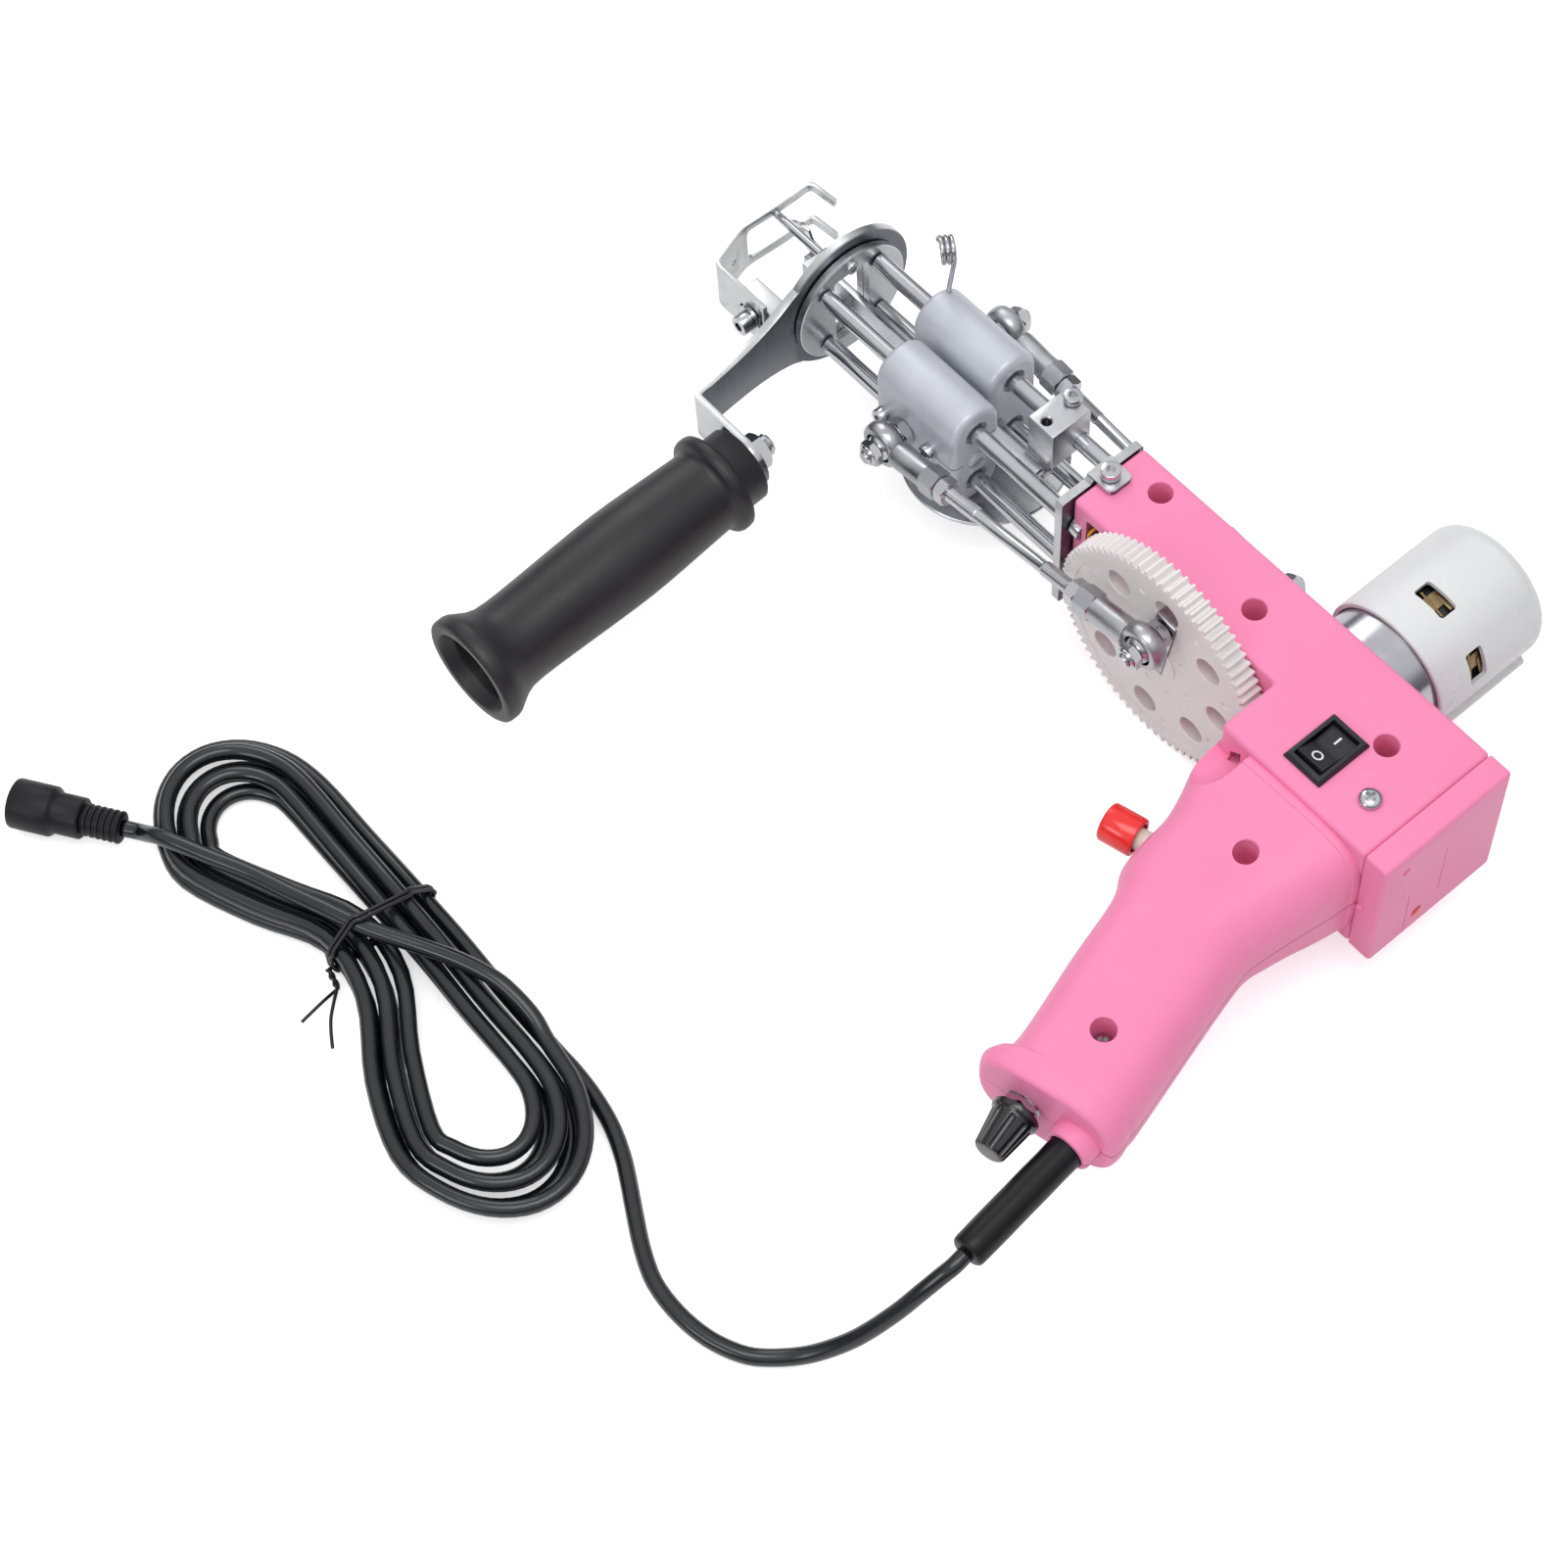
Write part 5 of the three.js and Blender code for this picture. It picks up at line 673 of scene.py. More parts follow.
# Skins over rings of points
def skin(name, rings):
    count = len(rings[0])
    points = [tuple(p) for ring in rings for p in ring]
    faces = []
    for i in range(len(rings) - 1):
        for k in range(count):
            a, b = i * count + k, i * count + (k + 1) % count
            faces.append((a, b, b + count, a + count))
    faces += [tuple(range(count)), tuple(range(len(points) - count, len(points)))]
    obj = meshObject(name, points, faces=faces)
    cleanMesh(obj)
    return obj


# Housing: beam, block and handle in two shells that meet at the middle
housing = {
    "front": 46.2, "step": -40.5, "rear": -99, "beam": 29.2, "block": 50.9, "half": 26.5, "wall": 3,
    "round": 1.7, "gap": 0.15, "tabScrew": (44.1, 15.8), "coverScrew": (-86.9, 36.9), "column": 5.1,
    "pocket": 3.8,
    "screws": [(30.4, 7.9, 26.4), (-18.4, 16.1, 26.4), (-77.2, 20.4, 26.4), (-73.8, 72.9, 21.9),
               (-87, 140.2, 17.9)],
}
handle = {
    "front": [(-41.5, 44), (-39.6, 49), (-39.2, 52.5), (-39.5, 60), (-43.4, 69.5), (-46, 78), (-46.8, 88),
              (-48.5, 97), (-54, 106), (-60, 127), (-69, 157), (-66.5, 163), (-65.5, 166.5), (-68, 170)],
    "rear": [(-97.5, 44), (-98.6, 48.6), (-98.8, 52), (-98.5, 58), (-97.5, 66), (-96.5, 73), (-95.5, 82),
             (-95, 90), (-96.5, 98), (-101.5, 117), (-109.5, 146), (-110.5, 151), (-111.8, 155.5),
             (-111.8, 159.5)],
    "half": [21, 23, 24.6, 24, 22.5, 21, 20, 19, 18, 18, 18, 18, 17.5, 16.5],
    "rootPower": 5, "gripPower": 2.8, "points": 72, "parts": 5, "hollowEnd": 12.3,
    "band": (-0.35, 2.28), "ends": [(12.6, 0), (12.8, 0.25), (12.92, 0.7), (12.98, 1.2), (13, 1.9)],
}
sleeve = {
    "start": (-101.7, 168, 0), "direction": (-0.107, 0.994, 0), "collar": 7.5, "collarDepth": 8,
}
trigger = {"front": (-31.2, 86.6, 0), "direction": (-0.966, -0.259, 0)}
knob = {"base": (-83.9, 169.6, 0), "direction": (-0.2525, 0.9676, 0), "foot": 6.6, "tip": 4.8, "flutes": 9}
motorAt = Vector((-48.3, 0, 0))
guides = {"low": 5.3, "high": 27.4, "apart": 12}
rodPlaces = [(y, z) for z in (guides["apart"], -guides["apart"]) for y in (guides["low"], guides["high"])]


def bodyOutline(inset):
    front, step, rear = housing["front"] - inset, housing["step"] - inset, housing["rear"] + inset
    beam, block = housing["beam"] - inset, housing["block"] - inset
    return [(front, inset), (front, beam), (step, beam), (step, block), (rear, block), (rear, inset)]


def between(values, place):
    i = min(int(place), len(values) - 2)
    return smoothStep(values, i, place - i)


def handleRing(place, inset):
    front = Vector([between([p[k] for p in handle["front"]], place) for k in (0, 1)])
    rear = Vector([between([p[k] for p in handle["rear"]], place) for k in (0, 1)])
    share = min(2 * place / (len(handle["half"]) - 1), 1)
    power = handle["rootPower"] + (handle["gripPower"] - handle["rootPower"]) * share
    middle, across = (front + rear) / 2, front - rear
    halfLength, halfHeight = across.length / 2 - inset, between(handle["half"], place) - inset
    across.normalize()
    ring = []
    for k in range(handle["points"]):
        angle = 2 * math.pi * k / handle["points"]
        c, s = math.cos(angle), math.sin(angle)
        along = math.copysign(abs(c) ** (2 / power), c) * halfLength
        ring.append((middle.x + across.x * along, middle.y + across.y * along,
                     math.copysign(abs(s) ** (2 / power), s) * halfHeight))
    return ring


def handleBody(inset):
    parts, ends = handle["parts"], handle["ends"]
    steps = [i / parts for i in range(int(ends[0][0] * parts))]
    if inset:
        places = [(place, 0) for place in steps if place < handle["hollowEnd"]]
    else:
        proud, bandEnd = handle["band"]
        places = [(place, proud if place < bandEnd else 0) for place in steps]
        places = sorted(places + [(bandEnd, proud * 0.9), (bandEnd + 0.03, proud * 0.1)]) + ends
    return skin("handle", [handleRing(place, inset + more) for place, more in places])


def roundBox(name, x, y, z, width, segments=3):
    return softenEdges(box(name, x, y, z), width, 40, segments)


scoop = {"x": -41.5, "z": 24.5, "radius": 11.3, "straight": 8, "wall": 3}


def makeScoop():  # the trough for a finger tip beside the block, with a round end
    radius, straight = scoop["radius"], scoop["straight"]
    end = [(y, x) for x, y in arc(straight, 0, radius, 90, 0, 14)]
    return turned("scoop", [(0, -0.3), (radius, -0.3), *end], (scoop["x"], housing["block"], scoop["z"]),
                  yAxis, 72)


def makeShells():
    # the block stands beside the beam, with a scoop where the handle leaves it
    whole = slab("shell", bodyOutline(0), -housing["half"], housing["half"])
    softenEdges(whole, housing["round"], 40, 4)
    combine(whole, carve(handleBody(0), makeScoop()), "UNION")
    combine(whole, turned("collar", [
        (0, -sleeve["collarDepth"]), (sleeve["collar"], -sleeve["collarDepth"]), (sleeve["collar"], -1.6),
        (sleeve["collar"] - 0.5, -0.8), (sleeve["collar"] - 1.2, -0.6), (0, -0.6)],
        sleeve["start"], sleeve["direction"], 64), "UNION")
    wall, block = housing["wall"], housing["block"]
    inner = housing["half"] - wall
    hollow = slab("hollow", bodyOutline(wall), -inner, inner)
    softenEdges(hollow, 1)
    reach = scoop["radius"] + scoop["wall"]
    scoopFill = box("scoopFill", (scoop["x"] - reach, 0), (block - wall, block + scoop["straight"] + reach),
                    (scoop["z"] - reach, 60))
    handleHollow = carve(handleBody(wall), scoopFill)
    carve(whole, hollow, handleHollow)
    for x, y, rim in housing["screws"]:
        end = rim - 1.6
        combine(whole, rod("column", housing["column"], -end, end, (x, y, 0), steps=48), "UNION")
    for x, y, rim in housing["screws"]:
        carve(whole, turned("screwHole", [
            (0, -12), (1.7, -12), (1.7, 8), (3.6, 8), (3.8, 9), (3.85, rim - 0.25), (4.05, rim), (4.1, 30),
            (0, 30)], (x, y, 0), steps=56))
    carve(whole, rod("canHole", 21.35, -2, 20.3, motorAt, yAxis, 96),
          rod("bossHole", 8.9, 19, 25, motorAt, yAxis, 48))
    carve(whole, rod("bearingHole", 11.3, -2, 7.3, (0, 0, 0), yAxis, 72),
          rod("bearingHole", 11.3, 21.9, 32, (0, 0, 0), yAxis, 72),
          rod("shaftHole", 8, 0, 30, (0, 0, 0), yAxis, 48))
    carve(whole, roundBox("sideWindow", (22, 40), (24, 32), (-14, 22), 1.2),
          roundBox("gearSlot", (-45, -38), (28.4, 39), (-11, 11), 0.8),
          slab("latchSlot", [
              (-49.1, 15.4), (-47.4, 12.7), (-45.1, 12.3), (-45.1, 17.2), (-49.1, 20)], 45, 52, "y"),
          roundBox("rockerHole", (-73.8, -60.4), (24.9, 44.5), (20, 30), 0.5))
    carve(whole, rod("bushHole", 3.8, 0, 30, trigger["front"], trigger["direction"], 40),
          rod("potHole", 3.8, -9, 0, knob["base"], knob["direction"], 40),
          rod("sleeveHole", 5.8, -13.4, 3, sleeve["start"], sleeve["direction"], 56),
          rod("tabHole", 1.7, 18, 30, (*housing["tabScrew"], 0)),
          rod("coverHole", 1.7, 12, 30, (*housing["coverScrew"], 0)))
    reach = housing["pocket"]
    for y, z in rodPlaces:
        side = (-3, y + reach) if y == guides["low"] else (y - reach, 32)
        carve(whole, box("screwPocket", (41.9, 49), side, (z - reach, z + reach)))
    carve(whole, roundBox("tabSeat", (38.7, 50), (10.6, 20.8), (26.5, 30), 0.3, 1))
    return whole


def halfOf(obj, name, upper):
    piece = newObject(name, obj.data.copy())
    openMesh(piece)
    bpy.ops.mesh.bisect(
        plane_co=(0, 0, housing["gap"] if upper else -housing["gap"]), plane_no=(0, 0, 1), use_fill=True,
        clear_inner=upper, clear_outer=not upper)
    bpy.ops.object.mode_set(mode="OBJECT")
    return piece


wholeShell = makeShells()
upperShell = halfOf(wholeShell, "upperShell", True)
lowerShell = halfOf(wholeShell, "lowerShell", False)
bpy.data.objects.remove(wholeShell)
finish(upperShell, "upperShell", "tool_body", pinkLook, ["housing_upper_shell"], 32)
finish(lowerShell, "lowerShell", "tool_body", pinkLook, ["housing_lower_shell"], 32)
print("shells done")

# Rear cover with its light and board
cover = {"front": -99.3, "rear": -107.5, "wall": 2.4, "led": (-103.4, 32.1, -17.9)}


def makeCover():
    half, wall, rear = housing["half"], cover["wall"], cover["rear"]
    body = box("cover", (rear, cover["front"] + 4), (0, housing["block"]), (-half, half))
    softenEdges(body, 1.3, 40, 4)
    carve(body, box("cutOff", (cover["front"], 0), (-9, 60), (-30, 30)),
          box("hollow", (rear + wall, -95), (wall, housing["block"] - wall), (wall - half, half - wall)),
          rod("ledHole", 2.2, rear - 1, -90, (0, *cover["led"][1:]), xAxis, 40),
          turned("dimple", [(0, -0.5), (1.1, -0.5), (1.6, 0.4), (1.6, 3), (0, 3)],
                 (rear + 0.3, 41.5, 17.2), (-1, 0, 0), 40),
          box("mouldLine", (rear - 1, rear + 0.2), (23.75, 24.05), (-14, 11)),
          box("mouldLine", (rear - 1, rear + 0.2), (37.05, 37.35), (-24.7, -2.5)))
    nub = turned("nub", [(0, -3), (1.2, -3), (1.2, 0.8), (0.9, 1.1), (0, 1.1)],
                 (-100.8, housing["block"], -1.1), yAxis, 32)
    return joinUp("rearCover", [body, nub])


finish(makeCover(), "rearCover", "tool_body", pinkLook, ["rear_cover"])
led = turned("ledLens", [
    (0, 0), (2.3, 0), (2.3, 1), (2.15, 1), (2.15, 4.1), (1.9, 4.45), (1.2, 4.66), (0, 4.7)],
    cover["led"], (-1, 0, 0), 40)
finish(led, "ledLens", "tool_body", lampLook, ["led_lens"])
finish(mergedCopy("circuit_board", "board", 0.1), "board", "tool_body", boardLook,
       ["circuit_board"])
coverScrew = panScrew("coverScrew", 3.6, 2.1, (*housing["coverScrew"], 26.8), 12, 1.4)
finish(coverScrew, "coverScrew", "tool_body", chromeLook, ["cover_screw"])
handleScrew = panScrew("handleScrew", 3.3, 2.1, (*housing["screws"][4][:2], 8.3), 17, 1.4)
finish(handleScrew, "handleScrew", "tool_body", chromeLook, ["handle_shell_screw"])

# Rocker switch, its marks printed on the paddle
rocker = {
    "x": -67.1, "y": 34.7, "bezel": (15, 21), "low": 26.8, "high": 28.6, "opening": (10.8, 16.4),
    "body": (12.8, 19), "pivot": 25.2, "tilt": 9, "halfLength": 7.4, "halfWidth": 5, "rise": 2.9,
    "valley": 1.2, "drop": 2.4, "mark": 4.2, "ink": 0.12,
}


def footprint(size):  # the spans of a width and a length round the switch's middle
    return [(rocker[axis] - length / 2, rocker[axis] + length / 2) for axis, length in zip("xy", size)]


def makeBezel():
    low, high = rocker["low"], rocker["high"]
    plate = box("bezel", *footprint(rocker["bezel"]), (low, high))
    pick(plate)
    bpy.ops.object.mode_set(mode="EDIT")
    bpy.ops.mesh.select_mode(type="FACE")
    bpy.ops.mesh.select_all(action="DESELECT")
    bpy.ops.object.mode_set(mode="OBJECT")
    for face in plate.data.polygons:
        face.select = face.normal.z > 0.9
    bpy.ops.object.mode_set(mode="EDIT")
    bpy.ops.transform.resize(value=(0.87, 0.9, 1), center_override=(rocker["x"], rocker["y"], high))
    bpy.ops.object.mode_set(mode="OBJECT")
    softenEdges(plate, 0.35, 20, 3)
    combine(plate, box("body", *footprint(rocker["body"]), (low - 16, low + 0.3)), "UNION")
    return carve(plate, roundBox("opening", *footprint(rocker["opening"]), (high - 8, high + 2), 0.4, 2))


def paddleTop(y):  # two flats that meet in a soft valley
    share = min(abs(y) / rocker["halfLength"], 1)
    return rocker["rise"] - rocker["valley"] * (1 - share) ** 1.3


def makePaddle():
    length = rocker["halfLength"]
    rows = [length * math.sin(math.pi / 2 * i / 12) for i in range(-12, 13)]
    outline = [(y, paddleTop(y)) for y in rows[::-1]]
    outline += [(-length, -rocker["drop"] / 2), (0, -rocker["drop"]), (length, -rocker["drop"] / 2)]
    paddle = slab("paddle", outline, -rocker["halfWidth"], rocker["halfWidth"], "x")
    return softenEdges(paddle, 0.4, 50, 3)


def makeMark(kind):
    place, ink = rocker["mark"], rocker["ink"]
    if kind == "bar":
        mark = box("markBar", (-0.32, 0.32), (-place - 1.5, -place + 1.5), (0, ink))
    else:
        mark = turned("markRing", [
            (1.25, 0), (1.8, 0), (1.8, ink), (1.25, ink)], (0, place, 0), steps=48, ring=True)
    for vertex in mark.data.vertices:
        vertex.co.z += paddleTop(vertex.co.y) - 0.05
    return mark


paddleTurn = Matrix.Translation((rocker["x"], rocker["y"], rocker["pivot"])) @ Matrix.Rotation(
    math.radians(rocker["tilt"]), 4, "X")
finish(makeBezel(), "rockerBezel", "tool_body", blackLook, ["rocker_switch_body"])
finish(spread(makePaddle(), paddleTurn), "rockerPaddle", "rocker", blackLook,
       ["rocker_paddle"], 25)
rockerMarks = joinUp("rockerMarks", [makeMark("bar"), makeMark("ring")])
finish(spread(rockerMarks, paddleTurn), "rockerMarks", "rocker", markLook)

# Trigger button, bush and switch
triggerCap = turned("triggerCap", [
    (0, 0), (3.4, 0.02), (5.2, 0.12), (5.75, 0.35), (6.1, 0.75), (6.25, 1.3), (6.25, 10.9), (6.05, 11.35),
    (5.7, 11.5), (4.9, 11.5), (4.7, 11.3), (4.7, 5.2), (4.5, 5), (2, 5), (2, 28.7), (0, 28.7)],
    trigger["front"], trigger["direction"], 72)
finish(triggerCap, "triggerCap", "trigger", redLook, ["trigger_cap"])
bush = turned("bush", [
    (2.3, 8.05), (3.2, 8.05), (3.5, 8.35), (3.5, 22.3), (2.3, 22.3)],
    trigger["front"], trigger["direction"], 48, True)
switchBody = spread(
    softenEdges(box("switch", (22.2, 35.2), (-6, 6), (-5, 5)), 0.4),
    Matrix.Translation(trigger["front"])
    @ Matrix.Rotation(math.atan2(trigger["direction"][1], trigger["direction"][0]), 4, "Z"))
finish(joinUp("triggerSwitch", [bush, switchBody]), "triggerSwitch", "tool_body", bushLook,
       ["trigger_switch"])
print("switches done")


# Speed knob with fluted sides and a skirt, and the potentiometer below it
def makeKnob():
    body = turned("knob", [
        (0, 0), (7.2, 0), (7.5, 0.3), (7.5, 1.7), (7.2, 2.2), (6.75, 2.45), (6.6, 2.8), (5.05, 13.2),
        (4.9, 14), (4.55, 14.6), (4, 14.92), (3.4, 15), (0, 14.8)], steps=108)
    cutters = []
    for i in range(knob["flutes"]):
        angle = 2 * math.pi * i / knob["flutes"]
        foot = Vector((math.cos(angle), math.sin(angle), 0))
        lean = zAxis * 12.6 + foot * (knob["tip"] - knob["foot"])
        cutters.append(turned("flute", [
            (0, 0), (0.7, 0.1), (1.15, 0.6), (1.25, 1.4), (1.25, 16), (0, 16)],
            foot * (knob["foot"] + 0.45) + zAxis * 3.1, lean, 24))
    carve(body, joinUp("flutes", cutters), rod("shaftHole", 3.3, -1, 11.5, steps=40))
    return spread(body, Matrix.Translation(knob["base"]) @ aim(knob["direction"]))


finish(makeKnob(), "speedKnob", "knob", knobLook, ["speed_knob"], 40)
potNut = nut("potNut", 10, -3.1, -0.9, knob["base"], knob["direction"])
potWasher = turned("potWasher", [
    (3.2, -3.4), (5.6, -3.4), (5.6, -3.05), (3.2, -3.05)], knob["base"], knob["direction"], 56, True)
potShaft = turned("potShaft", [
    (0, -15.2), (8, -15.2), (8, -6.7), (3.5, -6.7), *threadProfile(3.5, -6.6, -0.5, 0.7), (3, -0.5),
    (3, 11.2), (0, 11.2)], knob["base"], knob["direction"])
finish(joinUp("potentiometer", [potNut, potWasher, potShaft]), "potentiometer", "tool_body",
       chromeLook, ["potentiometer"])

# Cord sleeve: heat-shrink over the cord's first length, its end drawn in unevenly
sleevePiece = turned("cordSleeve", [
    (0, -13.4), (7, -13.4), (7, -11), (5.5, -11), (5.5, 2), (5.42, 6), (5.5, 12), (5.46, 20), (5.5, 30),
    (5.44, 36), (5.4, 39.4), (5.15, 40.4), (4.5, 40.9), (2.7, 41), (0, 41)],
    sleeve["start"], sleeve["direction"], 64)
finish(sleevePiece, "cordSleeve", "tool_body", rubberLook, ["strain_relief"], 50)

# Drive gear with the steel insert of its crank pin, and the crank shaft
gear = {
    "near": gearNear, "far": 37.6, "teeth": 80, "root": 38.8, "tip": 41, "holeRing": 27.3, "hole": 4.75,
    "holes": 8, "turn": 6, "slot": (-5, 25), "slotHalf": 4.3, "slotTurn": 98, "pin": 19.3,
    "dimples": [(0.83, 26), (0.78, 75), (0.84, 120), (0.8, 165), (0.82, -145), (0.79, -102), (0.33, -81),
                (0.38, -117), (0.4, -161), (0.36, 145)],
}


def toothOutline(teeth, root, tip, phase=0):
    step = 2 * math.pi / teeth
    points = []
    for i in range(teeth):
        middle = (i + phase) * step
        for radius, share in ((root, -0.36), (root + 0.25, -0.31), ((root + tip) / 2, -0.215),
                              (tip - 0.12, -0.13), (tip, -0.1), (tip, 0.1), (tip - 0.12, 0.13),
                              ((root + tip) / 2, 0.215), (root + 0.25, 0.31), (root, 0.36)):
            points.append((radius * math.cos(middle + share * step),
                           radius * math.sin(middle + share * step)))
    return points


def polar(radius, degrees):
    return radius * math.cos(math.radians(degrees)), radius * math.sin(math.radians(degrees))


def radialBar(name, from_, to, half, low, high):
    bar = box(name, (from_, to), (low, high), (-half, half))
    return spread(bar, Matrix.Rotation(-math.radians(gear["slotTurn"]), 4, "Y"))


def makeGear():
    outline = toothOutline(gear["teeth"], gear["root"], gear["tip"])
    wheel = slab("gear", outline, gear["near"], gear["far"], "y")
    cutters = []
    for i in range(gear["holes"]):
        x, z = polar(gear["holeRing"], gear["turn"] + 360 * i / gear["holes"])
        cutters.append(turned("hole", [
            (0, 28), (gear["hole"] + 0.35, 28), (gear["hole"] + 0.35, 30), (gear["hole"], 30.4),
            (gear["hole"], 36.9), (gear["hole"] + 0.3, 37.2), (gear["hole"] + 0.35, 39), (0, 39)],
            (x, 0, z), yAxis, 64))
    for share, degrees in gear["dimples"]:
        x, z = polar(38 * share, degrees)
        cutters.append(turned("dimple", [
            (0, 36.6), (0.7, 36.6), (1.2, 36.75), (1.5, 37.1), (1.55, 39), (0, 39)], (x, 0, z), yAxis, 32))
    carve(wheel, joinUp("holes", cutters),
          radialBar("slot", gear["slot"][0], gear["slot"][1], gear["slotHalf"], 28, 39))
    # shallow turned faces between hub and rim
    for low, high, inner, outer in ((37.2, 39, 8.6, 35.6), (28, 30.35, 30, 37)):
        ring = turned("recess", [(inner, low), (outer, low), (outer + 0.2, high), (inner - 0.2, high)],
                      (0, 0, 0), yAxis, 160, True)
        carve(wheel, ring)
    return wheel


finish(makeGear(), "driveGear", "drive", nylonLook, ["drive_gear"], 25)

crank = {"radius": 13.7, "degrees": -107, "half": 6.5, "near": -5.3, "far": -0.8}


def makeCrankShaft():
    insert = softenEdges(radialBar("insert", -4.7, 24.7, 4, gear["near"], gear["far"]), 0.3)
    pin = turned("shaft", [
        (0, -5.3), (4, -5.3), (4, 37.2), (3.7, 37.6), (0, 37.6)], (0, 0, 0), yAxis, 56)
    outline = arc(0, crank["radius"], crank["half"], 0, 180, 24) + arc(0, 0, crank["half"], 180, 360, 24)
    arm = softenEdges(slab("arm", outline, crank["near"], crank["far"], "y"), 0.4)
    spread(arm, Matrix.Rotation(-math.radians(crank["degrees"] - 90), 4, "Y"))
    end = turned("centre", [(0, -5.6), (1, -5.45), (2.4, -5.3), (2.4, -5), (0, -5)], (0, 0, 0), yAxis, 32)
    return joinUp("crankShaft", [insert, pin, arm, end])


finish(makeCrankShaft(), "crankShaft", "drive", steelLook, ["crank_shaft"])


def makeBearing(name, near, side):
    return turned(name, [
        (4.3, 0.3), (4.6, 0), (6, 0), (6, 0.4), (9.3, 0.4), (9.3, 0), (10.7, 0), (11, 0.3), (11, 6.7),
        (10.7, 7), (9.4, 7), (9.4, 6.4), (6, 6.6), (6, 7), (4.6, 7), (4.3, 6.7)],
        (0, near, 0), (0, side, 0), 80, True)


for name, node, near, side in (
        ("gearBearing", "gear_bearing", 22.2, 1), ("crankBearing", "crank_bearing", 7, -1)):
    finish(makeBearing(name, near, side), name, "tool_body", chromeLook, [node])

pinionTeeth = [(x + motorAt.x, z) for x, z in toothOutline(16, 6.8, 9, 0.5)]
pinionPiece = joinUp("motorPinion", [
    slab("teeth", pinionTeeth, gear["near"], gear["far"], "y"),
    turned("hub", [(0, 28.6), (5.2, 28.6), (5.4, 28.8), (5.4, 30.1), (0, 30.1)], motorAt, yAxis, 48),
    turned("shaft", [(0, 12), (2.5, 12), (2.5, 37.6), (2.2, 37.9), (0, 37.9)], motorAt, yAxis, 32)])
finish(pinionPiece, "motorPinion", "pinion", nylonLook, ["motor_pinion"], 25)
print("drive done")


# Motor: steel can, black end bell with brass brush holders, and the milky cap over them
def aboutMotor(degrees):
    return Matrix.Translation(motorAt) @ Matrix.Rotation(-math.radians(degrees), 4, "Y")


can = turned("motorCan", [
    (0, -22), (20.2, -22), (20.6, -21.8), (21, -21.4), (21, 18.4), (20.7, 19.3), (20, 19.85), (19.2, 20),
    (8.5, 20), (8.5, 22), (8.1, 22.4), (2.8, 22.4), (2.8, 14), (0, 14)], motorAt, yAxis, 128)
finish(can, "motorCan", "tool_body", motorLook, ["motor_can"])
bell = turned("motorBell", [
    (0, -49), (8.6, -49), (9, -48.6), (9, -45), (17, -45), (18.6, -44.4), (19.2, -43), (19.2, -36),
    (18, -35.5), (18, -31), (19.6, -30.5), (19.6, -22.1), (0, -22.1)], motorAt, yAxis, 96)
for angle in (68, 120, 185, 250, 310):
    spoke = box("rib", (17.5, 20.4), (-44, -22.5), (-1.2, 1.2))
    softenEdges(spoke, 0.3)
    spread(spoke, aboutMotor(angle))
    bell = joinUp("motorBell", [bell, spoke])
finish(bell, "motorBell", "tool_body", blackLook)
brushAngles = (94, 158, -86, -22)
brushes = []
for angle in brushAngles:
    holder = box("holder", (17.8, 20.6), (-33.5, -25.6), (-3, 2.2))
    clip = box("clip", (19.8, 20.9), (-31.2, -29.8), (-0.8, 5))
    stem = rod("stem", 0.55, -5, 5, (20.3, -27, 0), (0, 0.1, 1), 16)
    for piece in (holder, clip):
        softenEdges(piece, 0.25)
    brushes.append(spread(joinUp("brush", [holder, clip, stem]), aboutMotor(angle)))
finish(joinUp("brushHolders", brushes), "brushHolders", "tool_body", brassLook)

cap = {"radius": 23, "inner": 21.3, "mouth": -12, "end": -59, "round": 6.4, "innerRound": 3.6, "lug": -142}


def makeCap():
    bend, innerBend = cap["round"], cap["innerRound"]
    rounding = arc(cap["radius"] - bend, cap["end"] + bend, bend, -90, 0, 8)
    inside = arc(cap["inner"] - innerBend, cap["end"] + 5.3, innerBend, 0, -90, 8)
    shell = turned("cap", [
        (0, cap["end"] + 0.3), (13, cap["end"] + 0.3), (13.4, cap["end"]), *rounding, (cap["radius"], -12.5),
        (cap["radius"] - 0.3, cap["mouth"]), (cap["inner"] + 0.2, cap["mouth"]), (cap["inner"], -12.3),
        *inside, (0, cap["end"] + 1.7)], motorAt, yAxis, 128)
    lug = box("lug", (21.6, 25.9), (-52, -12.3), (-3.5, 3.5))
    softenEdges(lug, 1.2, 40, 3)
    combine(shell, spread(lug, aboutMotor(cap["lug"])), "UNION")
    carve(shell, rod("inside", cap["inner"], -53, -5, motorAt, yAxis, 128))
    for angle in brushAngles:
        carve(shell, spread(roundBox("vent", (16, 27), (-31.25, -24.75), (-6, 6), 1), aboutMotor(angle)))
    return shell


finish(makeCap(), "motorCap", "tool_body", milkyLook, ["motor_cap"], 30)
print("motor done")

# Guide rods with the screws that draw them against the bracket
for i, (y, z) in enumerate(rodPlaces):
    bar = turned("rod", [
        (0, 49.8), (2.7, 49.8), (3, 50.1), (3, 162.7), (2.6, 163.1), (0, 163.1)], (0, y, z), xAxis, 48)
    screw = capScrew("head", 3.5, 4, 1.5, 2, (46.2, y, z), (-1, 0, 0), 5, 1.5)
    finish(joinUp("guideRod", [bar, screw]), "guideRod" + str(i + 1), "tool_body", chromeLook,
           ["guide_rod_" + str(i + 1)])


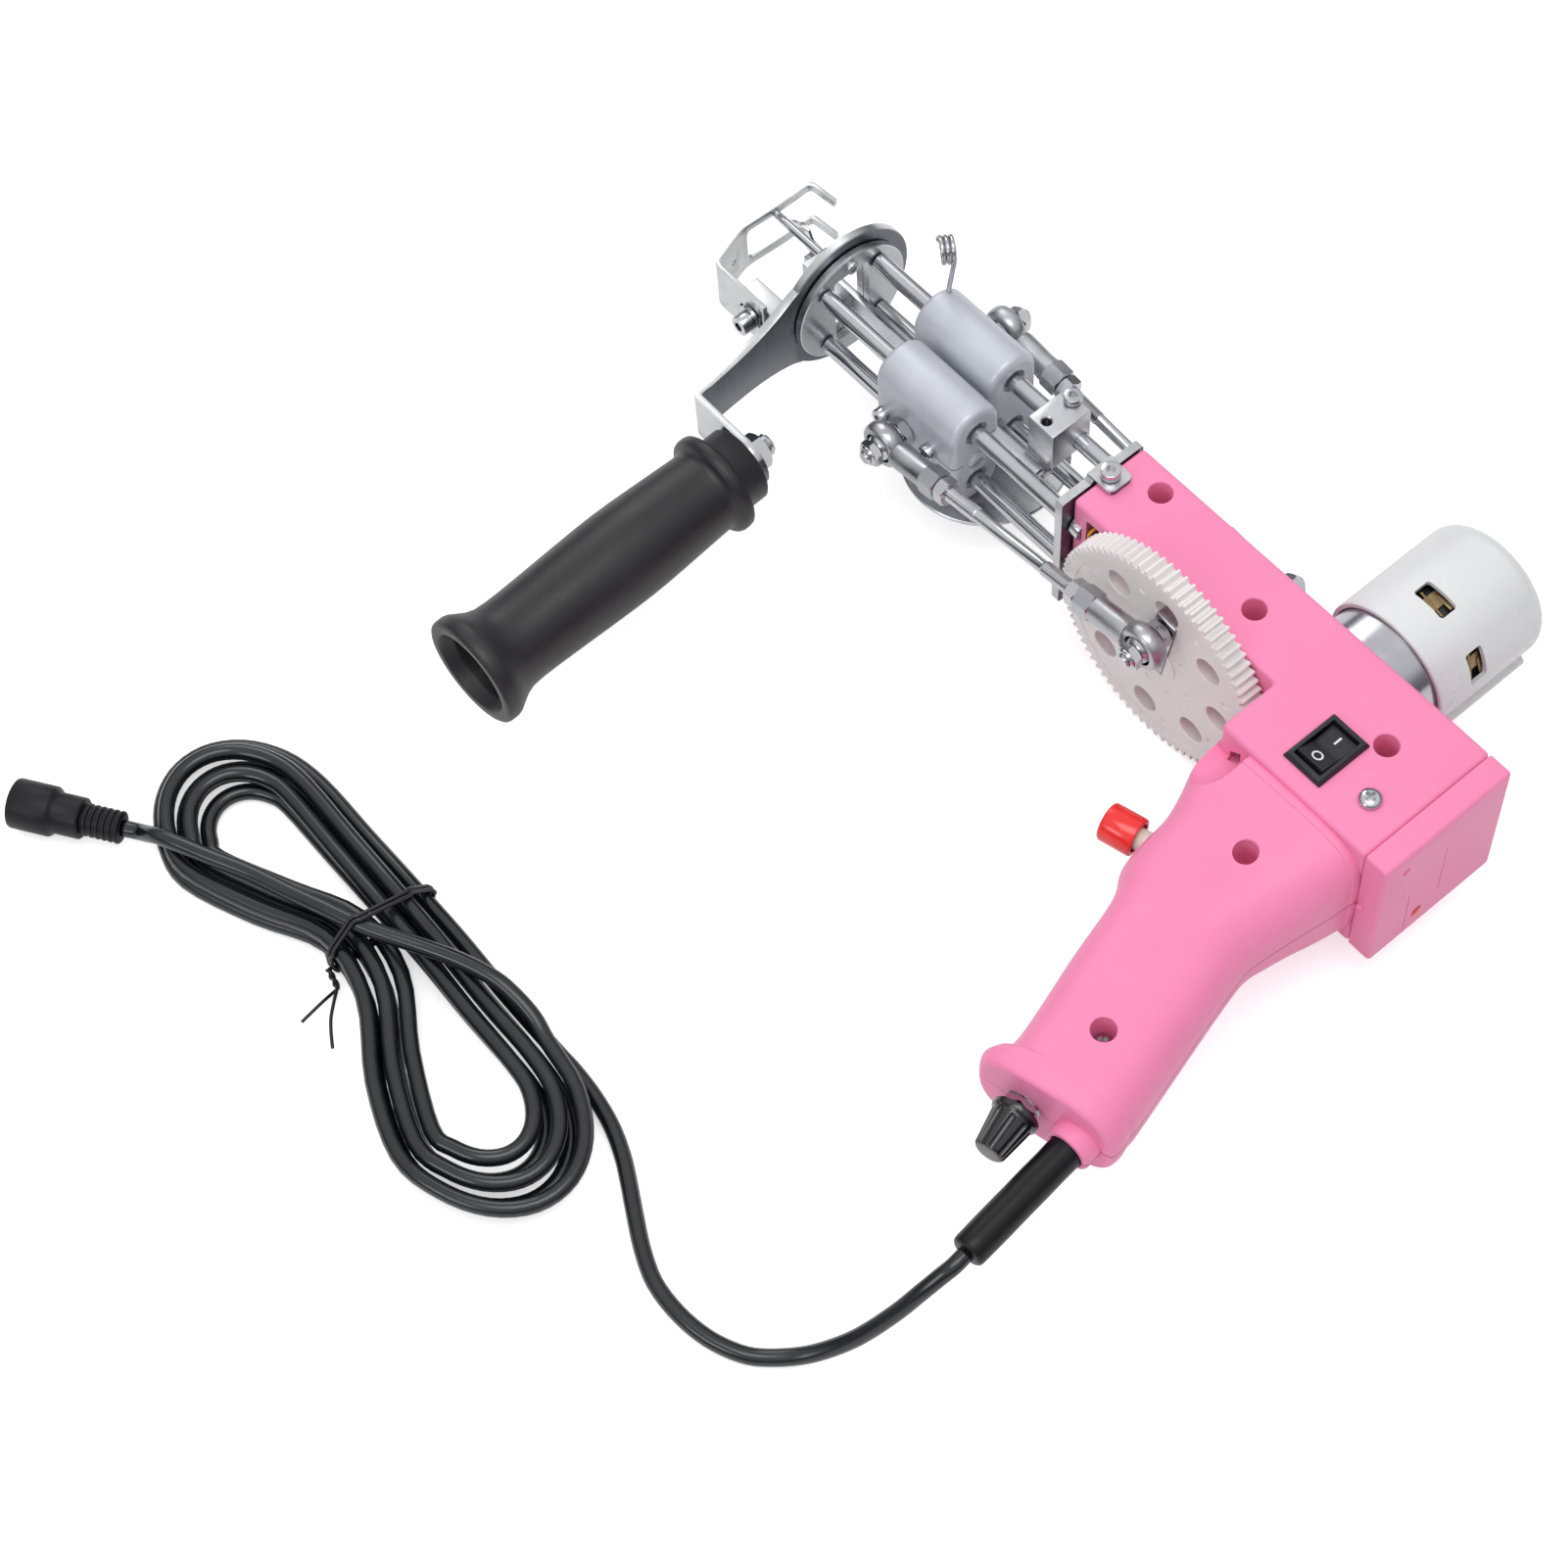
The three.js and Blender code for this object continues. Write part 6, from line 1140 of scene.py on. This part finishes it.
# Rear bracket, bent from sheet
def makeBracket():
    plate = slab("bracket", [
        (0.9, -26.5), (32.1, -26.5), *arc(32.1, -25.3, 1.2, -90, 0, 5)[1:], *arc(32.1, 25.3, 1.2, 0, 90, 5),
        (21.7, 26.5), (20.5, 27.6), (20.5, 28.6), (10.9, 28.6), (10.9, 27.6), (9.7, 26.5),
        *arc(0.9, 25.3, 1.2, 90, 180, 5), *arc(0.9, -25.3, 1.2, 180, 270, 5)], 46.5, 49.5, "x")
    tab = slab("tab", [
        (39, 12.6), (39.6, 11.5), (40.7, 10.9), (49.5, 10.9), (49.5, 20.5), (40.7, 20.5), (39.6, 19.9),
        (39, 18.8)], 26.8, 28.6)
    combine(plate, tab, "UNION")
    softenEdges(plate, 0.35)
    carve(plate, *[rod("hole", 1.9, 44, 51, (0, y, z), xAxis, 32) for y, z in rodPlaces],
          rod("tabHole", 1.7, 20, 30, (*housing["tabScrew"], 0), steps=32))
    return plate


# faces along X take the darker zinc as painted shade
finish(sheetPaintedShade(makeBracket()), "rearBracket", "tool_body", [shadedZincLook, brightZincLook],
       ["rear_bracket"])
finish(capScrew("tabScrew", 3.2, 3, 1.35, 1.6, (*housing["tabScrew"], 28.9), zAxis, 6.4), "tabScrew",
       "tool_body", chromeLook, ["bracket_tab_screw"])

# Carriages, cast round their bores
carriage = {"radius": 9.8, "needleBolt": 114.3, "cutterBolt": 122}


def makeCarriage(name, y, rear, front, *cutters):
    outline = arc(y, guides["apart"], carriage["radius"], 0, 180, 32)
    outline += arc(y, -guides["apart"], carriage["radius"], 180, 360, 32)
    block = softenEdges(slab(name, outline, rear, front, "x"), 2.4, 40, 6)
    for z in (guides["apart"], -guides["apart"]):
        carve(block, turned("bore", [
            (0, rear - 2), (4.6, rear - 2), (4.6, rear), (4.3, rear + 0.25), (4.3, rear + 1.4),
            (3.35, rear + 1.5), (3.35, front - 1.5), (4.3, front - 1.4), (4.3, front - 0.25), (4.6, front),
            (4.6, front + 2), (0, front + 2)], (0, y, z), xAxis, 56))
    return carve(block, *cutters)


needleFace, cutterFace = guides["high"] + carriage["radius"], guides["low"] - carriage["radius"]
needleCarriage = makeCarriage(
    "needleCarriage", guides["high"], 91.4, 128.6, box("barSlot", (88, 131), (14, 22.1), (2.6, 7)),
    rod("boltHole", 2.8, 29.9, 40, (carriage["needleBolt"], 0, 0), yAxis, 32),
    box("split", (90, 101), (33, 40), (-0.35, 0.35)))
sideScrews = [capScrew("sideScrew", 3, 3.4, 1.35, 1.7, (x, needleFace - 0.25, z), yAxis)
              for x, z in ((123.9, -1.6), (101.9, 1.6))]
keeper = turned("keeper", [
    (2, 0), (3.5, 0), (3.8, 0.3), (3.8, 1.3), (2, 1.3)], (90.1, guides["high"], -2), xAxis, 40, True)
carve(keeper, box("keeperGap", (89, 91.2), (28.6, 33), (-3.1, -0.9)))
finish(joinUp("needleCarriage", [needleCarriage, keeper]), "needleCarriage", "needle_slide",
       carriageLook, ["needle_carriage"])
finish(joinUp("carriageScrews", sideScrews), "carriageScrews", "needle_slide", chromeLook)
cutterCarriage = makeCarriage(
    "cutterCarriage", guides["low"], 98.5, 136, box("barSlot", (95, 139), (10.6, 18), (-7, -2.6)),
    rod("boltHole", 2.8, -7, 2.8, (carriage["cutterBolt"], 0, 0), yAxis, 32),
    rod("wireHole", 0.9, 16.8, 30, (133.4, 1.5, 0), steps=32))
finish(cutterCarriage, "cutterCarriage", "cutter_slide", carriageLook, ["cutter_carriage"])


# Pivot bolts
def makeBolt(name, x, z, face, plane, atCrank):
    side = 1 if plane > face else -1
    reach = abs(plane - face)
    near, far = reach - rodEnd["eyeHalf"], reach + rodEnd["eyeHalf"]
    start, direction = (x, face, z), (0, side, 0)
    from_ = 0.5 if atCrank else -7
    shank = turned("shank", [
        (0, from_), (2.5, from_), (2.5, far), *threadProfile(2.5, far, far + 4.3, 0.7, 0.2), (2, far + 4.6),
        (0, far + 4.6)], start, direction, 40)
    spacer = nut("spacer", 8 if atCrank else 9, 0.5 if atCrank else 0.3, near - 0.4, start, direction)
    washer = turned("washer", [
        (2.5, near - 0.4), (4.4, near - 0.4), (4.4, near), (2.5, near)], start, direction, 40, True)
    lock = nut("lockNut", 8, far, far + 2.7, start, direction)
    collar = turned("lockCollar", [
        (2.5, far + 2.4), (3.7, far + 2.4), (3.6, far + 3.1), (3.2, far + 3.5), (2.5, far + 3.6)],
        start, direction, 40, True)
    return joinUp(name, [shank, spacer, washer, lock, collar])


needlePin = polar(gear["pin"], gear["slotTurn"])
cutterPin = polar(crank["radius"], crank["degrees"])
rodEnd = {
    "length": 27, "hexFrom": 20.5, "across": 9, "eyeHalf": 4.3, "studFrom": 13, "thread": 44,
    "needlePlane": 45.5, "cutterPlane": -13,
}
for name, node, body, x, z, face, plane, atCrank in (
        ("needleCarriageBolt", "needle_carriage_bolt", "needle_slide", carriage["needleBolt"], 0, needleFace,
         rodEnd["needlePlane"], False),
        ("cutterCarriageBolt", "cutter_carriage_bolt", "cutter_slide", carriage["cutterBolt"], 0, cutterFace,
         rodEnd["cutterPlane"], False),
        ("needleCrankBolt", "needle_crank_bolt", "needle_rod", *needlePin, gear["far"], rodEnd["needlePlane"],
         True),
        ("cutterCrankBolt", "cutter_crank_bolt", "cutter_rod", *cutterPin, crank["near"],
         rodEnd["cutterPlane"], True)):
    finish(makeBolt(name, x, z, face, plane, atCrank), name, body, chromeLook, [node])


# Connecting rods, laid along X from the crank eye and turned to the carriage eye
def makeRodHead(name):
    head = turned("eye", [
        (5.35, -3), (6.7, -3), (7.3, -2.6), (7.8, -1.6), (8, 0), (7.8, 1.6), (7.3, 2.6), (6.7, 3), (5.35, 3),
        (5.6, 0)], direction=yAxis, steps=72, ring=True)
    neck = turned("neck", [
        (0, 6.4), (4.2, 6.4), (4.45, 8), (4.4, 12), (4.25, 17.5), (4.5, 20.6), (0, 20.6)],
        direction=xAxis, steps=48)
    flats = nut("flats", rodEnd["across"], rodEnd["hexFrom"], rodEnd["length"], (0, 0, 0), xAxis)
    carve(flats, rod("mouth", 2.8, 15, 30, (0, 0, 0), xAxis, 32))
    return joinUp(name, [head, neck, flats])


def makeBall(name):
    return turned(name, [
        (2.85, -4), (3.6, -4), (4.1, -3.5), (4.75, -2.4), (5.2, -1.2), (5.35, 0), (5.2, 1.2), (4.75, 2.4),
        (4.1, 3.5), (3.6, 4), (2.85, 4)], direction=yAxis, steps=56, ring=True)


def makeConnectingRod(label, body, pin, frontX, plane):
    length = math.hypot(frontX - pin[0], pin[1])
    turn = math.atan2(pin[1], frontX - pin[0])
    rear = Matrix.Translation((pin[0], plane, pin[1])) @ Matrix.Rotation(turn, 4, "Y")
    front = rear @ Matrix.Translation((length, 0, 0)) @ Matrix.Rotation(math.pi, 4, "Z")
    inside, end, thread = rodEnd["studFrom"], rodEnd["length"], rodEnd["thread"]
    stud = turned("stud", [
        (0, inside), (2.2, inside), (2.5, inside + 0.4), (2.5, end),
        *threadProfile(2.5, end, thread - 0.2, 0.8, 0.3), (2.1, thread), (2.1, length - thread),
        *threadProfile(2.5, length - thread + 0.2, length - end, 0.8, 0.3), (2.5, length - end),
        (2.5, length - inside - 0.4), (2.2, length - inside), (0, length - inside)],
        direction=xAxis, steps=40)
    locks = [nut("lock", 8, low, low + 4, (0, 0, 0), xAxis) for low in (end + 0.3, length - end - 4.3)]
    finish(spread(joinUp(label + "Stud", [stud, *locks]), rear), label + "Stud", body,
           chromeLook, [body + "_stud"])
    for side, matrix in (("Rear", rear), ("Front", front)):
        finish(spread(makeRodHead("head"), matrix), label + side + "End", body, rodEndLook,
               [body + "_" + side.lower() + "_end"])
        finish(spread(makeBall("ball"), matrix), label + side + "Ball", body, chromeLook)


makeConnectingRod("needleRod", "needle_rod", needlePin, carriage["needleBolt"], rodEnd["needlePlane"])
makeConnectingRod("cutterRod", "cutter_rod", cutterPin, carriage["cutterBolt"], rodEnd["cutterPlane"])
print("rods and carriages done")

# Stop block, slit and clamped on a rod
stop = roundBox("stopBlock", (68, 79.5), (1.2, 17.2), (7.6, 24), 0.5)
carve(stop, rod("rodHole", 3.15, 66, 82, (0, guides["low"], guides["apart"]), xAxis, 48),
      box("slit", (66, 82), (4.8, 5.8), (5, 12)),
      turned("hole", [(0, 12), (1.6, 12), (1.6, 23.6), (2.1, 24.1), (2.1, 30), (0, 30)], (74.2, 14.2, 0),
             steps=40))
finish(stop, "stopBlock", "tool_body", aluminiumLook, ["stop_block"])
finish(capScrew("stopScrew", 3, 2.6, 1.35, 1.6, (74.7, 2.9, 24.3), zAxis), "stopScrew", "tool_body",
       steelLook, ["stop_block_screw"])

disc = turned("roundPlate", [
    (0, 0), (27.2, 0), (27.6, 0.35), (27.6, 1.15), (27.2, 1.5), (0, 1.5)], (102, 14, -22.1), (0, 0, -1), 128)
finish(disc, "roundPlate", "needle_slide", brightZincLook, ["round_plate"])

# Front plates, and the arm that carries the auxiliary handle
plate = {"radius": 22, "y": 16.3, "window": (9.3, 23.7), "windowHalf": 15}


def windowCutter():
    half = plate["windowHalf"]
    return roundBox("window", (150, 180), plate["window"], (-half, half), 1.2)


innerPlate = turned("innerPlate", [
    (0, 163.4), (plate["radius"] - 0.3, 163.4), (plate["radius"], 163.7), (plate["radius"], 166),
    (plate["radius"] - 0.3, 166.3), (0, 166.3)], (0, plate["y"], 0), xAxis, 128)
carve(innerPlate, windowCutter())
plateScrew = capScrew("plateScrew", 2.4, 1.7, 1, 1, (163.5, 16.5, 18.2), (-1, 0, 0))
# faces along X take the darker plate zinc as painted shade
finish(sheetPaintedShade(joinUp("innerPlate", [innerPlate, plateScrew])), "innerPlate", "tool_body",
       [shadedPlateLook, brightZincLook], ["front_inner_plate"])

arm = {
    "rear": 166.6, "radius": 26.4, "thick": 3, "half": 9.5, "bend": 80.4, "tab": 2.5, "lean": 5, "leave": 42,
    "bendRadius": 3.4, "studX": 139, "hole": 4.3, "riseSteps": 24, "bendSteps": 8,
}


def makeArm():
    radius, thick, rise, bend = arm["radius"], arm["thick"], arm["riseSteps"], arm["bendSteps"]
    body = turned("armDisc", [
        (0, 0), (radius - 0.35, 0), (radius, 0.35), (radius, thick - 0.35), (radius - 0.35, thick),
        (0, thick)], (arm["rear"], plate["y"], 0), xAxis, 160)
    leaveY = plate["y"] + radius * math.cos(math.radians(arm["leave"]))
    leaveHalf = radius * math.sin(math.radians(arm["leave"]))
    top = arm["bend"] + arm["tab"]
    leanFrom = plate["y"] + plate["radius"] + 0.6
    line = [(arm["rear"] + thick / 2, plate["y"] + 10, leaveHalf * 0.98)]
    for i in range(rise + 1):
        share = i / rise
        y = leaveY + (top - arm["bendRadius"] - leaveY) * share
        drop = arm["lean"] * max(y - leanFrom, 0) / (top - leanFrom)
        half = arm["half"] + (leaveHalf - arm["half"]) * (1 - share) ** 3
        line.append((arm["rear"] + thick / 2 - drop, y, half))
    middle = arm["bendRadius"] - arm["tab"] / 2
    bendX = line[-1][0] - middle
    for i in range(1, bend + 1):
        angle = math.pi / 2 * i / bend
        height = top - arm["bendRadius"] + middle * math.sin(angle)
        line.append((bendX + middle * math.cos(angle), height, arm["half"]))
    tabY = line[-1][1]
    line += [(x, tabY, arm["half"]) for x in (bendX - 4, bendX - 8, arm["studX"] + 2)]
    line += [(arm["studX"] - arm["half"] * math.sin(math.radians(a)), tabY,
              arm["half"] * math.cos(math.radians(a)))
             for a in range(0, 89, 6)]
    rings = []
    for i, (x, y, half) in enumerate(line):
        a, b = Vector(line[max(i - 1, 0)][:2]), Vector(line[min(i + 1, len(line) - 1)][:2])
        way = (b - a).normalized()
        side = Vector((way.y, -way.x)) * ((thick if i < rise else arm["tab"]) / 2)
        rings.append([(x - side.x, y - side.y, -half), (x - side.x, y - side.y, half),
                      (x + side.x, y + side.y, half), (x + side.x, y + side.y, -half)])
    combine(body, skin("arm", rings), "UNION")
    softenEdges(body, 0.3, 60, 2)
    carve(body, windowCutter(), rod("studHole", arm["hole"], 70, 90, (arm["studX"], 0, 0), yAxis, 56))
    return body


# faces along X take the darker zinc as painted shade
finish(sheetPaintedShade(makeArm()), "handleArm", "tool_body", [shadedZincLook, brightZincLook],
       ["handle_bracket"], 35)

# Auxiliary handle
grip = {"start": (arm["studX"], 83.9, 0), "lean": -0.042}
gripAxis = Vector((grip["lean"], 1, 0)).normalized()
gripPiece = turned("auxiliaryGrip", [
    (0, 0), (12.4, 0), (13, 0.6), (13, 8.3), (13.2, 8.7), (14.5, 9), (16.3, 9.3), (17.1, 9.9), (17.3, 10.8),
    (17.3, 12.4), (17, 13.4), (16, 14.2), (14.9, 14.7), (14.4, 15.3), (14.2, 16.4), (14.35, 20), (14.7, 27),
    (15.1, 35), (15.45, 43), (15.6, 50), (15.5, 58), (15.2, 68), (14.85, 78), (14.55, 88), (14.5, 94),
    (14.8, 98.5), (15.7, 101.5), (17.3, 104.4), (18.6, 106.6), (19, 108), (19, 110.6), (18.7, 111.5),
    (18, 112), (15, 112), (14.6, 111.7), (14.2, 110), (12.6, 108.2), (12.4, 107.6), (12.4, 20), (11.8, 19.2),
    (10, 19), (0, 19)], grip["start"], gripAxis, 128)
carve(gripPiece, rod("studHole", 4.8, 80, 98.2, (arm["studX"], 0, 0), yAxis, 40))
finish(gripPiece, "auxiliaryGrip", "tool_body", gripLook, ["front_grip"], 45)
studAt = (arm["studX"], 0, 0)
studPiece = turned("gripStud", [
    (0, 72.5), (3.2, 72.5), *threadProfile(3.9, 72.9, 97, 1, 0.35), (3.4, 97.9), (0, 97.9)],
    studAt, yAxis, 48)
studNut = nut("gripNut", 11, 75.6, 79.6, studAt, yAxis)
studWasher = turned("gripWasher", [(4, 79.4), (6.3, 79.4), (6.3, 80.1), (4, 80.1)], studAt, yAxis, 56, True)
finish(joinUp("gripStud", [studPiece, studNut, studWasher]), "gripStud", "tool_body",
       chromeLook, ["grip_stud"])
print("front handle done")

# Presser foot, bent from strip, with its mount and screw
foot = {
    "line": [(174.3, 43.7), (199.2, 43.4), (204.4, 28), (203.5, 11.5), (203.7, -0.6), (192.5, -1.6)],
    "bends": [0, 2.4, 3, 4, 2.4, 0], "steps": 6, "thick": 1.6, "forkTop": 27, "screwX": 180.4,
}


def bentLine(points, bends):
    line = []
    for i, point in enumerate(points):
        here = Vector(point)
        if not bends[i]:
            line.append(here)
            continue
        back, on = (Vector(points[i - 1]) - here).normalized(), (Vector(points[i + 1]) - here).normalized()
        a, b = here + back * bends[i], here + on * bends[i]
        for k in range(foot["steps"] + 1):
            t = k / foot["steps"]
            line.append(a * (1 - t) ** 2 + here * 2 * t * (1 - t) + b * t ** 2)
    return line


def stripOutline(line, thick):
    left, right = [], []
    for i, point in enumerate(line):
        way = (line[min(i + 1, len(line) - 1)] - line[max(i - 1, 0)]).normalized()
        side = Vector((-way.y, way.x)) * thick / 2
        left.append(tuple(point + side))
        right.append(tuple(point - side))
    return left + right[::-1]


strip = slab("presserFoot", stripOutline(bentLine(foot["line"], foot["bends"]), foot["thick"]), -10, 10)
carve(strip, roundBox("fork", (188.5, 215), (-12, foot["forkTop"]), (-7, 7), 2.2, 4),
      roundBox("slot", (176.5, 186.5), (39, 48), (-2.3, 2.3), 1.5, 4),
      rod("hole", 1.1, 198, 210, (0, 34.6, 0), xAxis, 32))
softenEdges(strip, 0.22, 60, 2)
finish(strip, "presserFoot", "tool_body", brightZincLook, ["presser_foot"], 35)
mount = roundBox("footMount", (169.9, 188), (35.6, 42.6), (-6, 6), 0.5)
carve(mount, rod("mountHole", 2, 37.3, 45, (foot["screwX"], 0, 0), yAxis, 32))
finish(mount, "footMount", "tool_body", aluminiumLook, ["foot_mount"])
footTop = foot["line"][0][1] + foot["thick"] / 2 + 0.3
washer = turned("footWasher", [(1.8, 0), (4.8, 0), (5, 0.2), (5, 1), (4.8, 1.2), (1.8, 1.2)],
                (foot["screwX"], footTop, 0), yAxis, 56, True)
footScrew = capScrew("footScrew", 3.6, 4.4, 1.6, 2.4, (foot["screwX"], footTop + 1.2, 0), yAxis, 8.4, 1.7)
finish(joinUp("footScrew", [washer, footScrew]), "footScrew", "tool_body", chromeLook,
       ["foot_screw"])

# Needle and cutter bars with the blades
needleAt = (0, 13.4, 4.2)
needleBar = roundBox("needleBar", (70.8, 182), (18, 21.8), (2.9, 6.7), 0.3, 2)
needleHolder = roundBox("holder", (172, 182), (11.2, 21.8), (1.4, 6.7), 0.35, 2)
combine(needleBar, needleHolder, "UNION")
carve(needleBar, rod("needleHole", 1.8, 174.7, 185, needleAt, xAxis, 32))
finish(needleBar, "needleBar", "needle_slide", steelLook, ["needle_bar"])
needleTube = turned("needle", [
    (0, 175), (1.5, 175), (1.5, 207.8), (0.85, 207.8), (0.8, 190), (0, 190)], needleAt, xAxis, 40)
tip = slab("tip", [(198.8, 2.7), (203, 3.2), (207.8, 5.7), (209, 6), (209, 0), (198.8, 0)], 10, 17, "y")
finish(carve(needleTube, tip), "needle", "needle_slide", chromeLook, ["needle"])

bladePivot = (185, 0, -4.8)
cutterBar = roundBox("cutterBar", (74, 190), (10.9, 14.7), (-6.7, -2.9), 0.3, 2)
pin = turned("pin", [(0, 6.7), (1.5, 6.7), (1.9, 7), (1.9, 7.6), (1.2, 7.6), (1.2, 11.1), (0, 11.1)],
             bladePivot, yAxis, 32)
finish(joinUp("cutterBar", [cutterBar, pin]), "cutterBar", "cutter_slide", steelLook, ["cutter_bar"])
blades = {
    "fixed": [(180.2, -6.7), (190, -6.7), (193, -5.9), (196, -4.6), (200, -3), (202.4, -1.6), (203, -0.6),
              (202.2, 1), (199.6, 2.8), (196, 4), (192, 4.6), (190.8, 1.6), (189.4, -0.6), (187.2, -2),
              (180.2, -2.9)],
    "moving": [(181, -6.4), (188, -6.7), (193, -5.6), (196.4, -5.2), (198.2, -4.6), (199.6, -3), (200, -1.2),
               (199.2, 0.9), (197.6, 2.6), (194.4, 3.4), (196, 1.2), (196.5, -0.8), (196, -2.1), (194, -2.4),
               (191.6, -2.2), (187.6, -2.8), (181.6, -3)],
}
for name, low, body in (("fixed", 9.4, "cutter_slide"), ("moving", 7.9, "blade")):
    blade = slab(name, blades[name], low, low + 1.2, "y")
    softenEdges(blade, 0.25, 50, 2)
    carve(blade, rod("pinHole", 1.5, 5, 12, bladePivot, yAxis, 32))
    finish(blade, name + "Blade", body, bladeLook, [name + "_blade"])

# Yarn eyelet: one wire, its stem in the cutter carriage and its coil above
eyelet = {
    "foot": Vector((133.4, 1.5, 17.1)), "bend": 22.6, "height": 36.8, "lean": 1.85, "radius": 4.1,
    "pitch": 1.75, "loops": 2.5, "along": Vector((0.5878, 0.809, 0)), "side": Vector((0.809, -0.5878, 0)),
}


def stemPlace(z, lean):
    return Vector((eyelet["foot"].x, eyelet["foot"].y, z)) - eyelet["along"] * lean


coil = [eyelet["foot"], stemPlace(20, 0)]
for i in range(5):
    height = eyelet["bend"] + (eyelet["height"] - eyelet["bend"]) * i / 5
    coil.append(stemPlace(height, eyelet["lean"] * i / 5))
for i in range(int(48 * eyelet["loops"]) + 1):
    angle = 2 * math.pi * i / 48
    height = eyelet["height"] + eyelet["radius"] * math.sin(angle)
    coil.append(stemPlace(height, eyelet["lean"] - eyelet["pitch"] * i / 48)
                + eyelet["side"] * eyelet["radius"] * (1 - math.cos(angle)))
finish(tube("yarnEyelet", coil, 0.84, 6), "yarnEyelet", "cutter_slide", chromeLook,
       ["yarn_eyelet"], 60)

# Jumper wire in the side window
jumperLine = smoothLine([
    (37.2, 3.3, 11), (37.2, 14, 11), (37.6, 23, 10.4), (38.6, 27.9, 11.6), (38.9, 28.9, 14),
    (38.6, 27.9, 16.6), (37.6, 23, 17.4), (37.2, 14, 17), (37.2, 3.3, 17)], 8)
finish(tube("jumperWire", jumperLine, 0.6, 3), "jumperWire", "tool_body", yellowLook,
       ["jumper_wire"], 60)

# Barrel plug
plug = {"start": (180.3, 300.6, -32.7), "direction": (0.832, 0.555, 0)}
ribs = []
for i in range(6):
    at = 0.5 + i * 2.1
    ribs += [(4.6, at), (5, at + 0.15), (5.2, at + 0.4), (5.2, at + 1), (5, at + 1.25), (4.6, at + 1.4)]
plugPiece = turned("plug", [
    (2.65, 0.3), (4.2, 0.3), *ribs, (4.6, 13), (6.1, 13.2), (6.6, 13.7), (6.6, 21.6), (6.9, 22.2), (7.7, 23),
    (8, 23.6), (8, 35.6), (7.8, 36.2), (7.3, 36.5), (5, 36.5), (4.6, 36.2), (4.6, 27.5), (0, 27.5)],
    plug["start"], plug["direction"], 96)
plugPin = turned("plugPin", [(0, 27.2), (1.2, 27.2), (1.2, 34.2), (1, 34.5), (0, 34.5)], plug["start"],
                 plug["direction"], 32)
finish(joinUp("dcPlug", [plugPiece, plugPin]), "dcPlug", "tool_body", plugLook, ["dc_plug"], 35)
print("front end, wires and plug done")


# Floor, lamps and surroundings
def makeFloor():
    letGo()
    bpy.ops.mesh.primitive_plane_add(size=8, location=(0, 0, cadBox[0][2] - 0.0004))
    floor = bpy.context.object
    floor.name = "floor"
    look = bpy.data.materials.new("whiteFloor")
    look.use_nodes = True
    tree = look.node_tree
    path = addNode(tree, "LightPath", {})
    glossy = addNode(tree, "Math", {0: path["Is Glossy Ray"], 1: 0.3}, "MULTIPLY")
    seen = addNode(tree, "Math", {0: path["Is Camera Ray"], 1: glossy[0]}, "MAXIMUM")
    clear = addNode(tree, "Math", {0: seen[0], 1: path["Is Transmission Ray"]}, "MAXIMUM")
    lift = addNode(tree, "Math", {0: clear[0], 1: 0.55}, "MULTIPLY")
    feed(tree, tree.nodes["Principled BSDF"], {
        "Base Color": (0.8, 0.8, 0.8, 1), "Roughness": 0.9, "Specular IOR Level": 0.1,
        "Emission Color": (1, 1, 1, 1), "Emission Strength": lift[0]})
    floor.data.materials.append(look)


def makeSky():
    world = bpy.data.worlds.new("studio")
    bpy.context.scene.world = world
    world.use_nodes = True
    tree = world.node_tree
    ramp = tree.nodes.new("ShaderNodeValToRGB")
    ends = ramp.color_ramp.elements
    ends[0].position, ends[0].color = 0.5, (0.13, 0.13, 0.145, 1)
    ends[1].position, ends[1].color = 1, (0.97, 0.97, 0.97, 1)
    for place, grey in ((0.66, 0.3), (0.8, 0.86)):
        ends.new(place).color = (grey, grey, grey * 1.02, 1)
    apart = addNode(tree, "SeparateXYZ", {"Vector": addNode(tree, "TexCoord", {})["Generated"]})
    raised = addNode(tree, "MapRange", {"Value": apart["Z"], "From Min": -1})
    feed(tree, ramp, {"Fac": raised["Result"]})
    back = tree.nodes["Background"]
    feed(tree, back, {"Color": ramp.outputs["Color"]})
    white = addNode(tree, "Background", {"Color": (1, 1, 1, 1)})
    path = addNode(tree, "LightPath", {})
    mix = addNode(tree, "MixShader", {
        "Fac": path["Is Camera Ray"], 1: back.outputs["Background"], 2: white["Background"]})
    feed(tree, tree.nodes["World Output"], {"Surface": mix["Shader"]})


def makeLamp(name, place, target, size, power):
    bpy.ops.object.light_add(type="AREA", location=place)
    lamp = bpy.context.object
    lamp.name = name
    lamp.data.shape = "RECTANGLE"
    lamp.data.size, lamp.data.size_y = size
    lamp.data.energy = power
    lamp.rotation_euler = (Vector(target) - Vector(place)).to_track_quat("-Z", "Y").to_euler()


makeFloor()
makeSky()
makeLamp("overhead", (-0.25, 0.2, 1.5), (0, 0, 0), (1, 0.7), 7)
makeLamp("fromNeedle", (1.1, -0.5, 0.9), (0, 0, 0), (0.5, 0.9), 3)
makeLamp("fromHandle", (-0.1, 1.4, 0.8), (0, 0.1, 0), (0.6, 0.4), 3)
bpy.context.scene.view_settings.view_transform = "Standard"
print("stage and lamps done")
